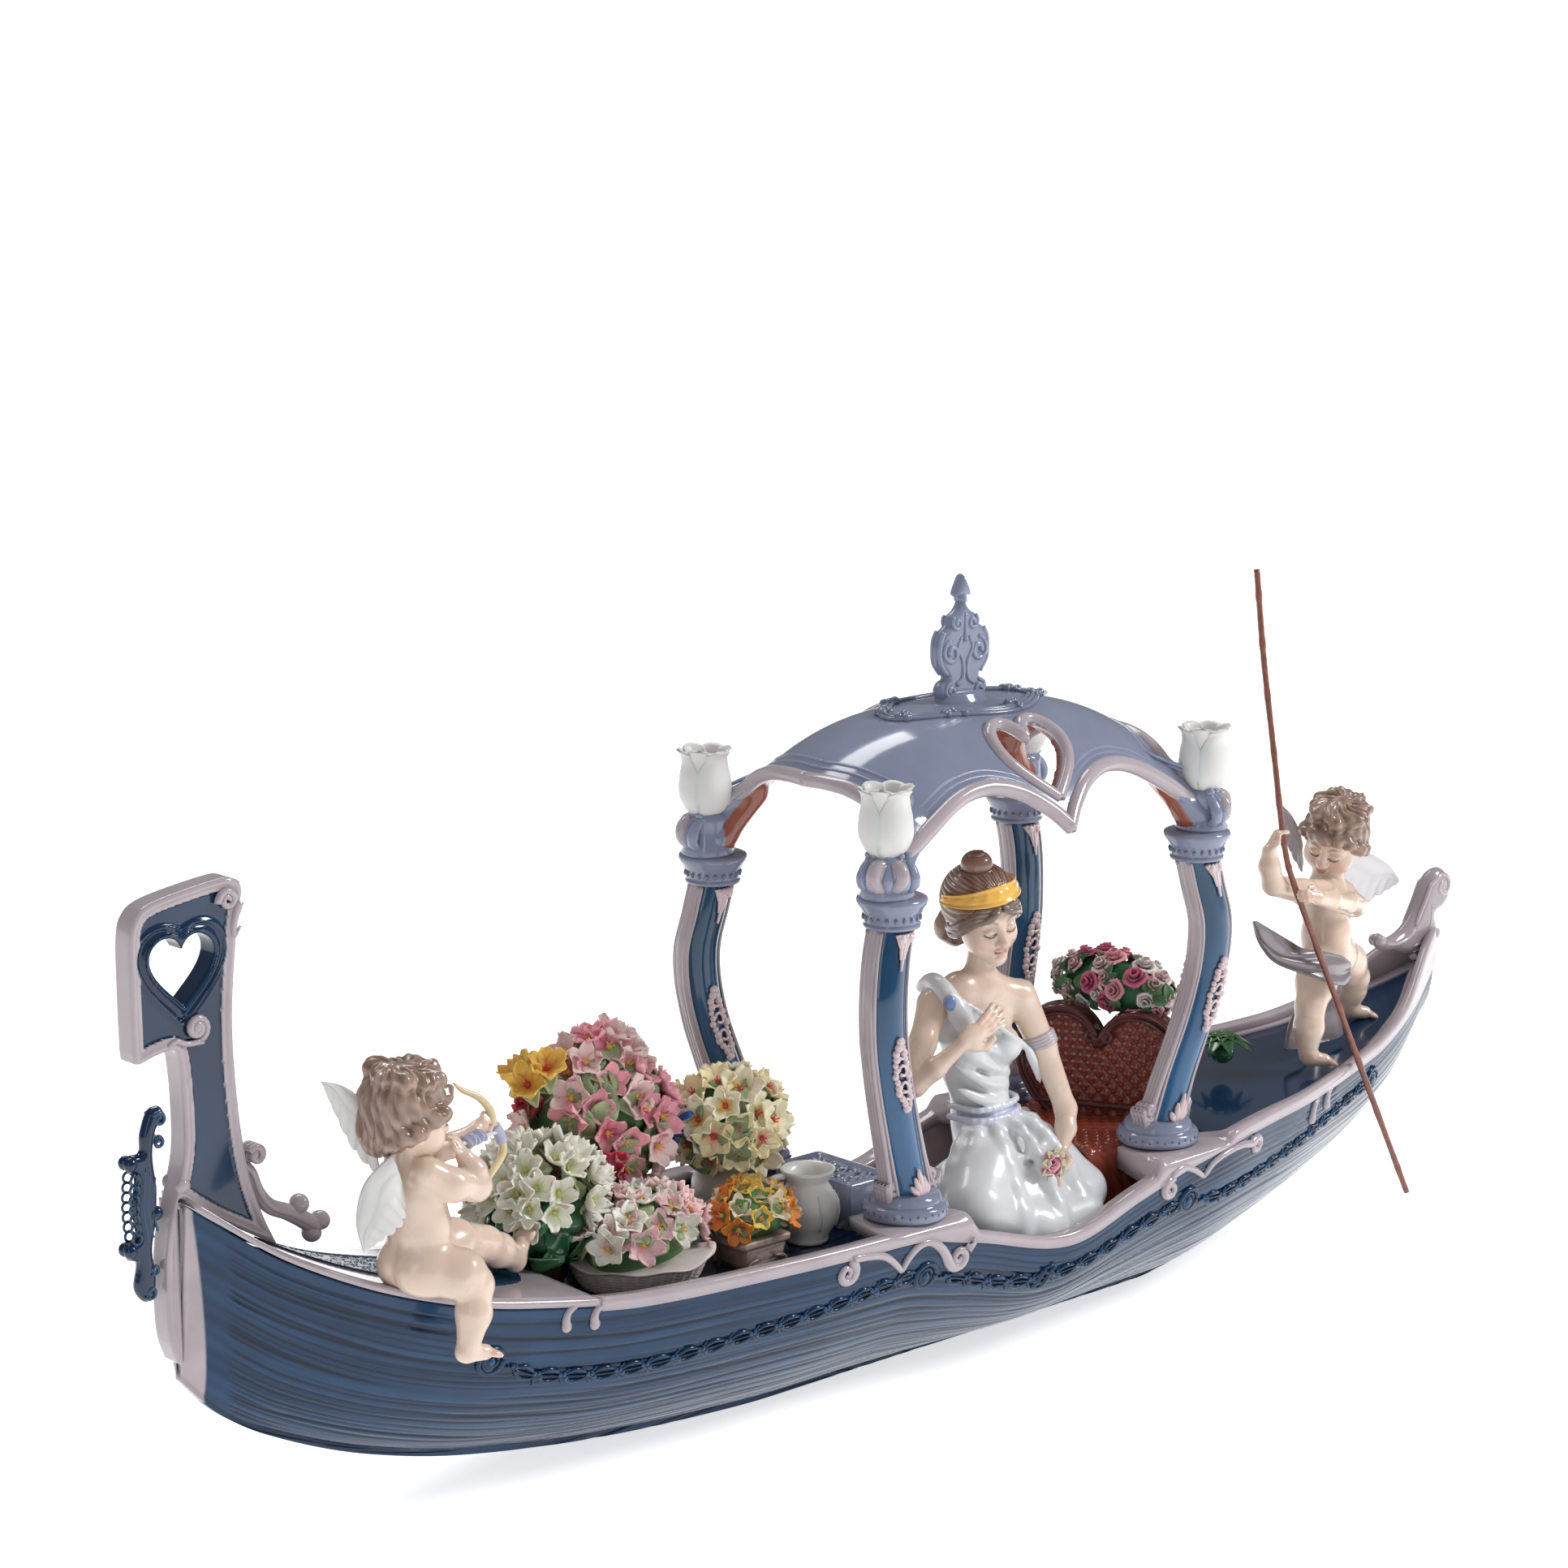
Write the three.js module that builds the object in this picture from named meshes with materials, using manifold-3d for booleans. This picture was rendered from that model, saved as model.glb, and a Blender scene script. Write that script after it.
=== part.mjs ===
// Porcelain gondola group: a decorated gondola with a canopied cabin, a reclining lady,
// two winged cherubs, flower pots and a loose punt pole.
// Millimetres, +Z up, bow towards -X. The origin is on the flat underside of the hull,
// on the centreline, straight below the middle of the canopy.
import * as THREE from 'three';
import * as BufferGeometryUtils from 'three/addons/utils/BufferGeometryUtils.js';
import Module from 'manifold-3d';

const wasm = await Module();
wasm.setup();

// ---- driving dimensions -------------------------------------------------------------
const GAP = 0.35;               // clearance between neighbouring pieces
const BOW_X = -437;             // front of the hull
const STERN_X = 352;            // back of the hull
const WALL = 5;                 // porcelain wall of the hull
const DECK_T = 4;               // thickness of rails and decks
const RAIL_W = 9;               // width of the gunwale rail
const DECK_END_X = -264;        // after edge of the bow deck
const STERN_DECK_X = 112;       // fore edge of the sunken stern deck
const CARGO_Z = 71;             // top of the cargo floor
const CABIN_Z = 50;             // top of the cabin floor
const POST_T = 10;              // thickness of the bow post plate
const COLUMN_X = 84;            // column foot, from the middle of the canopy
const COLUMN_Y = 52;
const CAPITAL_X = 100;
const CAPITAL_Y = 58.7;
const PLINTH_Z = 85;            // underside of the plinths
const PLINTH_R = 19;
const PLINTH_H = 10.5;
const CAPITAL_Z = 221;          // underside of the capitals
const CAPITAL_H = 13;
const CAPITAL_R = 15.5;
const CANOPY_CROWN_Z = 301;
const CANOPY_T = 5;             // thickness of the vault
const CANOPY_X = 107;           // half length of the vault
const CANOPY_Y = 61;            // half width at the ends, and what it gains in the middle
const CANOPY_BELLY = 8;
const TULIP_H = 32.5;
const TULIP_R = 12;
const SOFA_X = 96;              // middle of the sofa back, which is turned towards one side
const SOFA_Y = -4;
const SOFA_TURN = 0.47;
const SOFA_FOOT_Z = 88;
const POLE_R = 1.5;

// ---- colours ------------------------------------------------------------------------
const NAVY = 0x1d3a5c;
const MAUVE = 0xb9adb2;
const BLUE_GREY = 0x8e97ad;
const COLUMN_BLUE = 0x35597f;
const WHITE = 0xe9e8e4;
const SKIN = 0xe3cfc0;
const HAIR = 0x6d5145;
const MAROON = 0x5b231d;
const LEAF = 0x3d5a44;
const PINK = 0xdcaeb0;
const POLE_BROWN = 0x8a3c22;

const glaze = (colour, roughness = 0.18) =>
  new THREE.MeshStandardMaterial({ color: colour, roughness, metalness: 0 });

// ---- small tools --------------------------------------------------------------------
const group = new THREE.Group();

function addMesh(name, geometry, colour, roughness) {
  const mesh = new THREE.Mesh(geometry, glaze(colour, roughness));
  mesh.name = name;
  group.add(mesh);
  return mesh;
}

function clean(geometry) {
  const bare = geometry.clone();
  bare.deleteAttribute('normal');
  bare.deleteAttribute('uv');
  return BufferGeometryUtils.mergeVertices(bare, 1e-4);
}

function solid(geometry) {
  const merged = clean(geometry);
  const vertProperties = new Float32Array(merged.attributes.position.array);
  const triVerts = new Uint32Array(merged.index.array);
  return new wasm.Manifold(new wasm.Mesh({ numProp: 3, vertProperties, triVerts }));
}

function fromSolid(manifold) {
  const out = manifold.getMesh();
  const geometry = new THREE.BufferGeometry();
  geometry.setAttribute('position', new THREE.BufferAttribute(new Float32Array(out.vertProperties), 3));
  geometry.setIndex(new THREE.BufferAttribute(new Uint32Array(out.triVerts), 1));
  geometry.computeVertexNormals();
  return geometry;
}

function union(geometries) {
  return geometries.map(solid).reduce((sum, next) => sum.add(next));
}

// A unit box bent by shape(s, t, w): s runs 0..1 along, t -1..1 across, w 0..1 up.
function bentBox(stepsAlong, stepsAcross, stepsUp, shape) {
  const box = clean(new THREE.BoxGeometry(1, 1, 1, stepsAlong, stepsAcross, stepsUp));
  const position = box.attributes.position;
  for (let i = 0; i < position.count; i += 1) {
    const s = position.getX(i) + 0.5;
    const t = position.getY(i) * 2;
    const w = position.getZ(i) + 0.5;
    position.setXYZ(i, ...shape(s, t, w));
  }
  return box;
}

// A smooth curve y(x) through a few stations, without overshoot.
function fair(stations) {
  const slope = stations.map((_, i) => {
    if (i === 0 || i === stations.length - 1) {
      const j = Math.min(i, stations.length - 2);
      return (stations[j + 1][1] - stations[j][1]) / (stations[j + 1][0] - stations[j][0]);
    }
    const before = (stations[i][1] - stations[i - 1][1]) / (stations[i][0] - stations[i - 1][0]);
    const after = (stations[i + 1][1] - stations[i][1]) / (stations[i + 1][0] - stations[i][0]);
    return before * after <= 0 ? 0 : (2 * before * after) / (before + after);
  });
  return (x) => {
    let i = 0;
    while (i < stations.length - 2 && x > stations[i + 1][0]) {
      i += 1;
    }
    const [x0, y0] = stations[i];
    const [x1, y1] = stations[i + 1];
    const u = THREE.MathUtils.clamp((x - x0) / (x1 - x0), 0, 1);
    const h = x1 - x0;
    const a = (1 + 2 * u) * (1 - u) ** 2;
    const b = u * (1 - u) ** 2;
    const c = u * u * (3 - 2 * u);
    const d = u * u * (u - 1);
    return a * y0 + b * h * slope[i] + c * y1 + d * h * slope[i + 1];
  };
}

function shapeFrom(points, curved = false) {
  const shape = new THREE.Shape();
  shape.moveTo(...points[0]);
  if (curved) {
    shape.splineThru(points.slice(1).map((p) => new THREE.Vector2(...p)));
  } else {
    points.slice(1).forEach((p) => shape.lineTo(...p));
  }
  shape.closePath();
  return shape;
}

// A plate cut from a shape drawn in X and Z, standing on the centreline.
function standingPlate(shape, thickness, middleY = 0, curveSegments = 6) {
  const plate = new THREE.ExtrudeGeometry(shape, { depth: thickness, bevelEnabled: false, curveSegments });
  plate.rotateX(Math.PI / 2);
  plate.translate(0, middleY + thickness / 2, 0);
  return plate;
}

// A heart: point at the bottom, width across the lobes, height overall.
function heartPath(path, cx, cz, width, height) {
  const w = width / 2;
  path.moveTo(cx, cz - height * 0.5);
  const bend = (...shares) => {
    const [a, b, c, d, e, f] = shares;
    path.bezierCurveTo(cx + w * a, cz + height * b, cx + w * c, cz + height * d, cx + w * e, cz + height * f);
  };
  bend(-0.35, -0.3, -1, -0.05, -1, 0.22);
  bend(-1, 0.5, -0.2, 0.62, 0, 0.3);
  bend(0.2, 0.62, 1, 0.5, 1, 0.22);
  bend(1, -0.05, 0.35, -0.3, 0, -0.5);
  return path;
}

// A round-ended limb from a to b with a radius at each end.
function limb(a, b, radiusA, radiusB, sides = 6) {
  const from = new THREE.Vector3(...a);
  const to = new THREE.Vector3(...b);
  const length = from.distanceTo(to);
  const profile = [];
  for (let i = 0; i <= 2; i += 1) {
    const angle = (-Math.PI / 2) * (1 - i / 2);
    profile.push(new THREE.Vector2(i === 0 ? 0 : radiusA * Math.cos(angle), radiusA * Math.sin(angle)));
  }
  for (let i = 0; i <= 2; i += 1) {
    const angle = (Math.PI / 2) * (i / 2);
    const reach = i === 2 ? 0 : radiusB * Math.cos(angle);
    profile.push(new THREE.Vector2(reach, length + radiusB * Math.sin(angle)));
  }
  const lathe = new THREE.LatheGeometry(profile, sides);
  const turn = new THREE.Quaternion().setFromUnitVectors(
    new THREE.Vector3(0, 1, 0),
    to.clone().sub(from).normalize(),
  );
  lathe.applyQuaternion(turn);
  lathe.translate(from.x, from.y, from.z);
  return lathe;
}

function ball(centre, radii, sides = 12) {
  const sphere = new THREE.SphereGeometry(1, sides, Math.round(sides * 0.67));
  sphere.rotateX(Math.PI / 2);
  sphere.scale(...radii);
  sphere.translate(...centre);
  return sphere;
}

// A turned piece: pairs of radius and height, axis along Z.
function turned(profile, sides, centre) {
  const lathe = new THREE.LatheGeometry(profile.map((p) => new THREE.Vector2(...p)), sides);
  lathe.rotateX(Math.PI / 2);
  lathe.translate(...centre);
  return lathe;
}

function block(min, max) {
  const box = new THREE.BoxGeometry(max[0] - min[0], max[1] - min[1], max[2] - min[2]);
  box.translate((min[0] + max[0]) / 2, (min[1] + max[1]) / 2, (min[2] + max[2]) / 2);
  return box;
}

// ---- hull ---------------------------------------------------------------------------
const halfBreadth = fair([[-440, 8], [-400, 28], [-345, 43], [-280, 51], [-210, 63], [-130, 70],
  [-50, 71], [40, 76], [100, 77], [160, 67], [230, 48], [300, 28], [352, 6]]);
const sheer = fair([[-440, 157], [-400, 127], [-350, 104], [-300, 90], [-240, 82], [-160, 81],
  [-100, 80], [-60, 72], [0, 58], [45, 70], [85, 80], [130, 86], [200, 87], [260, 91], [310, 103],
  [352, 119]]);
const keel = fair([[-440, 84], [-420, 63], [-400, 50], [-350, 29], [-300, 16], [-240, 7], [-180, 2],
  [-130, 0], [110, 0], [180, 12], [240, 27], [300, 52], [352, 94]]);

// Full section: share of the half breadth at the height share w above the keel.
const fullness = (w) => Math.max(0.2, Math.sqrt(1 - (1 - w ** 1.45) ** 2) ** 0.77);

const hullOuter = bentBox(26, 2, 4, (s, t, w) => {
  const x = THREE.MathUtils.lerp(BOW_X, STERN_X, s);
  return [x, t * halfBreadth(x) * fullness(w), THREE.MathUtils.lerp(keel(x), sheer(x), w)];
});
const hullInner = bentBox(20, 2, 3, (s, t, w) => {
  const x = THREE.MathUtils.lerp(BOW_X + 26, STERN_X - 26, s);
  const width = halfBreadth(x) * fullness(w) - WALL;
  return [x, t * Math.max(width, 2), THREE.MathUtils.lerp(keel(x) + WALL + 2, sheer(x) + 3, w)];
});
addMesh('hull_shell', fromSolid(solid(hullOuter).subtract(solid(hullInner))), NAVY);

// Everything that lies on the sheer is cut to follow it, one gap above.
const hullRaised = solid(bentBox(26, 2, 1, (s, t, w) => {
  const x = THREE.MathUtils.lerp(BOW_X, STERN_X, s);
  return [x, t * (halfBreadth(x) + 4), THREE.MathUtils.lerp(keel(x) - 8, sheer(x) + GAP, w)];
}));
const seated = (geometry) => fromSolid(solid(geometry).subtract(hullRaised));

// Rails widen into platforms under the column feet.
const platform = (x) => Math.max(
  0,
  1 - ((Math.abs(x + COLUMN_X) / 27) ** 3),
  1 - ((Math.abs(x - COLUMN_X) / 27) ** 3),
);
const railTop = (x) => {
  const flat = Math.min(1, 2.4 * platform(x));
  return THREE.MathUtils.lerp(sheer(x) + GAP + DECK_T, PLINTH_Z - GAP, flat);
};
function rail(side) {
  return bentBox(40, 1, 1, (s, t, w) => {
    const x = THREE.MathUtils.lerp(DECK_END_X + GAP, 344, s);
    const out = Math.max(halfBreadth(x) + 1.5, platform(x) * (COLUMN_Y + PLINTH_R + 1));
    const width = RAIL_W - 2.5 * THREE.MathUtils.smoothstep(x, 130, 200);
    const inner = halfBreadth(x) + 1.5 - width - 30 * Math.min(1, 1.4 * platform(x));
    const y = THREE.MathUtils.lerp(Math.max(inner, 0.3), out, (side * t + 1) / 2);
    return [x, side * y, w === 0 ? sheer(x) - 1.5 : railTop(x)];
  });
}
// The column feet stand in level round seats.
const seatProfile = [[0, 0], [PLINTH_R + 1, 0], [PLINTH_R + 1, 20], [0, 20]];
const plinthSeats = [-1, 1].map((sx) => turned(seatProfile, 24, [sx * COLUMN_X, 0, PLINTH_Z - GAP]));
for (const [place, side] of [['near', -1], ['far', 1]]) {
  const seats = union(plinthSeats.map((seat) => seat.clone().translate(0, side * COLUMN_Y, 0)));
  addMesh(`gunwale_rail_${place}`, fromSolid(solid(rail(side)).subtract(hullRaised).subtract(seats)), MAUVE);
}

const BOW_DECK = [-386, DECK_END_X, 8];
function deck([from, to, steps], bottom = -1.5, top = GAP + DECK_T, overhang = 1.5) {
  return bentBox(steps, 2, 1, (s, t, w) => {
    const x = THREE.MathUtils.lerp(from, to, s);
    return [x, t * (halfBreadth(x) + overhang), sheer(x) + (w === 0 ? bottom : top)];
  });
}
function inlay(range, [from, to], breadth) {
  const panel = bentBox(8, 2, 1, (s, t, w) => {
    const x = THREE.MathUtils.lerp(from, to, s);
    const shareWide = Math.sqrt(Math.max(0.02, 1 - (2 * s - 1) ** 4));
    return [x, t * breadth(x) * shareWide, sheer(x) + (w === 0 ? DECK_T - 1 : 2 * GAP + DECK_T + 1.2)];
  });
  return fromSolid(solid(panel).subtract(solid(deck(range, -9, 2 * GAP + DECK_T, 3))));
}
addMesh('bow_deck', seated(deck(BOW_DECK)), MAUVE);
addMesh('bow_deck_inlay', inlay(BOW_DECK, [-345, -270], (x) => halfBreadth(x) * 0.5), NAVY);
// The stern deck is sunk between the rails, inside the hull.
const STERN_DECK_DROP = 1.5;
function sunkenDeck(bottom, top, margin) {
  return bentBox(12, 2, 1, (s, t, w) => {
    const x = THREE.MathUtils.lerp(STERN_DECK_X, 316, s);
    return [x, t * Math.max(halfBreadth(x) - margin, 2), sheer(x) + (w === 0 ? bottom : top)];
  });
}
addMesh('stern_deck', sunkenDeck(-STERN_DECK_DROP - 4, -STERN_DECK_DROP, WALL + 3.5), NAVY);
// Space that the figures on the decks keep clear of.
const decksRaised = solid(deck(BOW_DECK, -60, 3 * GAP + DECK_T + 1.4, 3))
  .add(solid(sunkenDeck(-60, -STERN_DECK_DROP + GAP, 0)));

function floorPlate(from, to, top, thickness) {
  return bentBox(6, 1, 1, (s, t, w) => {
    const x = THREE.MathUtils.lerp(from, to, s);
    const z = top - thickness + w * thickness;
    const share = THREE.MathUtils.clamp((top - thickness - keel(x)) / (sheer(x) - keel(x)), 0, 1);
    return [x, t * (halfBreadth(x) * fullness(share) - WALL - 5), z];
  });
}
addMesh('cargo_floor', floorPlate(-262, -64, CARGO_Z, 3), NAVY);
addMesh('cabin_floor', floorPlate(-60, 80, CABIN_Z, 3), MAUVE);
addMesh('cabin_step', block([-92, -24, CARGO_Z + GAP], [-64, 26, 93]), BLUE_GREY);

// ---- bow and stern ornaments --------------------------------------------------------
const postShape = shapeFrom([[-406, 281], [-412, 282.5], [-430, 280.5], [-448, 277], [-453, 273],
  [-456, 264], [-456, 217], [-453, 214.5], [-446, 217], [-436, 217.5], [-434, 205], [-433.5, 190],
  [-434, 175], [-437, 162], [-441, 149], [-443.5, 135], [-443.5, 101], [-438, 88], [-438, 157.5],
  [-424, 147], [-400, 132.8], [-391, 127], [-398, 143], [-404, 162], [-408, 190], [-409.5, 225],
  [-406, 262], [-403.5, 275]]);
postShape.holes.push(heartPath(new THREE.Path(), -432, 248.5, 30, 28));
addMesh('bow_post', standingPlate(postShape, POST_T, 0, 5), NAVY);

const combShape = shapeFrom([[-444.5, 164], [-446, 176], [-444, 186], [-440, 190], [-442, 195], [-447, 193.5],
  [-451, 184], [-451.5, 178], [-457, 177], [-458, 172], [-453, 169], [-455, 156], [-454, 144], [-460, 142],
  [-459, 136], [-454, 134], [-456, 122], [-452, 117], [-448, 118], [-446, 126], [-448, 138], [-445, 150]]);
addMesh('bow_comb', standingPlate(combShape, 7), NAVY);

const bracketShape = shapeFrom([[-402.2, 158], [-403.6, 169], [-398, 170], [-391, 166], [-393, 161],
  [-396, 156], [-391, 147], [-383, 144], [-379, 147], [-374, 144], [-364, 132], [-363, 127],
  [-368, 124.5], [-375, 126], [-380, 134], [-390, 138], [-396.4, 141]]);
addMesh('bow_bracket', standingPlate(bracketShape, 9), MAUVE);

const sternShape = shapeFrom([[352.5, 112], [353.5, 125], [359, 129], [358, 136], [357, 142], [364, 145],
  [368, 150], [367.5, 157], [364, 163.5], [359, 166.5], [352, 164.5], [346, 157], [340, 146], [331, 137],
  [320, 134], [311, 138], [308, 133], [315, 128], [324, 126], [332, 122.5], [344.6, 122.5], [352, 124.5]]);
addMesh('stern_scroll', standingPlate(sternShape, 10), MAUVE);

// ---- columns, plinths, capitals -----------------------------------------------------
const corners = [
  ['bow_near', -1, -1],
  ['bow_far', -1, 1],
  ['stern_near', 1, -1],
  ['stern_far', 1, 1],
];
const columnFoot = PLINTH_Z + PLINTH_H + GAP;
const columnHead = CAPITAL_Z - GAP;
for (const [place, sx, sy] of corners) {
  const path = new THREE.CatmullRomCurve3([
    [COLUMN_X, COLUMN_Y + 1.5, columnFoot],
    [92, 55.5, 120],
    [101, 59, 147],
    [106.5, 61, 170],
    [107.5, 61.5, 190],
    [104, 59.5, 208],
    [CAPITAL_X, CAPITAL_Y, columnHead],
  ].map(([x, y, z]) => new THREE.Vector3(sx * x, sy * y, z)));
  const section = new THREE.Shape();
  section.absarc(0, 0, 10.5, 0, Math.PI * 2);
  const column = new THREE.ExtrudeGeometry(section, {
    steps: 10, curveSegments: 5, bevelEnabled: false, extrudePath: path,
  });
  const trim = solid(column)
    .intersect(solid(block([-200, -200, columnFoot], [200, 200, columnHead])));
  addMesh(`column_${place}`, fromSolid(trim), COLUMN_BLUE);
  addMesh(`plinth_${place}`, turned([[0, 0], [PLINTH_R, 0], [PLINTH_R, 4], [16.5, 5.5], [16.5, 9],
    [14, PLINTH_H], [0, PLINTH_H]], 14, [sx * COLUMN_X, sy * COLUMN_Y, PLINTH_Z]), BLUE_GREY);
  addMesh(`capital_${place}`, turned([[0, 0], [12, 0], [12.5, 6], [CAPITAL_R, 9], [CAPITAL_R, 12],
    [14, CAPITAL_H], [0, CAPITAL_H]], 14, [sx * CAPITAL_X, sy * CAPITAL_Y, CAPITAL_Z]), BLUE_GREY);
}

// ---- canopy -------------------------------------------------------------------------
const vaultZ = (x, y) => CANOPY_CROWN_Z - 32.8 * Math.abs(x / 105) ** 3 - 48.8 * Math.abs(y / 70) ** 2.7;
const vault = bentBox(14, 10, 1, (s, t, w) => {
  const x = THREE.MathUtils.lerp(-CANOPY_X, CANOPY_X, s);
  const y = t * (CANOPY_Y + CANOPY_BELLY * (1 - (x / CANOPY_X) ** 2));
  return [x, y, vaultZ(x, y) - (1 - w) * CANOPY_T];
});
const twinArch = new THREE.Shape();
twinArch.moveTo(-91, 200);
twinArch.lineTo(-88, 241);
twinArch.bezierCurveTo(-82, 262, -66, 271, -46, 271);
twinArch.bezierCurveTo(-28, 271, -10, 260, 0, 250);
twinArch.bezierCurveTo(10, 260, 28, 271, 46, 271);
twinArch.bezierCurveTo(66, 271, 82, 262, 88, 241);
twinArch.lineTo(91, 200);
const endArch = new THREE.Shape();
endArch.moveTo(-47, 200);
endArch.lineTo(-45, 241);
endArch.bezierCurveTo(-42, 262, -20, 275, 0, 275);
endArch.bezierCurveTo(20, 275, 42, 262, 45, 241);
endArch.lineTo(47, 200);
const endCutter = new THREE.ExtrudeGeometry(endArch, { depth: 260, bevelEnabled: false, curveSegments: 4 });
endCutter.rotateX(Math.PI / 2);
endCutter.rotateZ(Math.PI / 2);
endCutter.translate(-130, 0, 0);
const capitalTop = CAPITAL_Z + CAPITAL_H + GAP;
let canopy = solid(vault)
  .subtract(solid(block([-200, -200, 100], [200, 200, capitalTop])))
  .subtract(solid(standingPlate(twinArch, 200, 0, 4)))
  .subtract(solid(endCutter));
for (const side of [-1, 1]) {
  const heart = heartPath(new THREE.Shape(), 0, 283.5, 21, 22);
  canopy = canopy.subtract(solid(standingPlate(heart, 54, side * 50, 4)));
}
for (const [, sx, sy] of corners) {
  const x = sx * CAPITAL_X;
  const y = sy * CAPITAL_Y;
  canopy = canopy.add(solid(turned([[0, 0], [9, 0], [10, 6], [9, 17.2], [0, 17.2]], 10,
    [x + sx * 2.5, y, capitalTop])));
}
addMesh('canopy_vault', fromSolid(canopy), BLUE_GREY);

const collarRing = new THREE.Shape();
collarRing.absellipse(0, 0, 46, 24, 0, Math.PI * 2);
const collarHole = new THREE.Path();
collarHole.absellipse(0, 0, 20, 11, 0, Math.PI * 2);
collarRing.holes.push(collarHole);
const collarPlate = bentBox(1, 1, 1, (s, t, w) => [(s - 0.5) * 300, t * 150, 200 + w * 200]);
const collar = new THREE.ExtrudeGeometry(collarRing, { depth: 6, bevelEnabled: false, curveSegments: 10 });
const collarBody = clean(collar);
for (let i = 0; i < collarBody.attributes.position.count; i += 1) {
  const p = collarBody.attributes.position;
  const top = p.getZ(i) > 3;
  const lift = vaultZ(p.getX(i), p.getY(i));
  p.setZ(i, top ? lift + 6 : lift + 1.9);
}
addMesh('crown_collar', fromSolid(solid(collarBody).intersect(solid(collarPlate))), BLUE_GREY);

const finial = turned([[0, 0], [15, 0], [16, 6], [11, 11], [14, 18], [16.5, 26], [13, 36], [5, 43],
  [3, 47], [6, 50], [3.5, 55], [0, 59]], 12, [0, 0, CANOPY_CROWN_Z + GAP]);
finial.scale(1, 0.55, 1);
addMesh('finial', finial, BLUE_GREY);

// Four open tulip shades stand on the canopy's corners.
for (const [place, sx, sy] of corners) {
  const x = sx * 104;
  const y = sy * 59;
  const z = 252;
  addMesh(`tulip_${place}`, turned([[0, 0], [6, 0], [10.5, 5], [TULIP_R, 12], [10.5, 24], [TULIP_R, TULIP_H],
    [TULIP_R - 2, TULIP_H], [8.3, 24], [9.5, 13], [8, 8], [0, 8]], 10, [x, y, z]), WHITE, 0.35);
}

// ---- sofa, roses ---------------------------------------------------------------------
const sofaHeart = heartPath(new THREE.Shape(), 0, 98, 86, 84);
const sofa = new THREE.ExtrudeGeometry(sofaHeart, { depth: 8, bevelEnabled: false, curveSegments: 6 });
sofa.rotateX(Math.PI / 2);
sofa.rotateZ(Math.PI / 2 + SOFA_TURN);
sofa.translate(SOFA_X, SOFA_Y, 0);
const sofaCut = block([40, -100, SOFA_FOOT_Z], [140, 100, 200]);
addMesh('sofa_back', fromSolid(solid(sofa).intersect(solid(sofaCut))), MAROON, 0.4);
addMesh('sofa_seat', block([38, -24, CABIN_Z + GAP], [76, 36, 68]), MAROON, 0.4);
const roses = ball([0, 0, 0], [11, 36, 17], 12);
roses.rotateZ(SOFA_TURN);
roses.translate(SOFA_X + 17, SOFA_Y + 8, 148);
addMesh('rose_planter', roses, PINK, 0.5);

// ---- lady -----------------------------------------------------------------------------
const above = (z) => solid(block([-600, -200, z], [600, 200, 500]));
const below = (z) => solid(block([-600, -200, -50], [600, 200, z]));

const lady = union([
  ball([4, -26, 68], [46, 33, 22], 16),
  limb([8, -18, 80], [5, -15, 112], 19, 14, 10),
  limb([5, -15, 112], [0, -15, 160], 13, 14, 10),
  limb([-22, -9, 163], [20, -20, 160], 7, 8),
  limb([0, -14, 165], [4, -14, 184], 7, 6.5),
  limb([-26, -9, 163], [-50, -22, 131], 7, 6),
  limb([-50, -22, 131], [-24, -36, 153], 5.5, 4.5),
  limb([22, -21, 160], [37, -36, 104], 7.5, 6),
  limb([37, -36, 104], [24, -44, 87], 5.5, 4.5),
]);
const seatClear = solid(block([38 - GAP, -26, 0], [120, 40, 68 + GAP]));
const NECK_Z = 184;
addMesh('lady_body', fromSolid(
  lady.intersect(above(CABIN_Z + 0.8)).intersect(below(NECK_Z)).subtract(seatClear),
), WHITE, 0.35);
addMesh('lady_head', fromSolid(union([
  ball([5, -14, 203], [18, 18, 22], 14),
  ball([4, -6, 224], [9, 9, 9], 10),
  ball([-8, 2, 190], [9, 9, 8], 10),
]).intersect(above(NECK_Z + GAP))), HAIR, 0.35);
addMesh('lady_rose_posy', ball([10, -52, 92], [8, 7, 7], 10), PINK, 0.5);

// ---- archer cherub on the bow deck ------------------------------------------------------
const archer = union([
  limb([-349, -42, 158], [-347, -41, 122], 13, 15, 10),
  limb([-350, -42, 160], [-350, -42, 174], 8, 7),
  limb([-352, -52, 158], [-330, -56, 152], 6.5, 5.5),
  limb([-330, -56, 152], [-318, -50, 157], 5, 4),
  limb([-345, -33, 158], [-323, -36, 163], 6, 5),
  limb([-323, -36, 163], [-313, -38, 169], 5, 4),
  limb([-348, -48, 119], [-342, -59, 113], 11, 8),
  limb([-342, -59, 113], [-346, -61, 90], 7.5, 5),
  limb([-345, -62, 86], [-334, -63, 83], 4.5, 3.5),
  limb([-345, -34, 120], [-300, -24, 112], 10, 7.5),
  limb([-300, -24, 112], [-281, -18, 99], 7, 5),
  limb([-280, -18, 98], [-272, -16, 105], 4.5, 3.5),
]);
const ARCHER_NECK_Z = 169;
addMesh('archer_body', fromSolid(archer.subtract(decksRaised).intersect(below(ARCHER_NECK_Z))), SKIN, 0.3);
addMesh('archer_head', fromSolid(
  solid(ball([-353, -42, 187], [21, 21, 20], 14)).intersect(above(ARCHER_NECK_Z + GAP)),
), HAIR, 0.35);

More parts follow.
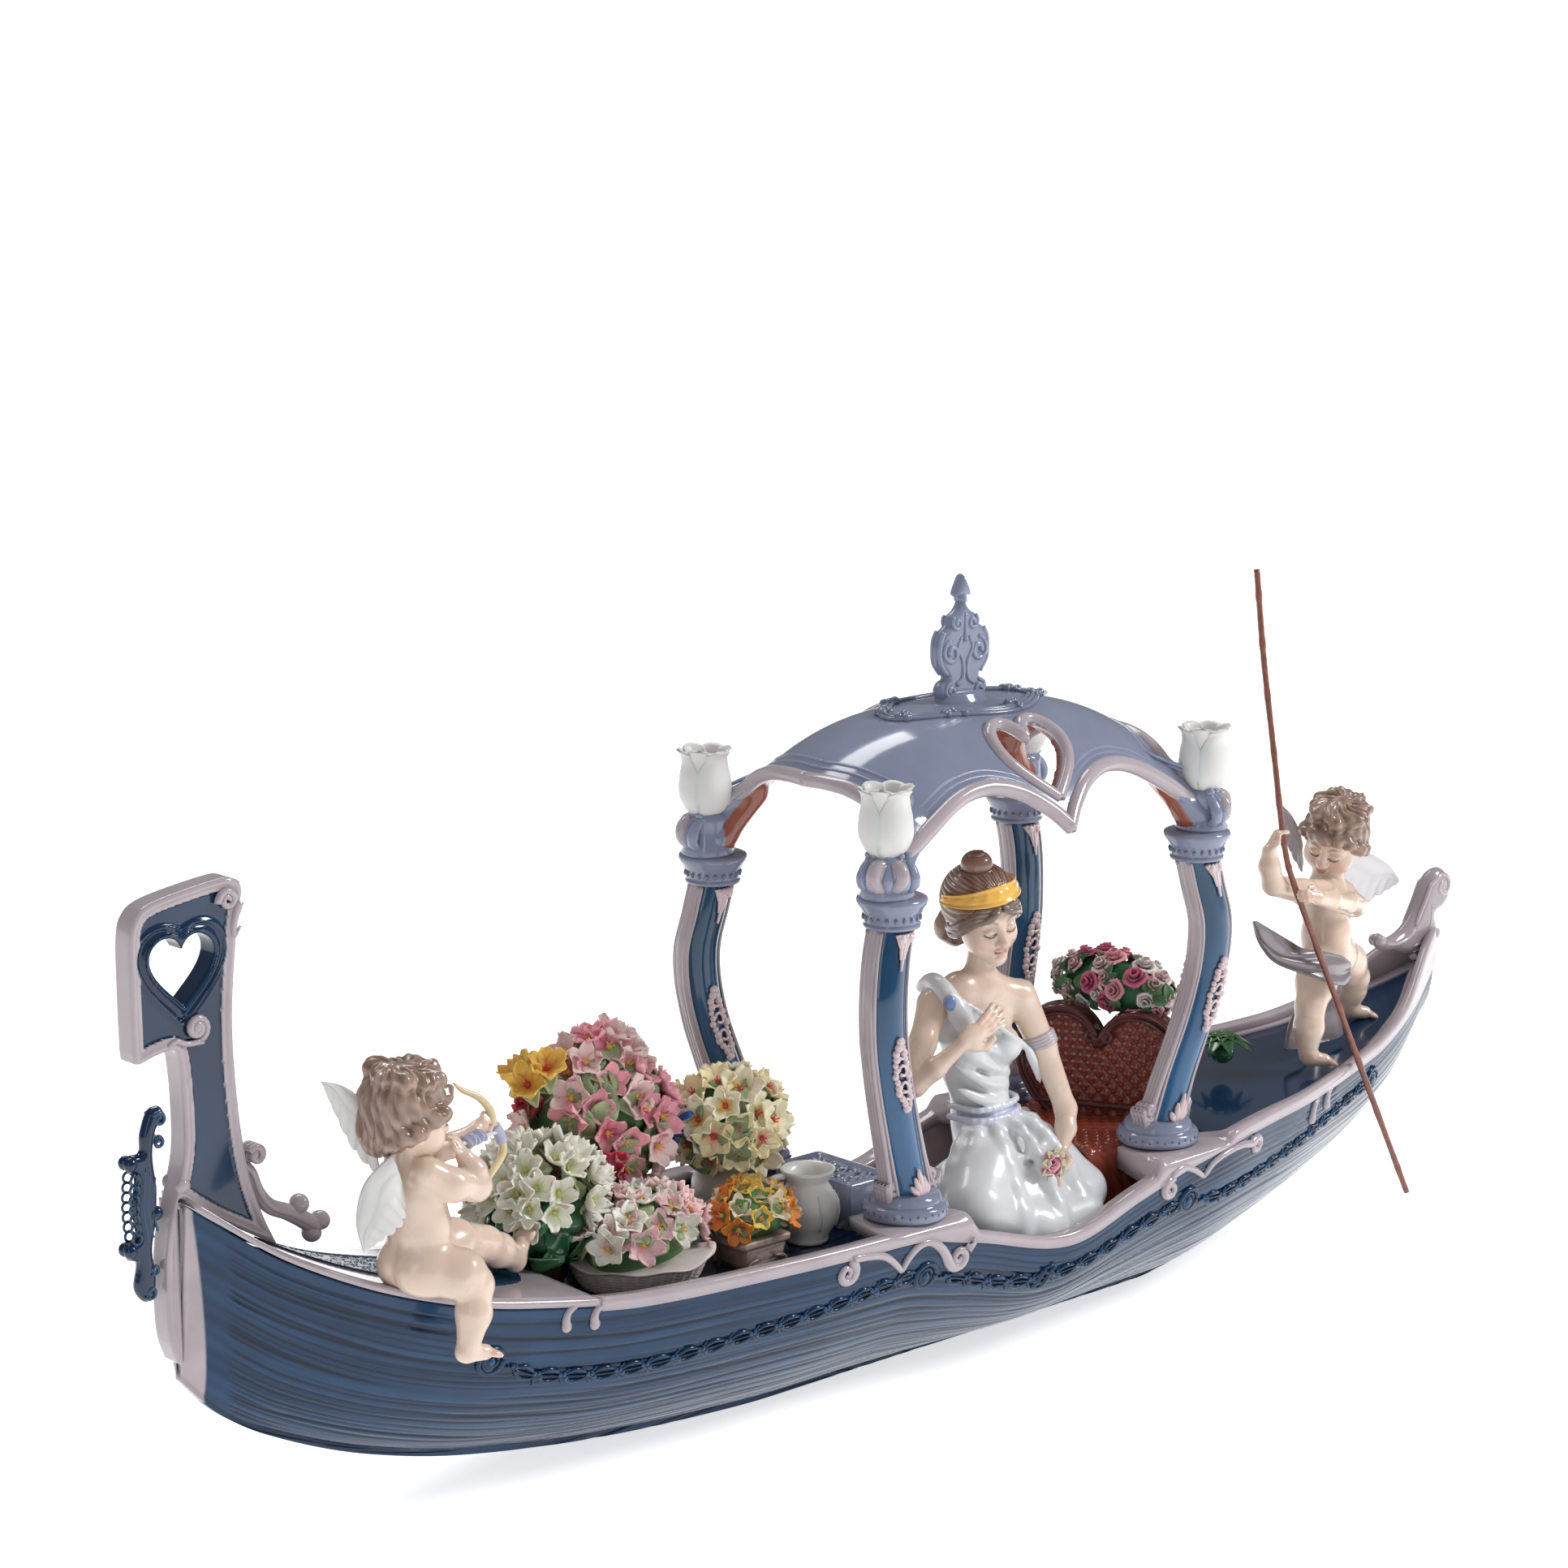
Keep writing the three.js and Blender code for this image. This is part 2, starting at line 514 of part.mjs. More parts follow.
// A thin wing from two root points to a tip.
function wing(rootTop, rootBottom, tip, thickness) {
  const a = new THREE.Vector3(...rootTop);
  const b = new THREE.Vector3(...rootBottom);
  const c = new THREE.Vector3(...tip);
  const normal = b.clone().sub(a).cross(c.clone().sub(a)).normalize();
  return bentBox(4, 2, 1, (s, t, w) => {
    const centre = a.clone().lerp(b, 0.5).lerp(c, s);
    const spread = b.clone().sub(a).multiplyScalar(0.5 * (1 - s) ** 0.6 + 0.05);
    const p = centre.addScaledVector(spread, t).addScaledVector(normal, (w - 0.5) * thickness);
    return p.toArray();
  });
}
// Wing meshes can come out mirrored, so their volume sign is checked.
function wingMesh(name, ...args) {
  const geometry = wing(...args);
  const body = solid(geometry);
  if (body.volume() < 0 || body.isEmpty()) {
    const index = geometry.index.array;
    for (let i = 0; i < index.length; i += 3) {
      [index[i], index[i + 1]] = [index[i + 1], index[i]];
    }
  }
  addMesh(name, geometry, WHITE, 0.3);
}
wingMesh('archer_wing_far', [-371, -32, 178], [-369, -34, 158], [-382, -30, 193], 3);
wingMesh('archer_wing_near', [-370, -50, 172], [-370, -50, 150], [-386, -53, 141], 3);

function rod(points, radius, steps, sides) {
  const path = new THREE.CatmullRomCurve3(points.map((p) => new THREE.Vector3(...p)));
  const section = new THREE.Shape();
  section.absarc(0, 0, radius, 0, Math.PI * 2);
  return new THREE.ExtrudeGeometry(section, {
    steps, curveSegments: sides / 2, bevelEnabled: false, extrudePath: path,
  });
}
addMesh('archer_bow', rod([[-320, -34, 184], [-309, -36, 177], [-303, -38, 164], [-305, -41, 154],
  [-314, -44, 147]], 1.5, 10, 6), HAIR, 0.4);

// ---- gondolier cherub on the stern deck --------------------------------------------------
const gondolier = union([
  limb([251, -16, 174], [252, -17, 142], 15, 16, 10),
  limb([250, -17, 178], [252, -17, 192], 8, 7),
  limb([238, -22, 176], [190, -30, 192], 7, 5.5),
  limb([190, -30, 192], [187, -27, 211], 5, 4.5),
  limb([265, -14, 174], [272, -28, 166], 7, 6),
  limb([272, -28, 166], [209, -46, 182], 6, 4.5),
  limb([209, -46, 182], [201, -45.5, 184], 4.5, 4.5),
  limb([244, -20, 140], [222, -29, 120], 12, 8),
  limb([222, -29, 120], [219, -31, 97], 7.5, 5),
  limb([220, -32, 95], [232, -37, 92], 4.5, 3.5),
  limb([262, -12, 140], [286, -6, 120], 12, 8),
  limb([286, -6, 120], [286, -3, 106], 7.5, 5),
  limb([286, -3, 101], [298, -8, 99], 4.5, 3.5),
]);
const GONDOLIER_NECK_Z = 188;
const headClear = solid(ball([254, -18, 207], [20.5, 20.5, 20.5], 14));
addMesh('gondolier_body', fromSolid(gondolier.subtract(decksRaised).subtract(headClear)), SKIN, 0.3);
addMesh('gondolier_head', fromSolid(
  solid(ball([254, -18, 207], [20, 20, 20], 14)).intersect(above(GONDOLIER_NECK_Z)),
), HAIR, 0.35);
wingMesh('gondolier_wing_far', [243, 6, 200], [250, 8, 184], [240, 8, 212], 3);
wingMesh('gondolier_wing_near', [281, 1, 184], [281, 1, 168], [340, 6, 156], 3);
addMesh('gondolier_drape', fromSolid(union([
  limb([183, -31, 166], [203, -30, 151], 4, 6),
  limb([203, -30, 151], [214, -36, 140], 6, 4),
]).subtract(union([
  limb([244, -20, 140], [222, -29, 120], 13, 9),
  limb([251, -16, 174], [252, -17, 142], 16, 17, 10),
]))), MAUVE, 0.3);

// The punt pole: straight below the hands, slightly bent above them.
addMesh('pole', rod([[262, -63, 23], [241.3, -54.3, 77], [220.7, -45.7, 131], [200, -37, 185],
  [194.5, -33, 209], [193, -27, 250], [191, -20, 300], [190, -15, 344]], POLE_R, 18, 6), POLE_BROWN, 0.35);

// ---- cargo -----------------------------------------------------------------------------
const FLOOR = CARGO_Z + GAP;
function oval(profile, centre, across, angle, sides = 14) {
  const piece = turned(profile, sides, [0, 0, 0]);
  piece.scale(1, across, 1);
  piece.rotateZ(angle);
  piece.translate(...centre);
  return piece;
}
function dome(centre, radii, angle, floorZ, sides = 14) {
  const bloom = ball([0, 0, 0], radii, sides);
  bloom.rotateZ(angle);
  bloom.translate(...centre);
  return fromSolid(solid(bloom).intersect(above(floorZ)));
}
addMesh('reed_basket', oval([[0, 0], [24, 0], [31, 6], [33, 11], [0, 11]], [-211, -16, FLOOR], 0.6, -0.65),
  0x8d7a6d, 0.5);
addMesh('basket_flowers', dome([-211, -16, 92], [32, 19, 20], -0.65, FLOOR + 11 + GAP), PINK, 0.5);
addMesh('wooden_crate', block([-167, -36, FLOOR], [-138, -14, FLOOR + 14]), 0x7f5648, 0.5);
addMesh('crate_flowers', dome([-153, -25, 92], [18, 12, 14], 0, FLOOR + 14 + GAP), 0xd8a14a, 0.5);
addMesh('milk_jug', turned([[0, 0], [7.5, 0], [13.5, 10], [14.5, 20], [10.5, 28], [12, 34], [10.5, 34],
  [8.8, 28], [12, 20], [11, 11], [6, 4], [0, 4]], 12, [-114, -20, FLOOR]), WHITE, 0.35);
addMesh('white_pot', turned([[0, 0], [11, 0], [17, 10], [17, 20], [14, 28], [0, 28]], 12,
  [-133, 15, FLOOR]), WHITE, 0.35);
addMesh('pot_flowers', dome([-133, 12, 122], [22, 21, 26], 0, FLOOR + 28 + GAP), 0xe4d6a8, 0.5);
const mound = ball([0, 0, 0], [38, 30, 38], 14);
mound.translate(-198, 26, 140);
const moundStem = turned([[0, 0], [13, 0], [19, 28], [24, 50], [0, 50]], 10, [-198, 34, FLOOR]);
const moundTop = solid(mound).intersect(above(FLOOR + 40));
addMesh('flower_mound', fromSolid(moundTop.add(solid(moundStem))), PINK, 0.5);
addMesh('dark_tub', turned([[0, 0], [11, 0], [14, 20], [0, 20]], 12, [-247, 20, FLOOR]), 0x3a2620, 0.5);
addMesh('leafy_plant', dome([-251, 8, 116], [21, 20, 24], 0, FLOOR + 20 + GAP), LEAF, 0.5);

group.updateMatrixWorld(true);
export default group;
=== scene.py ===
import math

import bpy
import numpy as np
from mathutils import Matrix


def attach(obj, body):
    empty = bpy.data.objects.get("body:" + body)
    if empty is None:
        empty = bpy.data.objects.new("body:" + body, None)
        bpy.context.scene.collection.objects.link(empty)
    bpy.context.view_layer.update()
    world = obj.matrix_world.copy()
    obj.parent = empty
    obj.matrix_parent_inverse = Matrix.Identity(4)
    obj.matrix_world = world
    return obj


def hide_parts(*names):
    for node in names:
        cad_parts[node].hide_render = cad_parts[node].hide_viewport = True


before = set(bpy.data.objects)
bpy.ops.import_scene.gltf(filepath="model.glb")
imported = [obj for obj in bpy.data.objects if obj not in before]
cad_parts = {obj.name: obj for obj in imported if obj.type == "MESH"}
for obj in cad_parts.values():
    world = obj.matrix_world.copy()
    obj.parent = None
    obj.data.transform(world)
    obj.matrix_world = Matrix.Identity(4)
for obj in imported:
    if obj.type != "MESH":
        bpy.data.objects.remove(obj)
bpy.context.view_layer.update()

import openvdb
from mathutils import Matrix, Vector

# Lengths are millimetres until a piece becomes a Blender object in metres.
MM = 0.001
BODY = "gondola"

# ---- colours (linear light) -----------------------------------------------------------
NAVY = (0.006, 0.022, 0.058)
# Navy lightened as a painted highlight, for raised relief and light streaks.
NAVY_HIGHLIGHT = (0.017, 0.052, 0.118)
COLUMN_BLUE = (0.024, 0.092, 0.200)
MAUVE = (0.40, 0.35, 0.38)
BLUE_GREY = (0.21, 0.235, 0.33)
WHITE = (0.67, 0.67, 0.655)
DRESS = (0.64, 0.66, 0.68)
SKIN = (0.70, 0.55, 0.45)
BLUSH = (0.72, 0.40, 0.32)
LIP = (0.56, 0.24, 0.20)
BROW = (0.16, 0.09, 0.06)
HAIR = (0.20, 0.118, 0.085)
HAIR_LIGHT = (0.36, 0.26, 0.21)
MAROON = (0.15, 0.030, 0.022)
TERRACOTTA = (0.27, 0.085, 0.055)
BAND_YELLOW = (0.85, 0.50, 0.11)
LILAC = (0.40, 0.42, 0.56)
LEAF = (0.09, 0.20, 0.07)
LEAF_PALE = (0.36, 0.44, 0.24)
DEEP_GREEN = (0.02, 0.09, 0.04)


# ---- materials ------------------------------------------------------------------------
def glazed(name, roughness=0.16, coat=0.7, mottle=0.10, mottle_size=60.0, bump=0.05, bump_size=400.0,
           subsurface=0.0, pool_and_shade=0.0, specular=0.5):
    """Fired glaze over the colour painted on the mesh, a little uneven in tone and surface."""
    material = bpy.data.materials.new(name)
    material.use_nodes = True
    nodes, links = material.node_tree.nodes, material.node_tree.links
    shader = nodes["Principled BSDF"]
    paint = nodes.new("ShaderNodeVertexColor")
    paint.layer_name = "paint"
    where = nodes.new("ShaderNodeTexCoord")
    cloud = nodes.new("ShaderNodeTexNoise")
    cloud.inputs["Scale"].default_value = mottle_size
    cloud.inputs["Detail"].default_value = 3.0
    links.new(where.outputs["Object"], cloud.inputs["Vector"])
    tone = nodes.new("ShaderNodeMapRange")
    tone.inputs["From Min"].default_value = 0.3
    tone.inputs["From Max"].default_value = 0.7
    tone.inputs["To Min"].default_value = 1.0 - mottle
    tone.inputs["To Max"].default_value = 1.0 + mottle
    links.new(cloud.outputs["Fac"], tone.inputs["Value"])
    colour = nodes.new("ShaderNodeVectorMath")
    colour.operation = "SCALE"
    links.new(paint.outputs["Color"], colour.inputs[0])
    links.new(tone.outputs["Result"], colour.inputs["Scale"])
    last = colour.outputs["Vector"]
    if pool_and_shade > 0.0:
        # Glaze thins to a lighter tone on ridges and pools darker in hollows; the same curvature mask also
        # paints highlight on the ridges and shade in the hollows.
        shape = nodes.new("ShaderNodeNewGeometry")
        ridge = nodes.new("ShaderNodeMapRange")
        ridge.inputs["From Min"].default_value = 0.44
        ridge.inputs["From Max"].default_value = 0.56
        ridge.inputs["To Min"].default_value = 1.0 - pool_and_shade
        ridge.inputs["To Max"].default_value = 1.0 + pool_and_shade
        links.new(shape.outputs["Pointiness"], ridge.inputs["Value"])
        pooled_and_shaded = nodes.new("ShaderNodeVectorMath")
        pooled_and_shaded.operation = "SCALE"
        links.new(last, pooled_and_shaded.inputs[0])
        links.new(ridge.outputs["Result"], pooled_and_shaded.inputs["Scale"])
        last = pooled_and_shaded.outputs["Vector"]
    links.new(last, shader.inputs["Base Color"])
    grain = nodes.new("ShaderNodeTexNoise")
    grain.inputs["Scale"].default_value = bump_size
    grain.inputs["Detail"].default_value = 2.0
    links.new(where.outputs["Object"], grain.inputs["Vector"])
    relief = nodes.new("ShaderNodeBump")
    relief.inputs["Strength"].default_value = bump
    relief.inputs["Distance"].default_value = 0.0006
    links.new(grain.outputs["Fac"], relief.inputs["Height"])
    links.new(relief.outputs["Normal"], shader.inputs["Normal"])
    sheen = nodes.new("ShaderNodeMapRange")
    sheen.inputs["To Min"].default_value = roughness * 0.8
    sheen.inputs["To Max"].default_value = roughness * 1.25
    links.new(cloud.outputs["Fac"], sheen.inputs["Value"])
    links.new(sheen.outputs["Result"], shader.inputs["Roughness"])
    shader.inputs["IOR"].default_value = 1.5
    shader.inputs["Specular IOR Level"].default_value = specular
    shader.inputs["Coat Weight"].default_value = coat
    shader.inputs["Coat Roughness"].default_value = 0.06
    shader.inputs["Subsurface Weight"].default_value = subsurface
    shader.inputs["Subsurface Scale"].default_value = 0.002
    return material


GLOSS = glazed("gloss_glaze", coat=0.22, pool_and_shade=0.35, specular=0.22)
SMOOTH = glazed("smooth_gloss_glaze", roughness=0.12, coat=0.35, mottle=0.06, specular=0.35)
SATIN = glazed("satin_glaze", roughness=0.30, coat=0.35, mottle=0.04, subsurface=0.12)
FLESH = glazed("flesh_glaze", roughness=0.26, coat=0.45, mottle=0.05, subsurface=0.20)
BISQUE = glazed("bisque_petals", roughness=0.55, coat=0.0, mottle=0.08, mottle_size=200.0, subsurface=0.15)
HAIR_GLAZE = glazed("hair_glaze", roughness=0.28, coat=0.45, mottle=0.12, pool_and_shade=0.4)
BISQUE_WHITE = glazed("matte_white", roughness=0.42, coat=0.08, mottle=0.03, subsurface=0.15)
WOOD_GLAZE = glazed("wood_glaze", roughness=0.35, coat=0.3, mottle=0.25, mottle_size=350.0, pool_and_shade=0.3)


# ---- meshes ---------------------------------------------------------------------------
class Piece:
    """Collects the faces of one piece, with a painted colour at each vertex."""

    def __init__(self):
        self.points, self.faces, self.paint, self.count = [], [], [], 0

    def add(self, points, faces, colour):
        points = np.asarray(points, float).reshape(-1, 3)
        colour = np.asarray(colour, float)
        if colour.ndim == 1:
            colour = np.tile(colour, (len(points), 1))
        self.points.append(points)
        self.paint.append(colour)
        self.faces.extend([tuple(i + self.count for i in face) for face in faces])
        self.count += len(points)

    def grid(self, net, colour, around=False, along=False, caps=False):
        """A net of points [along, around, 3] becomes quads; around and along close the net."""
        net = np.asarray(net, float)
        n, m = net.shape[:2]
        faces = []
        for i in range(n if along else n - 1):
            for j in range(m if around else m - 1):
                k, l = (i + 1) % n, (j + 1) % m
                faces.append((i * m + j, i * m + l, k * m + l, k * m + j))
        if caps:
            faces.append(tuple(range(m))[::-1])
            faces.append(tuple((n - 1) * m + j for j in range(m)))
        colour = np.asarray(colour, float)
        self.add(net.reshape(-1, 3), faces, colour.reshape(-1, 3) if colour.ndim == 3 else colour)

    def tube(self, path, radius, colour, sides=8, wide=1.0, up=None):
        """A round or flattened tube along a path; radius may be a list, one per point."""
        path = np.asarray(path, float)
        radius = np.broadcast_to(np.asarray(radius, float), (len(path),))
        tangent = np.gradient(path, axis=0)
        tangent /= np.linalg.norm(tangent, axis=1, keepdims=True) + 1e-9
        side = np.cross(tangent[0], up if up is not None else (0.13, 0.27, 0.95))
        rings = []
        angle = np.linspace(0, 2 * math.pi, sides, endpoint=False)
        for p, t, r in zip(path, tangent, radius):
            if up is not None:
                side = np.cross(t, up)
            side = side - t * side.dot(t)
            side /= np.linalg.norm(side) + 1e-9
            other = np.cross(side, t)
            rings.append(p + r * (np.cos(angle)[:, None] * side * wide + np.sin(angle)[:, None] * other))
        self.grid(np.array(rings), colour, around=True, caps=True)

    def turned(self, profile, centre, colour, sides=48, across=1.0, spin=0.0, flute=0, depth=0.0):
        """A turned piece: radius and height pairs; across squeezes it, flute carves it lengthwise."""
        profile = np.asarray(profile, float)
        angle = np.linspace(0, 2 * math.pi, sides, endpoint=False)
        carve = 1.0 - depth * (0.5 - 0.5 * np.cos(angle * flute)) if flute else np.ones(sides)
        radius = profile[:, 0][:, None] * carve
        x, y = radius * np.cos(angle), radius * np.sin(angle) * across
        net = np.stack([x * math.cos(spin) - y * math.sin(spin), x * math.sin(spin) + y * math.cos(spin),
                        np.repeat(profile[:, 1][:, None], sides, 1)], -1)
        self.grid(net + np.asarray(centre, float), colour, around=True, caps=True)

    def ball(self, centre, radii, colour, turn=None, rows=8, sides=12):
        """An ellipsoid; turn is a 3 by 3 rotation."""
        polar = np.linspace(0.02, math.pi - 0.02, rows)
        angle = np.linspace(0, 2 * math.pi, sides, endpoint=False)
        net = np.stack([np.sin(polar)[:, None] * np.cos(angle), np.sin(polar)[:, None] * np.sin(angle),
                        np.repeat(np.cos(polar)[:, None], sides, 1)], -1) * np.asarray(radii, float)
        if turn is not None:
            net = net @ np.asarray(turn, float).T
        self.grid(net[::-1] + np.asarray(centre, float), colour, around=True, caps=True)

    def object(self, name, material, slot, replaces=(), body=BODY, smooth=True, subdivide=0):
        mesh = bpy.data.meshes.new(name)
        points = np.concatenate(self.points) * MM
        mesh.from_pydata(points.tolist(), [], self.faces)
        paint = mesh.color_attributes.new("paint", "FLOAT_COLOR", "POINT")
        rgba = np.ones((len(points), 4))
        rgba[:, :3] = np.concatenate(self.paint)
        paint.data.foreach_set("color", rgba.ravel())
        mesh.materials.append(material)
        if smooth:
            mesh.shade_smooth()
        mesh.update()
        piece = bpy.data.objects.new(name, mesh)
        bpy.context.scene.collection.objects.link(piece)
        if subdivide:
            piece.modifiers.new("round", "SUBSURF").levels = subdivide
            piece.modifiers["round"].render_levels = subdivide
        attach(piece, body)
        if replaces:
            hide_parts(*replaces)
        return piece


def unit(v):
    v = np.asarray(v, float)
    return v / (np.linalg.norm(v) + 1e-12)


def curve(points, count):
    """A smooth path of count points through a few points, by a Catmull-Rom spline."""
    p = np.asarray(points, float)
    p = np.vstack([2 * p[0] - p[1], p, 2 * p[-1] - p[-2]])
    spans = len(p) - 3
    out = []
    for s in np.linspace(0, spans - 1e-9, count):
        i, t = int(s), s - int(s)
        a, b, c, d = p[i:i + 4]
        out.append(0.5 * (2 * b + (c - a) * t + (2 * a - 5 * b + 4 * c - d) * t ** 2
                          + (3 * b - a - 3 * c + d) * t ** 3))
    return np.array(out)


def fair(stations):
    """A smooth curve y(x) through a few stations, without overshoot."""
    x, y = np.array(stations, float).T
    slope = np.diff(y) / np.diff(x)
    mid = np.where(slope[:-1] * slope[1:] > 0, 2 * slope[:-1] * slope[1:] / (slope[:-1] + slope[1:] + 1e-12),
                   0)
    m = np.concatenate([[slope[0]], mid, [slope[-1]]])

    def at(value):
        value = np.asarray(value, float)
        i = np.clip(np.searchsorted(x, value, side="left") - 1, 0, len(x) - 2)
        h = x[i + 1] - x[i]
        u = np.clip((value - x[i]) / h, 0, 1)
        return ((1 + 2 * u) * (1 - u) ** 2 * y[i] + u * (1 - u) ** 2 * h * m[i]
                + u * u * (3 - 2 * u) * y[i + 1] + u * u * (u - 1) * h * m[i + 1])
    return at


def smoothstep(x, low, high):
    t = np.clip((np.asarray(x, float) - low) / (high - low), 0, 1)
    return t * t * (3 - 2 * t)


def blend_colour(a, b, share):
    share = np.asarray(share, float)[..., None]
    return np.asarray(a) * (1 - share) + np.asarray(b) * share


class Clay:
    """A lump modelled on a grid of distances in millimetres, negative inside."""

    def __init__(self, low, high, step):
        self.low, self.step = np.array(low, float), step
        self.size = np.ceil((np.array(high, float) - self.low) / step).astype(int) + 1
        self.field = np.full(self.size, 50.0, np.float32)

    def patch(self, low, high):
        """The part of the grid between two corners, and its points."""
        a = np.clip(np.floor((np.asarray(low) - self.low) / self.step).astype(int), 0, self.size - 1)
        b = np.clip(np.ceil((np.asarray(high) - self.low) / self.step).astype(int) + 1, a + 1, self.size)
        cut = tuple(slice(i, j) for i, j in zip(a, b))
        axes = [self.low[i] + self.step * np.arange(a[i], b[i]) for i in range(3)]
        return cut, np.stack(np.meshgrid(*axes, indexing="ij"), -1)

    def everywhere(self):
        """All the points of the grid."""
        return self.patch(self.low, self.low + self.step * self.size)[1]

    def merge(self, cut, distance, soft, carve):
        old = self.field[cut]
        if carve:
            mix = np.maximum(soft - np.abs(old + distance), 0) / max(soft, 1e-6)
            self.field[cut] = np.maximum(old, -distance) + mix * mix * soft * 0.25
        else:
            mix = np.maximum(soft - np.abs(old - distance), 0) / max(soft, 1e-6)
            self.field[cut] = np.minimum(old, distance) - mix * mix * soft * 0.25

    def limb(self, a, b, ra, rb, soft=3.0, carve=False):
        a, b = np.asarray(a, float), np.asarray(b, float)
        reach = max(ra, rb) + soft + 2 * self.step
        cut, p = self.patch(np.minimum(a, b) - reach, np.maximum(a, b) + reach)
        line = b - a
        t = np.clip(((p - a) @ line) / (line @ line + 1e-9), 0, 1)
        distance = np.linalg.norm(p - a - t[..., None] * line, axis=-1) - (ra + (rb - ra) * t)
        self.merge(cut, distance, soft, carve)

    def chain(self, points, radii, soft=1.0, carve=False):
        radii = np.broadcast_to(np.asarray(radii, float), (len(points),))
        for i in range(len(points) - 1):
            self.limb(points[i], points[i + 1], radii[i], radii[i + 1], soft, carve)

    def egg(self, centre, radii, turn=None, soft=3.0, carve=False):
        """An ellipsoid; the columns of turn are its axes."""
        centre, radii = np.asarray(centre, float), np.asarray(radii, float)
        reach = radii.max() + soft + 2 * self.step
        cut, p = self.patch(centre - reach, centre + reach)
        q = p - centre
        if turn is not None:
            q = q @ np.asarray(turn, float)
        k0 = np.linalg.norm(q / radii, axis=-1)
        k1 = np.linalg.norm(q / radii ** 2, axis=-1)
        self.merge(cut, k0 * (k0 - 1) / (k1 + 1e-9), soft, carve)

    def keep(self, inside, soft=0.0):
        """Keeps what lies where inside(points) is negative."""
        distance = inside(self.everywhere())
        mix = np.maximum(soft - np.abs(self.field - distance), 0) / max(soft, 1e-6)
        self.field = np.maximum(self.field, distance) + mix * mix * soft * 0.25

    def raise_by(self, height):
        """Moves the surface outwards by height(points)."""
        self.field = self.field - height(self.everywhere())

    def mesh(self):
        band = 3.0 * self.step
        grid = openvdb.FloatGrid(band)
        grid.copyFromArray(np.clip(self.field, -band, band).astype(np.float32))
        points, quads = grid.convertToQuads(0.0)
        points = np.asarray(points, float) * self.step + self.low
        return points, [tuple(int(i) for i in q) for q in quads]


# ---- camera, floor and light ------------------------------------------------------------
def studio():
    turn, drop = 0.74527, 0.20317          # heading from +Y towards +X, and dip, in radians
    right = Vector((math.cos(turn), -math.sin(turn), 0))
    ahead = Vector((math.sin(turn) * math.cos(drop), math.cos(turn) * math.cos(drop), -math.sin(drop)))
    up = right.cross(ahead)
    camera = bpy.data.objects.new("camera", bpy.data.cameras.new("camera"))
    bpy.context.scene.collection.objects.link(camera)
    camera.data.lens = 89.44
    camera.data.sensor_width = 36.0
    camera.data.clip_end = 30.0
    camera.matrix_world = Matrix((
        (right.x, up.x, -ahead.x, -1.25512),
        (right.y, up.y, -ahead.y, -1.24112),
        (right.z, up.z, -ahead.z, 0.62468),
        (0, 0, 0, 1)))
    bpy.context.scene.camera = camera

    bpy.ops.mesh.primitive_plane_add(size=16, location=(0, 0, -0.0004))
    floor = bpy.context.object
    floor.name = "floor"
    pale = bpy.data.materials.new("pale_floor")
    pale.use_nodes = True
    pale.node_tree.nodes["Principled BSDF"].inputs["Base Color"].default_value = (0.93, 0.93, 0.93, 1)
    pale.node_tree.nodes["Principled BSDF"].inputs["Roughness"].default_value = 0.8
    pale.node_tree.nodes["Principled BSDF"].inputs["Emission Color"].default_value = (1, 1, 1, 1)
    pale.node_tree.nodes["Principled BSDF"].inputs["Emission Strength"].default_value = 0.64
    floor.data.materials.append(pale)

    # White behind everything, dimmer as fill light and dimmer still in the reflections.
    world = bpy.data.worlds.new("studio")
    world.use_nodes = True
    tree = world.node_tree
    rays = tree.nodes.new("ShaderNodeLightPath")
    sky = tree.nodes["Background"]
    sky.inputs["Color"].default_value = (1, 1, 1, 1)
    fill = tree.nodes.new("ShaderNodeMapRange")
    fill.inputs["To Min"].default_value = 0.42
    fill.inputs["To Max"].default_value = 0.16
    tree.links.new(rays.outputs["Is Glossy Ray"], fill.inputs["Value"])
    seen = tree.nodes.new("ShaderNodeMath")
    seen.operation = "MAXIMUM"
    tree.links.new(rays.outputs["Is Camera Ray"], seen.inputs[0])
    tree.links.new(fill.outputs["Result"], seen.inputs[1])
    tree.links.new(seen.outputs["Value"], sky.inputs["Strength"])
    bpy.context.scene.world = world

    def softbox(name, place, target, size, watts):
        lamp = bpy.data.objects.new(name, bpy.data.lights.new(name, "AREA"))
        lamp.data.shape = "RECTANGLE"
        lamp.data.size, lamp.data.size_y = size
        lamp.data.energy = watts
        lamp.location = place
        lamp.rotation_euler = (Vector(target) - Vector(place)).to_track_quat("-Z", "Y").to_euler()
        bpy.context.scene.collection.objects.link(lamp)

    softbox("key", (1.5, -1.35, 1.7), (0, 0, 0.12), (0.6, 0.9), 41)
    softbox("fill", (-1.9, -1.0, 0.8), (-0.1, 0, 0.12), (0.35, 1.2), 3.0)
    softbox("top", (0.2, 1.1, 1.9), (0, 0, 0.15), (1.5, 0.5), 16)


studio()
bpy.context.scene.view_settings.view_transform = "Standard"

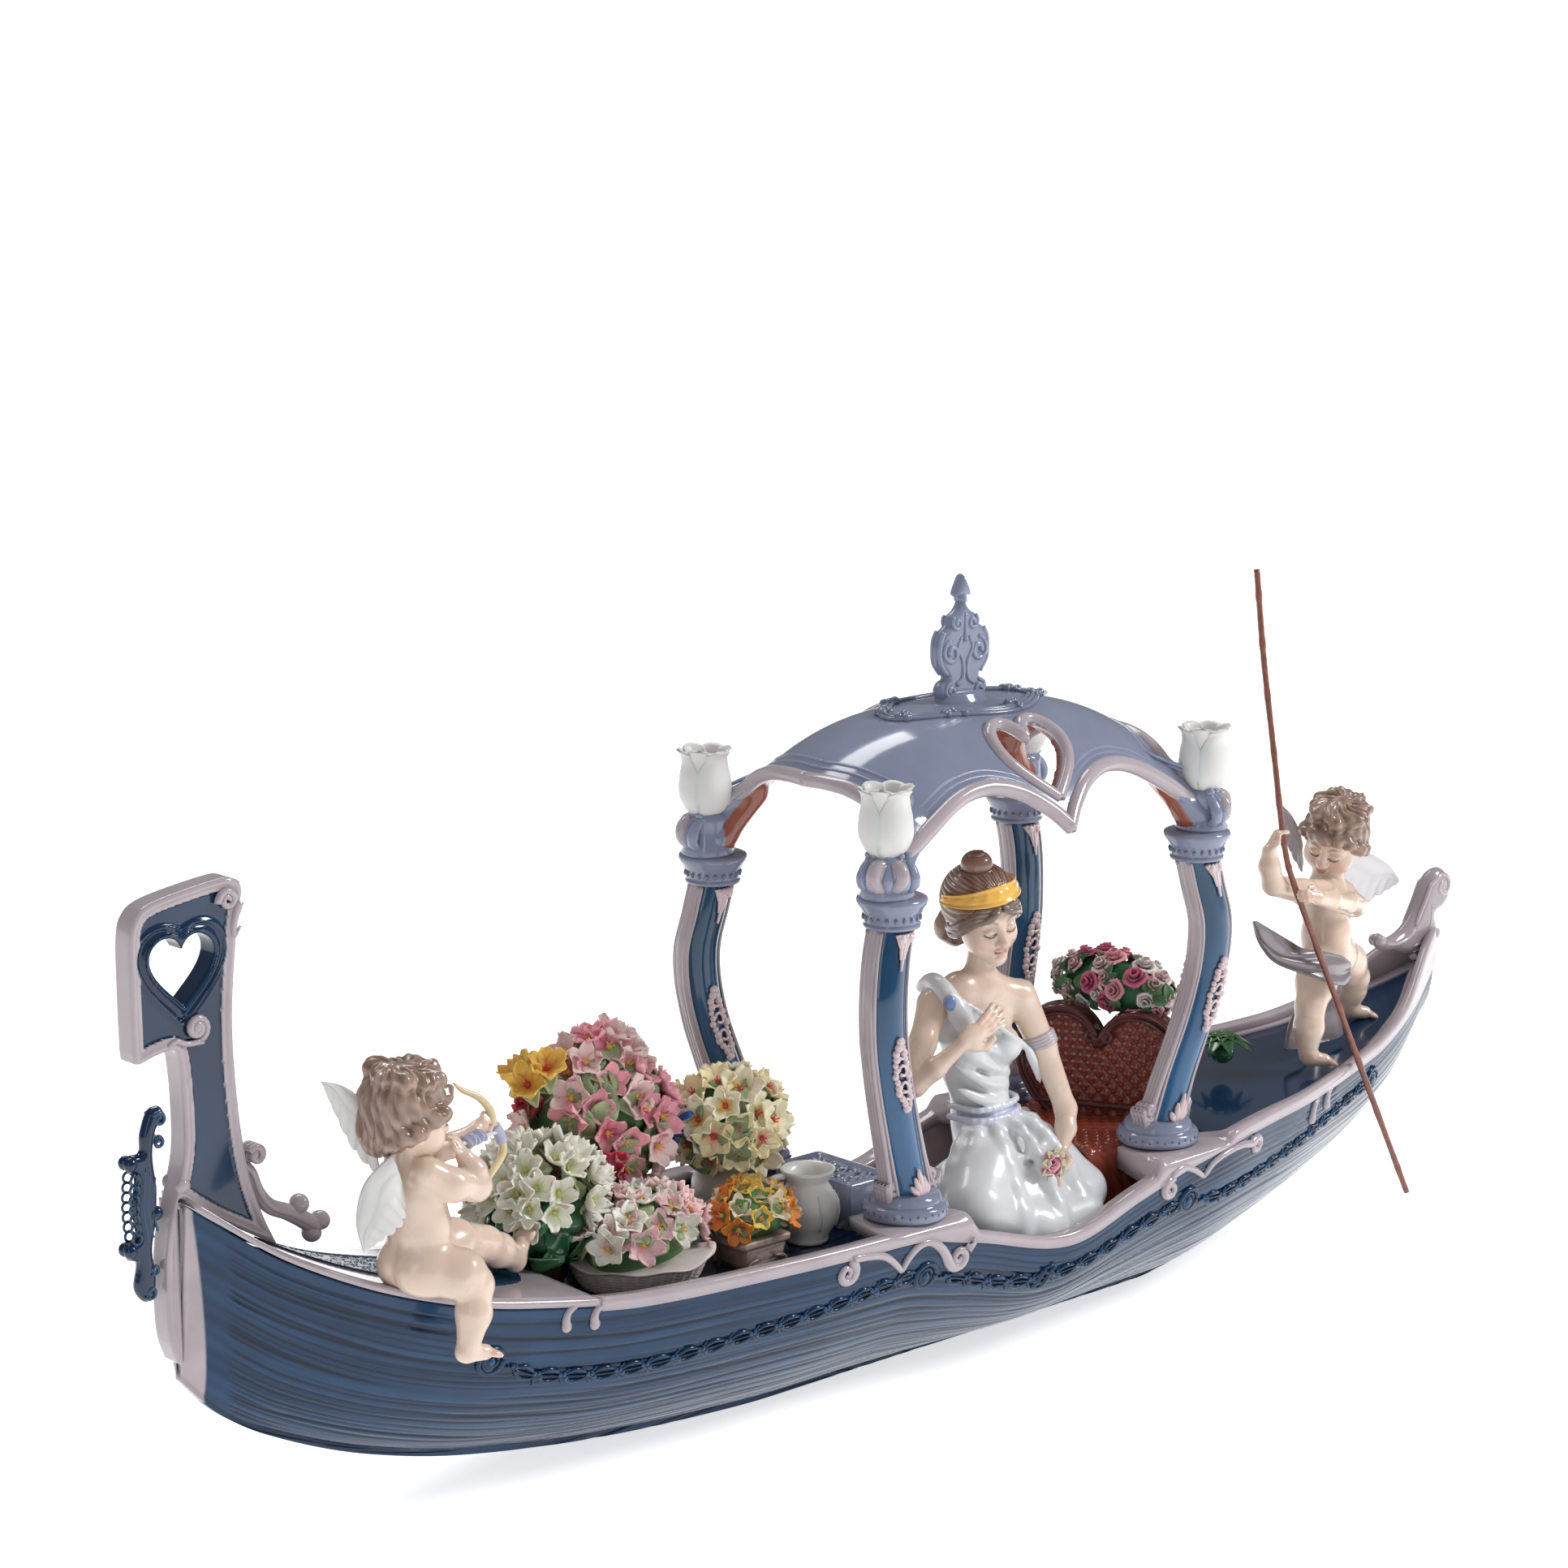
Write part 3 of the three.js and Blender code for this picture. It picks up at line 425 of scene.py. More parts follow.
# ---- hull -----------------------------------------------------------------------------------
BOW_X, STERN_X, WALL, GAP, DECK_T = -437.0, 352.0, 5.0, 0.35, 4.0
half_breadth = fair([[-440, 8], [-400, 28], [-345, 43], [-280, 51], [-210, 63], [-130, 70],
                     [-50, 71], [40, 76], [100, 77], [160, 67], [230, 48], [300, 28], [352, 6]])
sheer = fair([[-440, 157], [-400, 127], [-350, 104], [-300, 90], [-240, 82], [-160, 81], [-100, 80],
              [-60, 72], [0, 58], [45, 70], [85, 80], [130, 86], [200, 87], [260, 91], [310, 103],
              [352, 119]])
keel = fair([[-440, 84], [-420, 63], [-400, 50], [-350, 29], [-300, 16], [-240, 7], [-180, 2],
             [-130, 0], [110, 0], [180, 12], [240, 27], [300, 52], [352, 94]])
CARGO_Z, CABIN_Z = 71.0, 50.0
DECK_END_X, STERN_DECK_X = -264.0, 112.0


def fullness(w):
    w = np.clip(w, 0, 1)
    return np.maximum(0.2, np.sqrt(np.maximum(1 - (1 - w ** 1.45) ** 2, 0)) ** 0.77)


def on_hull(x, z, side=-1, proud=0.0):
    """A point on the hull's skin at x and height z, or standing proud of it."""
    x, z = np.broadcast_arrays(np.asarray(x, float), np.asarray(z, float))
    w = (z - keel(x)) / (sheer(x) - keel(x))
    return np.stack([x, side * (half_breadth(x) * fullness(w) + proud), z], -1)


def grain_lines(x, s, seed):
    """Brushed plank lines: 0 on the skin, 1 at the bottom of a groove, at s millimetres below the sheer."""
    depth = np.zeros_like(x)
    for pitch, wave, sharp, strength in ((3.1, 0.9, 0.16, 0.75), (4.7, 1.5, 0.12, 0.9),
                                         (14.0, 2.0, 0.05, 1.3)):
        drift = wave * np.sin(x * 0.013 + seed + pitch) + 0.5 * np.sin(x * 0.041 + 2 * seed + s * 0.11)
        phase = (s + drift) / pitch
        line = np.round(phase)
        near = np.abs(phase - line)
        fade = 0.5 + 0.5 * np.sin(x * (0.021 + 0.004 * np.sin(line * 5.1)) + line * 2.4 + seed)
        depth += strength * np.exp(-(near / sharp) ** 2) * smoothstep(fade, 0.15, 0.6)
    return np.clip(depth, 0, 1.6)


def hull():
    rows = 150
    x = np.concatenate([np.linspace(BOW_X, BOW_X + 60, 120), np.linspace(BOW_X + 60, STERN_X, 320)[1:]])
    w = np.linspace(0, 1, rows) ** 1.5
    piece = Piece()
    sides = []
    for side in (-1, 1):
        X, W = np.meshgrid(x, w, indexing="ij")
        Z = keel(X) + W * (sheer(X) - keel(X))
        P = np.stack([X, side * half_breadth(X) * fullness(W), Z], -1)
        girth = np.cumsum(np.linalg.norm(np.diff(P[:, ::-1], axis=1, prepend=P[:, -1:]), axis=2),
                          axis=1)[:, ::-1]
        stem = 12.0 + 2.0 * np.sin(Z * 0.05)
        from_stem = X - BOW_X - 0.10 * np.maximum(0, 150 - Z)
        engraved = smoothstep(from_stem, stem - 2, stem + 3) * smoothstep(girth, 3.0, 6.0)
        groove = grain_lines(X, girth, 1.7 * side) * engraved
        normal = np.cross(np.gradient(P, axis=0), np.gradient(P, axis=1))
        normal *= side / (np.linalg.norm(normal, axis=-1, keepdims=True) + 1e-9)
        normal = np.where((normal[..., 1:2] * side) < 0, -normal, normal)
        P = P - 0.38 * groove[..., None] * normal
        # Lighter navy streaks are a painted highlight, and the engraved grooves are painted darker as painted
        # shade.
        tone = 0.35 + 0.25 * np.sin(X * 0.017 + girth * 0.31) + 0.2 * np.sin(X * 0.007 - girth * 0.9)
        colour = blend_colour(NAVY, NAVY_HIGHLIGHT, np.clip(tone + 0.25, 0, 1)
                              * (1 - 0.85 * np.clip(groove, 0, 1)))
        colour = blend_colour(colour, np.array(NAVY) * 0.35, np.clip(groove * 0.6, 0, 0.8))
        leading = (1 - smoothstep(from_stem, 1.6, 2.5))
        colour = blend_colour(colour, MAUVE, leading)
        sides.append((P, colour))
    outer = np.concatenate([sides[0][0][:, ::-1], sides[1][0][:, 1:]], axis=1)
    paint = np.concatenate([sides[0][1][:, ::-1], sides[1][1][:, 1:]], axis=1)
    inner_rows = 24
    X, W = np.meshgrid(x, np.linspace(0, 1, inner_rows), indexing="ij")
    Z = np.minimum(keel(X) + WALL + 2, sheer(X) - 1) * (1 - W) + W * sheer(X)
    share = (Z - keel(X)) / (sheer(X) - keel(X))
    wide = np.maximum(half_breadth(X) * fullness(share) - WALL, 0.4)
    inner_far = np.stack([X, wide, Z], -1)[:, ::-1]
    inner_near = np.stack([X, -wide, Z], -1)
    inner = np.concatenate([inner_far, inner_near], axis=1)
    in_cabin = smoothstep(X, -64, -60) * (1 - smoothstep(X, 110, 112))
    shade = blend_colour(np.array(NAVY) * 0.7, MAUVE, in_cabin)
    net = np.concatenate([outer, inner], axis=1)
    piece.grid(net, np.concatenate([paint, shade[:, ::-1], shade], axis=1), around=True, caps=True)
    piece.object("hull", GLOSS, "porcelain_navy", ["hull_shell"])


hull()


# ---- gunwale, decks and floors -----------------------------------------------------------
PLINTH_Z, PLINTH_R, COLUMN_X, COLUMN_Y = 85.0, 19.0, 84.0, 52.0


def platform(x):
    return np.maximum(0, np.maximum(1 - (np.abs(x + COLUMN_X) / 27) ** 3,
                                    1 - (np.abs(x - COLUMN_X) / 27) ** 3))


def rail_net(side, rows=9, stations=300):
    """Rounded strip that follows the sheer and widens under the column feet."""
    x = np.linspace(DECK_END_X + 0.4, 351, stations)
    wide = platform(x)
    low = sheer(x) + GAP
    high = low + DECK_T + (PLINTH_Z - GAP - low - DECK_T) * np.minimum(1, 2.4 * wide)
    high = high + 13.5 * smoothstep(x, 292, 349)
    out = np.maximum(half_breadth(x) + 1.5, wide * (COLUMN_Y + PLINTH_R + 1))
    inner = half_breadth(x) + 1.5 - (9 - 2.5 * smoothstep(x, 130, 200)) - 30 * np.minimum(1, 1.4 * wide)
    inner = np.maximum(inner, 0.3)
    turn = np.linspace(0, math.pi, rows)
    across = np.sign(np.cos(turn)) * np.abs(np.cos(turn)) ** 0.35
    rise = np.abs(np.sin(turn)) ** 0.35
    middle, half = (out + inner) / 2, (out - inner) / 2
    y = side * (middle[:, None] + half[:, None] * across)
    z = (low[:, None] - 1.2) + (high - low + 1.2)[:, None] * rise
    lip = 0.9 * np.exp(-((across - 0.72) / 0.16) ** 2) * rise
    return np.stack([np.repeat(x[:, None], rows, 1), y, z + lip - 0.5], -1)


for place, side in (("near", -1), ("far", 1)):
    rail = Piece()
    rail.grid(rail_net(side), MAUVE, around=True, caps=True)
    rail.object("gunwale_" + place, SMOOTH, "porcelain_mauve", ["gunwale_rail_" + place])


# Name, side along x and side along y of each column.
PLACES = [("bow_near", -1, -1), ("bow_far", -1, 1), ("stern_near", 1, -1), ("stern_far", 1, 1)]


# ---- plates, volutes and thin sheets ----------------------------------------------------------
def polygon_distance(px, pz, outline):
    """Signed distance to a closed outline, negative inside."""
    outline = np.asarray(outline, float)
    best = np.full(px.shape, 1e9)
    inside = np.zeros(px.shape, bool)
    for (ax, az), (bx, bz) in zip(outline, np.roll(outline, -1, axis=0)):
        dx, dz = bx - ax, bz - az
        t = np.clip(((px - ax) * dx + (pz - az) * dz) / (dx * dx + dz * dz + 1e-12), 0, 1)
        best = np.minimum(best, (px - ax - t * dx) ** 2 + (pz - az - t * dz) ** 2)
        crosses = ((az > pz) != (bz > pz)) & (px < (bx - ax) * (pz - az) / (bz - az + 1e-12) + ax)
        inside ^= crosses
    return np.sqrt(best) * np.where(inside, -1, 1)


def heart(cx, cz, width, height, count=80):
    """A heart outline, point at the bottom."""
    w = width / 2
    curves = [((0, -0.5), (-0.35, -0.3), (-1, -0.05), (-1, 0.22)),
              ((-1, 0.22), (-1, 0.5), (-0.2, 0.62), (0, 0.3)),
              ((0, 0.3), (0.2, 0.62), (1, 0.5), (1, 0.22)), ((1, 0.22), (1, -0.05), (0.35, -0.3), (0, -0.5))]
    out = []
    for a, b, c, d in curves:
        t = np.linspace(0, 1, count // 4, endpoint=False)[:, None]
        a, b, c, d = (np.array(q) for q in (a, b, c, d))
        out.append((1 - t) ** 3 * a + 3 * t * (1 - t) ** 2 * b + 3 * t * t * (1 - t) * c + t ** 3 * d)
    return np.concatenate(out) * (w, height) + (cx, cz)


def plate(outline, half, step=0.6, holes=(), middle=0.0, thickest=8.0, rounded=0.8):
    """A standing plate in X and Z whose half thickness is half(depth inside the edge, x, z).
    Returns its points, faces and each point's depth inside the edge."""
    outline = np.asarray(outline, float)
    low = (outline[:, 0].min() - 2, -thickest, outline[:, 1].min() - 2)
    high = (outline[:, 0].max() + 2, thickest, outline[:, 1].max() + 2)
    clay = Clay(low, high, step)
    x = clay.low[0] + step * np.arange(clay.size[0])
    z = clay.low[2] + step * np.arange(clay.size[2])
    X, Z = np.meshgrid(x, z, indexing="ij")
    edge = polygon_distance(X, Z, outline)
    for hole in holes:
        edge = np.maximum(edge, -polygon_distance(X, Z, hole))
    y = clay.low[1] + step * np.arange(clay.size[1])
    face = np.abs(y)[None, :, None] - half(-edge, X, Z)[:, None, :]
    side = np.repeat(edge[:, None, :], len(y), 1)
    mix = np.maximum(rounded - np.abs(face - side), 0) / rounded
    clay.field = (np.maximum(face, side) + mix * mix * rounded * 0.25).astype(np.float32)
    points, faces = clay.mesh()
    near = np.clip(np.round((points[:, [0, 2]] - [clay.low[0], clay.low[2]]) / step).astype(int), 0,
                   [clay.size[0] - 1, clay.size[2] - 1])
    depth = -edge[near[:, 0], near[:, 1]]
    return points + (0, middle, 0), faces, depth


def spiral(centre, big, small, start, turns, count=26):
    """A volute in two dimensions, from its outside in; negative turns wind clockwise."""
    t = np.linspace(0, 1, count)
    angle = math.radians(start) + 2 * math.pi * turns * t
    radius = big + (small - big) * t ** 0.8
    return np.stack([centre[0] + radius * np.cos(angle), centre[1] + radius * np.sin(angle)], -1)


def lifted(path, y):
    """A two dimensional path in X and Z, stood at depth y."""
    path = np.asarray(path, float)
    return np.stack([path[:, 0], np.broadcast_to(np.asarray(y, float), (len(path),)), path[:, 1]], -1)


def sheet_net(net, thickness):
    """Closes a net of points into a thin sheet by going back along its other side."""
    net = np.asarray(net, float)
    normal = np.cross(np.gradient(net, axis=0), np.gradient(net, axis=1))
    normal /= np.linalg.norm(normal, axis=-1, keepdims=True) + 1e-9
    offset = normal * np.broadcast_to(np.asarray(thickness, float), net.shape[:2])[..., None] / 2
    return np.concatenate([net + offset, (net - offset)[:, ::-1]], axis=1)


# ---- bow and stern ornaments --------------------------------------------------------------------
POST = curve([[-406, 281], [-412, 282.5], [-430, 280.5], [-446, 277.5], [-453, 273], [-456, 264],
              [-456.3, 240],
              [-456, 219]], 40).tolist() + [[-455.5, 215], [-453, 214.6]] + curve(
    [[-446, 216.6], [-440, 217.5], [-436, 216], [-434.3, 205], [-433.6, 190], [-434, 175], [-437, 162],
     [-441, 149], [-443.5, 135], [-444.2, 115], [-443.3, 100], [-440, 90]], 50).tolist() + [
    [-437.6, 88], [-437.6, 156.6]] + curve(
    [[-436, 157], [-424, 147.6], [-409, 138.4], [-391, 127.8]], 16).tolist() + curve(
    [[-391.5, 129], [-398, 143], [-404, 162], [-408, 190], [-409.5, 225], [-406, 262], [-403.5, 275],
     [-404.2, 280]], 40).tolist()


def bow_post():
    hole = heart(-432, 248.5, 30, 28)
    recess = heart(-432, 247, 39, 38)

    def half(depth, x, z):
        from_hole = polygon_distance(x, z, hole)
        from_recess = polygon_distance(x, z, recess)
        rim = smoothstep(-depth, -5.4, -4.9)
        bead = 0.45 * np.sin(np.clip(depth, 0, 5) / 5 * 2 * math.pi - 0.6)
        thick = 3.9 + rim * (1.5 + bead)
        moat = smoothstep(from_recess, 1.2, -0.4) * (1 - smoothstep(from_hole, 2.2, 1.6))
        lip = np.exp(-((from_recess - 1.4) / 0.9) ** 2) + 0.8 * np.exp(-((from_hole - 1.4) / 0.9) ** 2)
        return thick - 1.3 * moat + 0.75 * lip * (1 - rim)
    points, faces, depth = plate(POST, half, step=0.55, holes=[hole])
    piece = Piece()
    from_hole = polygon_distance(points[:, 0], points[:, 2], hole)
    is_rim = smoothstep(-depth, -5.2, -5.0) * smoothstep(from_hole, 5.6, 6.0)
    # Slow streaks of lighter navy over the panel are a painted highlight.
    light = 0.35 + 0.3 * np.sin(points[:, 2] * 0.03 + points[:, 0] * 0.02)
    piece.add(points, faces, blend_colour(blend_colour(NAVY, NAVY_HIGHLIGHT, light), MAUVE, is_rim))
    for side in (-1, 1):
        y = side * 5.4
        corner = spiral((-410.5, 273.3), 4.6, 0.8, 190, -1.6)
        piece.tube(lifted(corner, y), np.linspace(1.7, 1.0, len(corner)), MAUVE, up=(0, 1, 0))
        leaf = curve([[-405, 272], [-407.5, 265], [-408, 258.5], [-404.8, 262]], 12)
        piece.tube(lifted(leaf, y), np.linspace(2.0, 0.6, 12), MAUVE, up=(0, 1, 0))
        foot = np.concatenate([curve([[-440, 219.5], [-436, 221], [-431.5, 219], [-424, 218.8]], 10),
                               spiral((-426.5, 224.6), 5.6, 0.9, -80, 1.7)])
        piece.tube(lifted(foot, y), np.linspace(1.1, 1.9, len(foot)), MAUVE, up=(0, 1, 0))
        piece.ball((-426.5, y, 224.6), (2.6, 1.6, 2.6), MAUVE)
        piece.ball((-435, y - side * 0.5, 157.5 + 4.2), (3.3, 2.0, 3.3), MAUVE)
        piece.ball((-434.6, y + side * 1.2, 146), (2.5, 1.8, 2.5), MAUVE)
    return piece


bow_post().object("bow_post_relief", SMOOTH, "porcelain_navy", ["bow_post"])


def pillow(depth, thick, width):
    """Half thickness that rises in a round from a plate's edge."""
    t = np.clip(depth / width, 0, 1)
    return thick * np.sqrt(np.maximum(1 - (1 - t) ** 2, 0.02))


def bow_comb():
    outline = curve([[-444.6, 163], [-446, 176], [-444.2, 186], [-440, 190], [-442, 195], [-447.2, 193.8],
                     [-451, 185], [-451.6, 178], [-456, 177.4], [-458, 172], [-454, 168], [-455.6, 156],
                     [-454.4, 144], [-459.6, 142], [-459, 136], [-454.6, 133], [-456, 123], [-452, 117],
                     [-448, 118.4], [-446.4, 126], [-447.6, 138], [-445.2, 150]], 150)
    piece = Piece()
    points, faces, _ = plate(outline, lambda d, x, z: pillow(d, 3.0, 3.0), step=0.5)
    piece.add(points, faces, NAVY)
    # The raised scrolls are painted in lighter navy than the plate, a painted highlight on the relief.
    for side in (-1, 1):
        y = side * 2.7
        for i in range(7):
            z = 144 + i * 4.0
            bulge = 2.2 * math.sin(math.pi * (i + 0.5) / 7)
            lobe = spiral((-455.2 - bulge * 0.5, z), 2.3, 2.0, 90, 0.97, 14)
            piece.tube(lifted(lobe, y), 0.62, NAVY_HIGHLIGHT, sides=6, up=(0, 1, 0))
        for shift in (0.0, 2.3, 4.6):
            arc = curve([[-450.6 + shift * 0.9, 172 - shift], [-451.6 + shift, 163], [-452.2 + shift, 156],
                         [-451.4 + shift, 149], [-450.2 + shift * 0.9, 141 + shift]], 22)
            piece.tube(lifted(arc, y), 0.62, NAVY_HIGHLIGHT, sides=6, up=(0, 1, 0))
        for centre, size, start, turns in (((-443.6, 190.2), 3.4, 150, -1.3), ((-444.4, 181), 2.6, 100, -1.2),
                                           ((-450, 121), 3.0, 200, 1.3), ((-448, 130), 2.2, 220, 1.2)):
            piece.tube(lifted(spiral(centre, size, 0.6, start, turns), y), 0.85, NAVY_HIGHLIGHT, sides=6,
                       up=(0, 1, 0))
        for x, z in ((-457, 174.4), (-458.2, 139.4), (-446, 152.5)):
            piece.ball((x, y * 0.7, z), (3.0, 2.6, 3.0), NAVY)
    return piece


bow_comb().object("bow_comb_relief", SMOOTH, "porcelain_navy", ["bow_comb"])


def bow_bracket():
    sweep = curve([[-404, 163], [-400, 159], [-396.6, 150], [-391, 143], [-383, 139], [-375, 134],
                   [-369, 129.5]], 30)
    piece = Piece()
    for y, size in ((0, 3.3), (-2.4, 1.6), (2.4, 1.6)):
        piece.tube(lifted(sweep, y), np.linspace(size * 0.8, size * 1.2, 30), MAUVE, sides=12)
    for y in (-2.6, 0, 2.6):
        piece.tube(lifted(spiral((-398.2, 166.3), 4.0, 1.0, 150, -1.15), y), 1.7, MAUVE)
    for x, z in ((-376.5, 141.0), (-366.4, 131.8), (-370.8, 127.6)):
        piece.ball((x, 0, z), (4.1, 4.6, 4.1), MAUVE, rows=12, sides=18)
    return piece


bow_bracket().object("bow_bracket_relief", SMOOTH, "porcelain_mauve", ["bow_bracket"])


def stern_scroll():
    outline = curve([[352.5, 113], [353.5, 125], [358.5, 129], [358, 136], [356.6, 142], [363, 145],
                     [367.4, 150], [368, 157], [364.5, 163.5], [359, 166.5], [352, 164.5], [346, 157],
                     [340, 146], [331, 138], [320, 135], [311.6, 138.4], [308, 134.6], [313.6, 128.8],
                     [324, 127], [334, 123.4], [344.6, 122.8], [350, 121.5]], 160)
    piece = Piece()
    points, faces, _ = plate(outline, lambda d, x, z: pillow(d, 4.8, 6.0), step=0.6)
    piece.add(points, faces, np.array(MAUVE) * 0.75)
    for side in (-1, 1):
        y = side * 4.2
        top = np.concatenate([curve([[338, 139], [345, 150], [350, 159]], 10),
                              spiral((359.6, 156.8), 7.4, 1.2, 150, -1.45)])
        piece.tube(lifted(top, y * 0.95), np.linspace(1.0, 1.8, len(top)), MAUVE, up=(0, 1, 0))
        piece.ball((359.6, y * 0.9, 156.8), (2.3, 1.8, 2.3), MAUVE)
        piece.tube(lifted(curve([[351, 148], [350, 138], [346, 130], [336, 128]], 14), y), 1.1, MAUVE,
                   up=(0, 1, 0))
        piece.ball((356.4, y * 0.7, 131.6), (3.0, 2.4, 3.0), MAUVE)
        piece.ball((311.4, y * 0.6, 134.6), (3.2, 2.6, 3.2), MAUVE)
        leaf = curve([[314, 133], [322, 131.4], [331, 132.6], [338, 137]], 12)
        piece.tube(lifted(leaf, y * 0.9), np.linspace(0.8, 1.7, 12), MAUVE, up=(0, 1, 0))
    return piece


stern_scroll().object("stern_scroll_relief", SMOOTH, "porcelain_mauve", ["stern_scroll"])


# ---- scrolls and garlands on the hull ------------------------------------------------------------
def relief_on_hull(piece, path, radius, colour, side, sides=8, proud=0.2):
    """A tube along a path of x and z, pressed onto the hull's skin."""
    path = np.asarray(path, float)
    points = on_hull(path[:, 0], path[:, 1], side, proud)
    out = unit((0.05, side, 0.25))
    piece.tube(points, radius, colour, sides=sides, up=out)


def hull_scrolls(side):
    piece = Piece()
    big = np.concatenate([spiral((-136.6, 73.0), 5.6, 1.2, 60, -1.5)[::-1],
                          curve([[-133.8, 79.5], [-124, 78.6], [-115, 76.4], [-108, 71.4], [-103, 66.5]],
                                14)])
    relief_on_hull(piece, big, np.concatenate([np.linspace(0.9, 2.4, 26), np.linspace(2.4, 1.4, 14)]), MAUVE,
                   side)
    right = np.concatenate([curve([[-103, 66.5], [-99, 72.6], [-93, 76.6], [-86, 76.6], [-79, 71.4],
                                   [-74.6, 65]], 16),
                            spiral((-68.4, 65.4), 5.6, 1.2, 200, 1.5)])
    relief_on_hull(piece, right, np.concatenate([np.linspace(1.4, 2.6, 16), np.linspace(2.6, 1.0, 26)]),
                   MAUVE, side)
    piece.tube(on_hull(np.array([-63.4, -60.6, -61.8]), np.array([68, 71, 72.2]), side, 0.4), 2.4, MAUVE)
    after = np.concatenate([spiral((66.2, 69.6), 5.2, 1.1, 80, 1.5)[::-1],
                            curve([[66.6, 76.4], [74, 78.8], [82, 76], [90, 70.8]], 12)])
    relief_on_hull(piece, after, np.concatenate([np.linspace(0.9, 2.4, 26), np.linspace(2.4, 1.3, 12)]),
                   MAUVE, side)
    last = np.concatenate([curve([[90, 70.8], [96, 76.4], [106, 79.6], [118, 80.6], [126, 79]], 14),
                           spiral((131.6, 77), 4.4, 1.0, 130, -1.4)])
    relief_on_hull(piece, last, np.concatenate([np.linspace(1.3, 2.2, 14), np.linspace(2.2, 0.9, 26)]), MAUVE,
                   side)
    for x, z, reach, lean in ((-279.4, 78.4, 8.5, 3.0), (-266.0, 77.0, 8.0, 2.6), (190.8, 74.8, 9.5, 3.2),
                              (206.5, 78.5, 7.5, 2.6)):
        drip = curve([[x + lean + 1.5, z + reach], [x + 0.8, z + reach * 0.75], [x - 0.4, z + 3], [x, z]], 12)
        relief_on_hull(piece, drip, np.linspace(1.2, 2.2, 12), MAUVE, side)
        spot = on_hull(x, z, side, 0.3)
        piece.ball(spot, (2.6, 1.7, 2.6), MAUVE)
    return piece


ROSETTES = ((-314.0, 70.0), (-87.0, 60.6), (82.0, 60.6), (262.0, 77.5))
SWAGS = (((-306, 66), (-290, 58), (-262, 52.3), (-232, 51.7), (-200, 53.8), (-160, 56.4), (-128, 59.6),
          (-96, 62)),
         ((-78, 58), (-60, 52.5), (-40, 46.2), (-18, 42.6), (0, 43.2), (22, 46.8), (48, 54), (73, 59)),
         ((91, 58), (112, 56.6), (138, 59.4), (165, 62.6), (195, 67), (225, 71.2), (252, 75.6)))


def garlands(side):
    """Laurel swags of paired leaves and berries between round rosettes."""
    piece = Piece()
    # Rosette rings, leaves and berries are painted in lighter navy than the swag line and hull, a painted
    # highlight on the raised relief.
    for x, z in ROSETTES:
        for ring, size in ((5.6, 1.3), (3.2, 0.9)):
            turn = np.linspace(0, 2 * math.pi, 25)
            relief_on_hull(piece, np.stack([x + ring * 1.05 * np.cos(turn), z + ring * np.sin(turn)], -1),
                           size, NAVY_HIGHLIGHT, side)
        piece.ball(on_hull(x, z, side, 0.4), (1.8, 1.6, 1.8), NAVY_HIGHLIGHT)
        piece.ball(on_hull(x, z, side, -0.8), (5.0, 1.6, 5.0), NAVY)
    for swag in SWAGS:
        path = curve(swag, 200)
        length = np.concatenate([[0], np.cumsum(np.linalg.norm(np.diff(path, axis=0), axis=1))])
        relief_on_hull(piece, path, 0.7, NAVY, side)
        count = int(length[-1] // 13)
        for i in range(count):
            at = (i + 0.3) * length[-1] / count
            k = int(np.searchsorted(length, at))
            k2 = min(k + 12, 199)
            p, q = path[k], path[k2]
            along = unit(q - p)
            across = np.array([-along[1], along[0]])
            for swing in (-1, 1):
                leaf = curve([p, p + along * 5 + across * 2.7 * swing, p + along * 9.5 + across * 2.2 * swing,
                              p + along * 13 + across * 0.6 * swing], 9)
                relief_on_hull(piece, leaf, np.array([0.5, 0.8, 1.05, 1.15, 1.1, 1.0, 0.8, 0.55, 0.3]),
                               NAVY_HIGHLIGHT, side, sides=6)
                relief_on_hull(piece, curve([p + along * 12, p + along * 14 + across * 2 * swing,
                                             p + along * 15.4 + across * 3.8 * swing], 5), 0.5, NAVY_HIGHLIGHT,
                               side, sides=6)
            for shift in (-1.6, 0.4, 2.0):
                spot = p + along * shift + across * (0.9 if shift < 1 else -0.8)
                piece.ball(on_hull(spot[0], spot[1], side, 0.9), (1.0, 1.0, 1.0), NAVY_HIGHLIGHT, rows=6, sides=8)
    for x in (-14.4, -9.2):
        band = np.array([[x + 1.4, 47.6], [x - 1.4, 38.0]])
        relief_on_hull(piece, curve(band, 6), 1.5, NAVY_HIGHLIGHT, side)
    frame_path = np.array([[-13.4, 47.4], [-7.2, 47.8], [-9.6, 38.4], [-15.8, 38.0], [-13.4, 47.4]])
    relief_on_hull(piece, curve(frame_path, 24), 0.8, NAVY_HIGHLIGHT, side)
    return piece


for place, side in (("near", -1), ("far", 1)):
    hull_scrolls(side).object("hull_scrolls_" + place, SMOOTH, "porcelain_mauve")
    garlands(side).object("garlands_" + place, GLOSS, "porcelain_navy")


# ---- heads ----------------------------------------------------------------------------------------
def axes_facing(facing, roll=0.0):
    """Columns right, forward and up of something that looks along facing; roll tips it to its right."""
    forward = unit(facing)
    right = unit(np.cross(forward, (0, 0, 1)))
    up = np.cross(right, forward)
    c, s = math.cos(roll), math.sin(roll)
    return np.stack([right * c - up * s, forward, up * c + right * s], -1)


def painted(points, base, spots):
    """Colours points: each spot is a centre, radii, colour and strength of a soft patch."""
    colour = np.tile(np.asarray(base, float), (len(points), 1))
    for centre, radii, tint, strength in spots:
        away = np.linalg.norm((points - centre) / radii, axis=1)
        colour = blend_colour(colour, tint, strength * (1 - smoothstep(away, 0.55, 1.0)))
    return colour


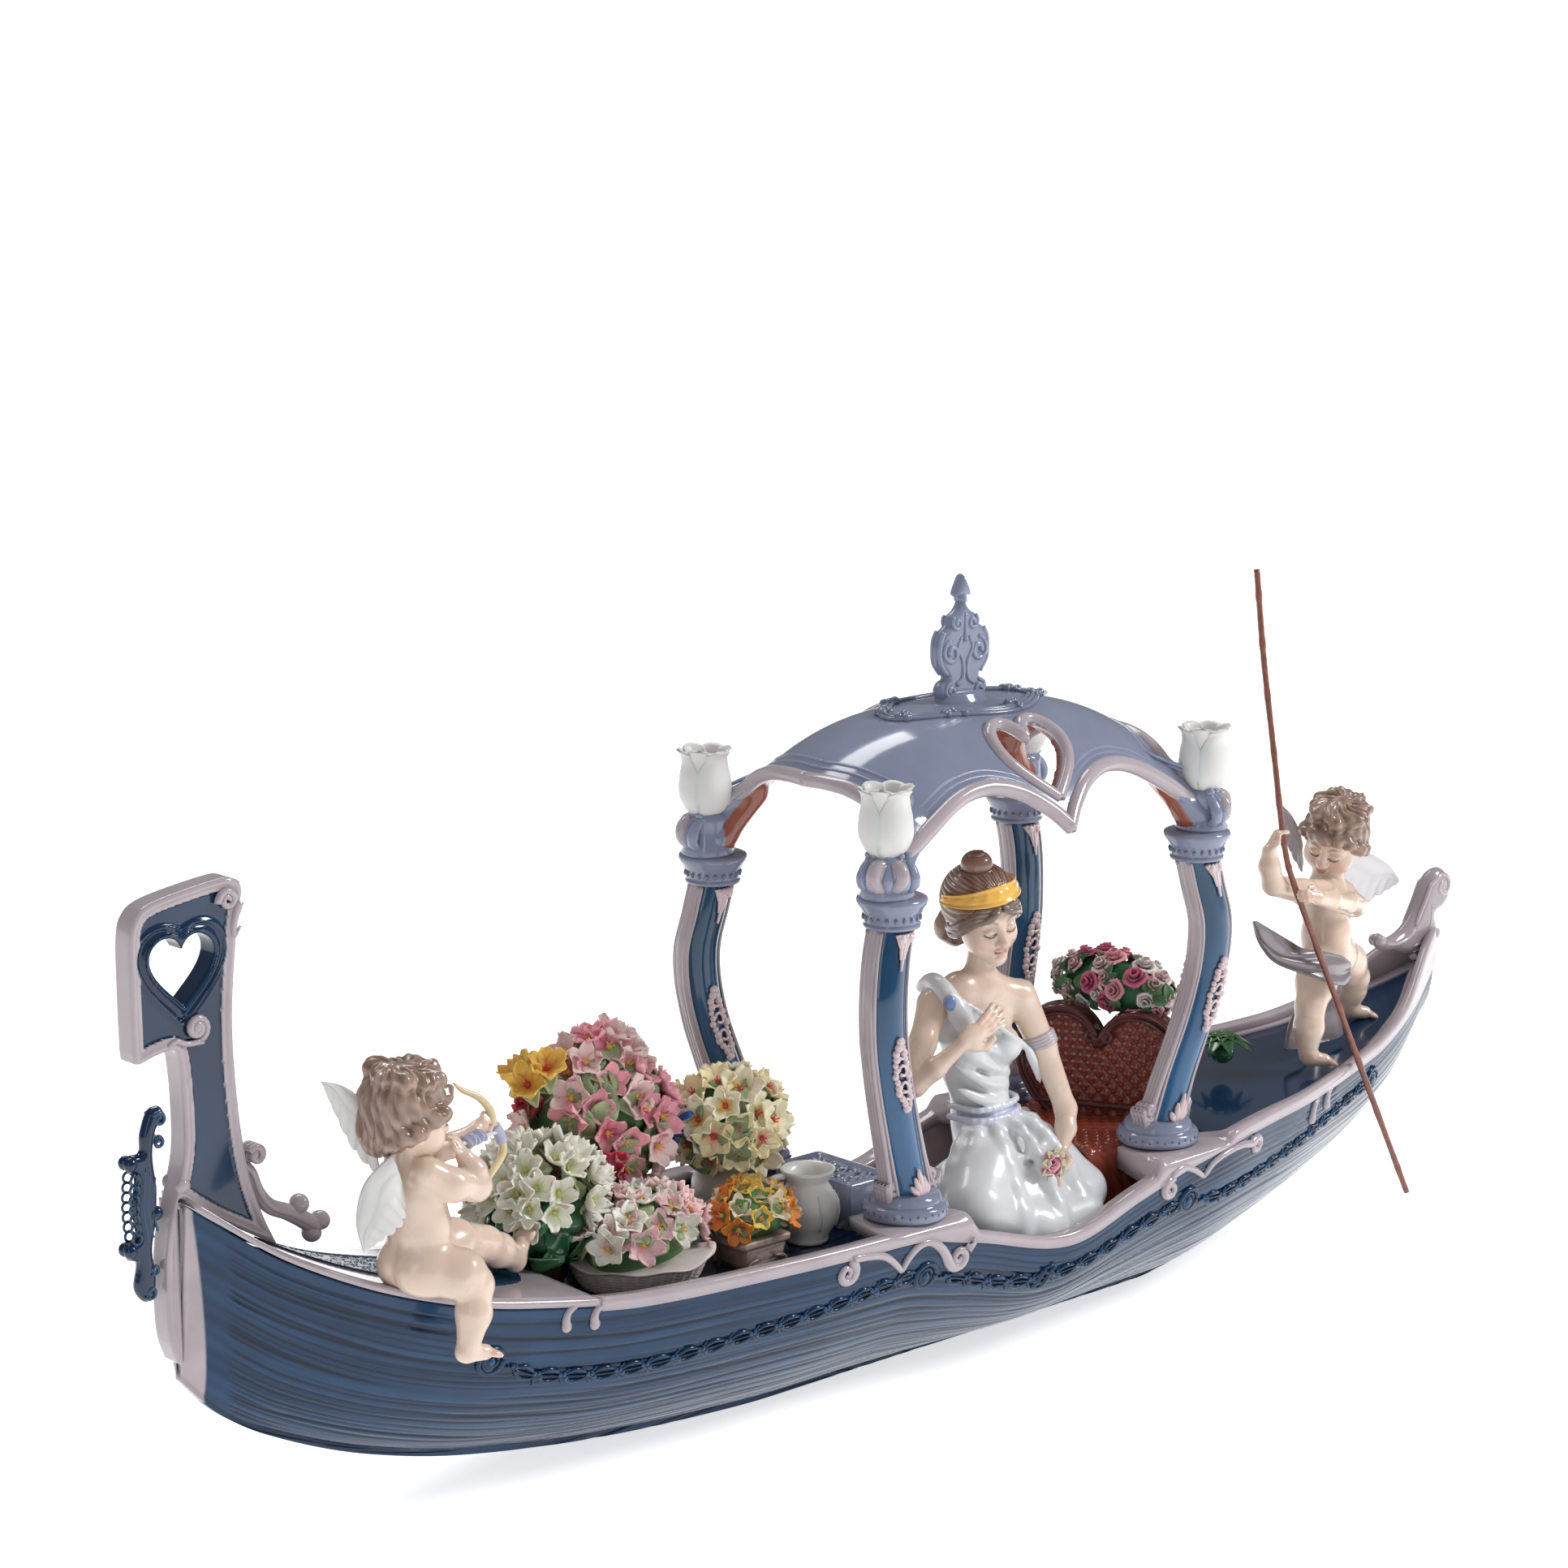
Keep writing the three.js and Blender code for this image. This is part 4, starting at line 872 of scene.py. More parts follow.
def head_clay(child):
    """A calm, closed-mouthed head, 40 mm tall; x to its right, y forward, z up."""
    clay = Clay((-20, -24, -28), (20, 22, 24), 0.45)
    wide = 1.10 if child else 1.0
    clay.egg((0, -3, 6), (14.5 * wide, 17, 15.5), soft=4)
    clay.egg((0, 4, -5), (11.8 * wide, 11.2, 13.5 if child else 14.5), soft=5)
    clay.egg((0, 11.3, -15.0 if child else -16.3), (4.6, 4.0, 3.3), soft=5)
    for s in (-1, 1):
        clay.egg((s * 6.6 * wide, 8.3, -6.5), (5.6 if child else 4.8, 4.8, 5.2), soft=4)
        clay.egg((s * 4.6, 11.6, 4.6), (5.2, 3.0, 2.6), soft=3.5)
        clay.egg((s * 5.6, 15.8, 0.5), (3.7, 2.9, 2.3), soft=2.6, carve=True)
        clay.egg((s * 5.5, 12.5, 0.2), (3.2, 2.6, 2.2), soft=0.7)
        lash = [(s * 2.6, 14.3, -0.9), (s * 4.3, 15.3, -1.6), (s * 6.2, 15.2, -1.7), (s * 8.2, 13.7, -1.0)]
        clay.chain(lash, 0.40, soft=0.4)
        crease = [(s * 3.0, 14.6, 1.7), (s * 5.4, 15.2, 2.4), (s * 8.2, 13.6, 1.6)]
        clay.chain(crease, 0.35, soft=0.5, carve=True)
        clay.egg((s * 14.0 * wide, -1.5, -2.0), (2.0, 3.4, 4.8), soft=1.5)
    clay.limb((0, 13.2, 3.2), (0, 17.0 if child else 17.8, -4.8), 1.5, 1.9 if child else 1.8, soft=2.4)
    clay.egg((0, 17.0 if child else 17.8, -5.2), (2.2, 2.0, 1.8), soft=1.6)
    for s in (-1, 1):
        clay.egg((s * 2.0, 15.7, -5.9), (1.5, 1.5, 1.3), soft=1.0)
        clay.egg((s * 0.95, 16.7, -7.2), (0.55, 0.7, 0.5), soft=0.5, carve=True)
        clay.egg((s * 1.5, 14.9, -9.5), (2.0, 1.5, 0.95), soft=0.9)
    clay.egg((0, 14.7, -11.3), (2.9 if child else 3.2, 1.6, 1.15), soft=0.9)
    clay.chain([(-3.5, 14.0, -10.2), (-1.6, 16.2, -10.4), (0, 16.5, -10.6), (1.6, 16.2, -10.4),
                (3.5, 14.0, -10.2)],
               0.28, soft=0.5, carve=True)
    clay.egg((0, 14.9, -13.2), (3.0, 1.5, 0.9), soft=1.2, carve=True)
    return clay


def head(centre, facing, roll, scale, child, name, node):
    """Adds a head to the scene and returns its axes."""
    points, faces = head_clay(child).mesh()
    spots = []
    for s in (-1, 1):
        spots.append(((s * 7.5, 12, -5.5), (5.2, 6, 4.2), BLUSH, 0.42 if child else 0.30))
        # A brownish patch over each upper lid is painted shade in the eye socket.
        spots.append(((s * 5.6, 14, 1.8), (4.0, 4, 2.0), (0.60, 0.40, 0.32), 0.45))
    spots.append(((0, 18, -5.2), (2.4, 2.4, 2.2), BLUSH, 0.25))
    colour = painted(points, SKIN, spots)

    def near_path(path, width):
        return np.abs(np.min([np.linalg.norm(points - p, axis=1) for p in curve(path, 24)], axis=0)) / width
    for s in (-1, 1):
        lash = [(s * 2.6, 14.5, -1.0), (s * 4.3, 15.5, -1.75), (s * 6.2, 15.4, -1.8), (s * 8.6, 13.7, -0.8)]
        colour = blend_colour(colour, (0.07, 0.04, 0.03),
                              0.92 * (1 - smoothstep(near_path(lash, 0.85), 0.5, 1.0)))
        brow = [(s * 2.6, 14.8, 4.3), (s * 5.4, 14.6, 5.7), (s * 9.4, 12.2, 4.4)]
        colour = blend_colour(colour, BROW, 0.62 * (1 - smoothstep(near_path(brow, 1.15), 0.35, 1.0)))
    upper = [(-2.7, 14.9, -9.9), (-1.0, 16.2, -9.5), (1.0, 16.2, -9.5), (2.7, 14.9, -9.9)]
    lower = [(-2.2, 15.2, -11.3), (0, 16.2, -11.7), (2.2, 15.2, -11.3)]
    colour = blend_colour(colour, LIP, 0.75 * (1 - smoothstep(near_path(upper, 1.15), 0.6, 1.0)))
    colour = blend_colour(colour, LIP, 0.70 * (1 - smoothstep(near_path(lower, 1.3), 0.6, 1.0)))
    seam = [(-3.2, 14.6, -10.4), (0, 16.4, -10.6), (3.2, 14.6, -10.4)]
    colour = blend_colour(colour, (0.25, 0.09, 0.07), 0.8 * (1 - smoothstep(near_path(seam, 0.6), 0.4, 1.0)))
    turn = axes_facing(facing, roll)
    piece = Piece()
    piece.add(points * scale @ turn.T + centre, faces, colour)
    piece.object(name, FLESH, "porcelain_skin", [node])
    return turn


def child_hair(centre, turn, scale, seed, name):
    """Soft wavy hair that swirls from the crown into rounded curls along its edge."""
    random = np.random.default_rng(seed)
    clay = Clay((-25, -27, -20), (25, 22, 28), 0.5)
    clay.egg((0, -4, 6.5), (16.8, 17.8, 16.6), soft=1)
    clay.egg((0, -11, -6), (12.5, 9.5, 9.5), soft=4)
    clay.egg((0, 17.5, -7.5), (12.6, 14.5, 14.0), soft=2.5, carve=True)
    for i in range(17):
        bearing = 2 * math.pi * i / 17 + random.uniform(-0.1, 0.1)
        front = 0.5 + 0.5 * math.cos(bearing)
        z = -10.5 + 21.0 * front ** 1.2 + random.uniform(-1.0, 1.0)
        wide = math.sqrt(max(0.1, 1 - ((z - 6.5) / 17.6) ** 2))
        size = random.uniform(4.0, 5.4)
        clay.egg((16.4 * wide * math.sin(bearing), 17.0 * wide * math.cos(bearing) - 4, z),
                 (size, size * 0.85, size * 0.9), soft=1.6)
    for i in range(9):
        bearing = 2 * math.pi * i / 9 + random.uniform(-0.25, 0.25)
        clay.egg((10.6 * math.sin(bearing), 11.2 * math.cos(bearing) - 4, 18.2 + random.uniform(-1, 1)),
                 (6.2, 5.6, 4.2), soft=2.0)

    def strands(p):
        about = np.linalg.norm(p - (0, -7, 24), axis=-1)
        round_crown = np.arctan2(p[..., 0], p[..., 1] + 7)
        wave = np.sin(round_crown * 21 + 0.42 * about + 1.9 * np.sin(about * 0.33 + seed)
                      + np.sin(round_crown * 5))
        edge = np.linalg.norm((p - (0, 17.5, -7.5)) / (12.6, 14.5, 14.0), axis=-1)
        return ((0.36 * wave + 0.6 * np.sin(round_crown * 7 + 0.5 * about)) * smoothstep(about, 2, 7)
                * smoothstep(edge, 1.02, 1.3))
    clay.raise_by(strands)
    points, faces = clay.mesh()
    tone = 0.40 + 0.38 * np.sin(points[:, 0] * 0.8 + points[:, 2] * 0.9) * np.cos(points[:, 1] * 0.5)
    piece = Piece()
    piece.add(points * scale @ turn.T + centre, faces, blend_colour(HAIR, HAIR_LIGHT, tone))
    piece.object(name, HAIR_GLAZE, "porcelain_hair")


def digits(clay, palm, forward, normal, length, thick, count, curl, spread=0.16, soft=0.8):
    """Fingers or toes from a palm, curling towards -normal."""
    forward, normal = unit(forward), unit(normal)
    across = np.cross(forward, normal)
    for i in range(count):
        share = (i - (count - 1) / 2) / max(1, (count - 1) / 2)
        root = np.asarray(palm) + across * share * thick * count * 0.48
        way = unit(forward + across * share * spread)
        size = length * (1.0 - 0.16 * abs(share - 0.2))
        points = [root]
        for k in range(3):
            bend = curl * (k + 0.6) / 2
            way2 = unit(way * math.cos(bend) - normal * math.sin(bend))
            points.append(points[-1] + way2 * size / 3)
        clay.chain(points, np.linspace(thick, thick * 0.72, 4), soft=soft)


def hand(clay, wrist, end, normal, size, thumb, curl=0.7):
    """A hand from the wrist towards end; thumb is the side it is on, +1 or -1."""
    wrist, end = np.asarray(wrist, float), np.asarray(end, float)
    forward = unit(end - wrist)
    normal = unit(normal - forward * np.dot(normal, forward))
    across = np.cross(forward, normal)
    palm = wrist + forward * size * 0.42
    clay.egg(palm, (size * 0.36, size * 0.48, size * 0.20), turn=np.stack([across, forward, normal], -1),
             soft=1.6)
    digits(clay, wrist + forward * size * 0.8, forward, normal, size * 0.85, size * 0.105, 4, curl)
    base = wrist + forward * size * 0.3 + across * thumb * size * 0.3
    clay.chain([base, base + forward * size * 0.3 + across * thumb * size * 0.22,
                base + forward * size * 0.62 + across * thumb * size * 0.16],
               [size * 0.13, size * 0.12, size * 0.09],
               soft=1.0)


def foot(clay, heel, toe, down, size):
    heel, toe, down = np.asarray(heel, float), np.asarray(toe, float), unit(down)
    forward = unit(toe - heel)
    clay.limb(heel, heel + (toe - heel) * 0.7, size * 0.36, size * 0.30, soft=2.5)
    clay.limb(heel - forward * size * 0.12, heel, size * 0.30, size * 0.34, soft=2.0)
    digits(clay, heel + (toe - heel) * 0.9, forward, -down, size * 0.34, size * 0.125, 5, 0.3, spread=0.10)


def wing(piece, top, bottom, tip, face, bow=0.22, scallops=7, tint=WHITE):
    """A small leaf-shaped wing from two root points to its tip, scalloped along its trailing edge."""
    top, bottom, tip, face = (np.asarray(v, float) for v in (top, bottom, tip, face))
    reach = np.linalg.norm(tip - top)
    along = (tip - top) / reach
    face = unit(face - along * np.dot(face, along))
    out = np.cross(face, along)
    if np.dot(out, bottom - top) > 0:
        out = -out
    lead = curve([top, top + (tip - top) * 0.35 + out * reach * bow * 0.8,
                  top + (tip - top) * 0.72 + out * reach * bow * 0.7,
                  tip], 60)
    trail = curve([bottom, bottom + (tip - bottom) * 0.38 - out * reach * 0.10,
                   bottom + (tip - bottom) * 0.75 - out * reach * 0.05, tip], 60)
    u = np.linspace(0, 1, 60)
    v = np.linspace(0, 1, 33)
    scallop = 0.10 * np.abs(np.sin(math.pi * scallops * u)) ** 0.6 * (1 - u ** 6)
    share = v[None, :] * (1 + scallop[:, None] * smoothstep(v, 0.75, 1.0)[None, :])
    net = lead[:, None] * (1 - share[..., None]) + trail[:, None] * share[..., None]
    camber = 2.2 * np.sin(math.pi * v)[None, :] * (1 - u[:, None])
    net = net + camber[..., None] * face
    feather = np.abs(np.sin(math.pi * (scallops * u[:, None] - 1.1 * (1 - v[None, :]) ** 2)))
    rows = np.abs(np.sin(math.pi * (2.6 * v[None, :] + 0.2 * np.sin(9 * u[:, None]))))
    relief = (0.55 * feather ** 0.5 * smoothstep(v, 0.45, 0.7)[None, :]
              + 0.5 * rows ** 0.6 * (1 - smoothstep(v, 0.4, 0.62))[None, :])
    thick = ((0.7 + 2.6 * (1 - v[None, :]) ** 1.5 * (1 - 0.6 * u[:, None]) + relief)
             * np.minimum(1, 12 * (1.02 - u))[:, None])
    # Low places in the feather relief are painted up to 16 per cent darker, as painted shade.
    tone = 0.96 - 0.16 * (1 - np.clip(relief * 1.8, 0, 1))
    colour = np.asarray(tint) * tone[..., None]
    piece.grid(sheet_net(net, thick), np.concatenate([colour, colour[:, ::-1]], axis=1), around=True,
               caps=True)


# ---- archer ---------------------------------------------------------------------------------------
def archer():
    centre, facing = np.array((-352.5, -42, 181.5)), (0.975, -0.20, -0.12)
    clay = Clay((-378, -76, 74), (-258, -6, 180), 0.6)
    clay.egg((-349.5, -42, 151), (11.5, 14.5, 15), soft=4)
    clay.egg((-347.5, -41.5, 134), (12.5, 14.5, 16), soft=5)
    clay.egg((-350, -47.5, 119), (13.5, 10.5, 11.5), soft=4)
    clay.egg((-350, -35.5, 119), (13, 10, 11.5), soft=4)
    clay.limb((-350.5, -42, 158), (-351, -42, 168), 8.6, 8.0, soft=4)
    clay.chain([(-352, -54, 161), (-343, -58, 155), (-330, -56.5, 151.5)], [6.6, 6.4, 6.2], soft=3.5)
    clay.chain([(-330, -56.5, 151.5), (-331, -56, 158), (-333.5, -54, 163.5)], [6.2, 5.4, 3.7], soft=2)
    hand(clay, (-333.5, -54, 163), (-335, -50.5, 171), (0.5, -0.8, 0.2), 9.0, -1, 1.2)
    clay.chain([(-349, -31, 161), (-335, -33, 162), (-323, -36, 163)], [6.4, 6.0, 5.2], soft=3.5)
    clay.chain([(-323, -36, 163), (-316, -37.5, 167)], [5.2, 3.6], soft=2)
    hand(clay, (-316, -37.5, 167), (-310, -38, 171.5), (0.3, -0.6, 0.6), 8.5, 1, 1.5)
    clay.chain([(-347, -51, 119), (-339, -57.5, 116.5), (-333.5, -60.5, 112)], [11.0, 10.0, 7.2], soft=3.5)
    clay.chain([(-335, -61, 111), (-337, -62.5, 101), (-340, -63, 90)], [7.0, 7.3, 5.0], soft=2)
    foot(clay, (-341.5, -63, 85.5), (-329, -64.5, 83.5), (0.1, 0, -1), 11)
    clay.chain([(-345, -34, 120), (-322, -29, 119), (-301, -24.5, 113)], [11, 10, 7.4], soft=3.5)
    clay.chain([(-301, -24.5, 113), (-291, -21, 107), (-281, -18, 101)], [7.2, 7.2, 5.2], soft=2)
    foot(clay, (-279, -17.5, 98.5), (-272.5, -15.5, 108), (0.85, 0.1, -0.6), 11)
    clay.limb((-361.5, -41.5, 130), (-363.5, -41.5, 112), 1.6, 1.6, soft=3, carve=True)
    points, faces = clay.mesh()
    skin_spots = [((-331, -60, 112), (8, 8, 7), BLUSH, 0.25), ((-300, -24, 113), (8, 8, 7), BLUSH, 0.25),
             ((-330, -56, 151), (8, 8, 8), BLUSH, 0.2), ((-330, -65, 83), (6, 6, 5), BLUSH, 0.3),
             ((-272, -15, 108), (6, 6, 6), BLUSH, 0.3), ((-312, -38, 171), (6, 6, 6), BLUSH, 0.25),
             ((-355, -42, 118), (16, 22, 12), BLUSH, 0.12)]
    body = Piece()
    body.add(points, faces, painted(points, SKIN, skin_spots))
    body.object("archer_figure", FLESH, "porcelain_skin", ["archer_body"])
    turn = head(centre, facing, 0.10, 0.98, True, "archer_face", "archer_head")
    child_hair(centre, turn, 1.0, 4, "archer_hair")
    for place, root, low, tip, face in (
            ("far", (-366, -34, 180), (-362, -36, 158), (-383, -26, 199), (-0.55, -0.8, 0.1)),
            ("near", (-367, -50, 171), (-361, -50, 152), (-386, -56, 136), (-0.55, -0.8, 0.1))):
        feathers = Piece()
        wing(feathers, root, low, tip, face)
        feathers.object("archer_feathers_" + place, SATIN, "porcelain_white", ["archer_wing_" + place])
    bow = Piece()
    path = curve([(-323, -34, 188), (-319, -34, 184.5), (-312, -35.5, 180.5), (-307.5, -37, 175),
                  (-306.5, -38, 169),
                  (-303.5, -39, 163), (-303.5, -40.5, 156.5), (-309, -42.5, 152), (-313.6, -44, 148.5),
                  (-314.2, -44.4, 143.5)], 46)
    thick = np.interp(np.linspace(0, 1, 46), [0, 0.12, 0.4, 0.55, 0.85, 1], [0.5, 1.2, 2.0, 2.0, 1.5, 0.7])
    bow.tube(path, thick, (0.66, 0.55, 0.33), sides=10)
    bow.tube(path[21:28], 2.5, LILAC, sides=12)
    bow.object("archer_bow_curved", SATIN, "porcelain_cream", ["archer_bow"])
    arrow = Piece()
    arrow.tube(curve([(-334, -51, 168), (-318, -44, 166.5), (-304.5, -39, 165)], 8), 0.9, DRESS)
    for i in range(5):
        at = np.array((-328 + 2.6 * i, -48 + 0.9 * i, 167.4))
        arrow.ball(at, (3.8, 0.7, 3.0), np.array(LILAC) * 1.2, turn=axes_facing((0.9, 0.2, 0.3 * (-1) ** i)))
    arrow.object("archer_arrow", SATIN, "porcelain_white")


archer()


# ---- gondolier -------------------------------------------------------------------------------------
def gondolier():
    centre, facing = np.array((252.0, -17.6, 199.8)), (-0.93, -0.27, -0.42)
    clay = Clay((180, -66, 86), (306, 12, 216), 0.6)
    clay.egg((249, -15.5, 168), (11.5, 12.5, 14), soft=4)
    clay.egg((248.5, -17, 151), (13.0, 13.0, 15), soft=5)
    clay.egg((253, -15.5, 139), (14.5, 14, 11.5), soft=4)
    clay.limb((249, -16, 176), (250, -16, 186), 8.4, 8.0, soft=4)
    clay.chain([(240, -22, 176), (218, -26, 180), (192, -29, 188)], [6.4, 6.2, 5.6], soft=3.5)
    clay.chain([(192, -29, 189), (188.5, -29, 198), (187.5, -29.5, 206)], [5.6, 5.2, 3.6], soft=2)
    hand(clay, (187.5, -29.5, 206), (190.5, -31.0, 214.5), (-0.5, 0.2, 0.3), 9.6, 1, 1.1)
    clay.chain([(258, -11, 176), (262, -16, 170), (261, -25, 166)], [6.4, 6.2, 5.7], soft=3.5)
    clay.chain([(261, -25, 166), (242, -35, 172), (221, -42, 178), (207, -45, 182)], [5.7, 5.4, 4.6, 3.6],
               soft=2)
    hand(clay, (208, -45.5, 182), (200, -45.5, 184.5), (0.2, -0.9, 0.3), 9.0, 1, 1.1)
    clay.chain([(244.5, -20, 141), (232, -25, 131), (223, -29, 121)], [11.5, 10.2, 7.6], soft=3.5)
    clay.chain([(223, -29, 121), (221, -30, 110), (219.5, -31, 99)], [7.4, 7.6, 5.0], soft=2)
    foot(clay, (220, -31.5, 95.0), (229, -38.5, 93.0), (0, 0, -1), 11)
    clay.chain([(261, -12, 140), (275, -9, 131), (285, -7, 121)], [11.5, 10.2, 7.6], soft=3.5)
    clay.chain([(285, -7, 121), (287, -4, 113), (287, -3, 106)], [7.4, 7.2, 5.0], soft=2)
    foot(clay, (287.5, -3, 102), (297, -9, 99.5), (0, 0, -1), 11)
    clay.egg((240.5, -23, 151), (1.0, 1.0, 1.0), soft=1.2, carve=True)
    points, faces = clay.mesh()
    skin_spots = [((223, -31, 120), (8, 8, 7), BLUSH, 0.25), ((285, -8, 120), (8, 8, 7), BLUSH, 0.25),
             ((230, -39, 93), (6, 6, 5), BLUSH, 0.3), ((298, -9, 99), (6, 6, 5), BLUSH, 0.3),
             ((188, -28, 213), (6, 6, 6), BLUSH, 0.25), ((201, -46, 184), (6, 6, 6), BLUSH, 0.25),
             ((246, -26, 150), (16, 16, 14), BLUSH, 0.10)]
    body = Piece()
    body.add(points, faces, painted(points, SKIN, skin_spots))
    body.object("gondolier_figure", FLESH, "porcelain_skin", ["gondolier_body"])
    turn = head(centre, facing, -0.24, 0.94, True, "gondolier_face", "gondolier_head")
    child_hair(centre, turn, 0.96, 9, "gondolier_hair")
    for place, root, low, tip, face in (
            ("far", (248, 2, 197), (254, 4, 180), (238, 7, 217), (-0.5, -0.8, 0.1)),
            ("near", (270, -4, 187), (272, -3, 168), (336, 6, 161), (-0.2, -0.95, 0.1))):
        feathers = Piece()
        # The white wings are greyed to (0.54, 0.52, 0.55), a painted shade.
        wing(feathers, root, low, tip, face, bow=0.12, tint=(0.54, 0.52, 0.55))
        feathers.object("gondolier_feathers_" + place, SATIN, "porcelain_white", ["gondolier_wing_" + place])
    cloth = Piece()
    outer = curve([(176, -31, 173), (182, -32, 163), (194, -33, 155), (207, -36, 152), (222, -38, 151),
                   (236, -36.5, 147), (247, -33.5, 141)], 60)
    inner = curve([(179, -28, 171), (184, -28, 159), (194, -29, 148), (207, -36, 141), (221, -41, 135),
                   (236, -38.5, 130), (249, -32.5, 131)], 60)
    share = np.linspace(0, 1, 13)[:, None, None]
    net = outer[None] * (1 - share) + inner[None] * share
    k = np.arange(60)[None, :] / 59.0
    wave = 1.8 * np.sin(share[..., 0] * 11 + k * 5) * np.sin(math.pi * share[..., 0])
    net = net + wave[..., None] * unit((-0.5, -0.85, 0.1))
    cloth.grid(sheet_net(net, 2.2), np.array(MAUVE) * 0.52, around=True, caps=True)
    tail = np.stack([curve([(238, -28, 140), (232, -20, 126), (226, -14, 110), (222, -13, 93.5)], 30),
                     curve([(246, -26, 138), (246, -18, 126), (246, -12, 110), (246, -13, 93.5)], 30),
                     curve([(254, -26, 138), (260, -18, 126), (266, -12, 110), (268, -14, 93.5)], 30)])
    net = np.array([curve(tail[:, i], 15) for i in range(30)])
    bend = 1.6 * np.sin(np.linspace(0, 9, 15))[None, :] * np.ones((30, 1))
    net = net + bend[..., None] * unit((-0.4, -0.9, 0))
    cloth.grid(sheet_net(net, 2.4), np.array(MAUVE) * 0.52, around=True, caps=True)
    cloth.object("gondolier_cloth", SATIN, "porcelain_mauve", ["gondolier_drape"], subdivide=1)
    pole = Piece()
    path = curve([(262, -63, 23), (241.3, -54.3, 77), (220.7, -45.7, 131), (200, -37, 185), (194.5, -33, 209),
                  (193, -27, 250), (191, -20, 300), (190, -15, 344)], 170)
    random = np.random.default_rng(12)
    knots = 1.5 + 0.25 * np.exp(-((np.arange(170)[:, None] - np.arange(6, 170, 13)[None]) / 1.3) ** 2).sum(1)
    pole.tube(path, knots + random.uniform(-0.06, 0.06, 170), TERRACOTTA, sides=10)
    pole.object("pole_knotted", WOOD_GLAZE, "pole_brown", ["pole"], body="pole")


gondolier()


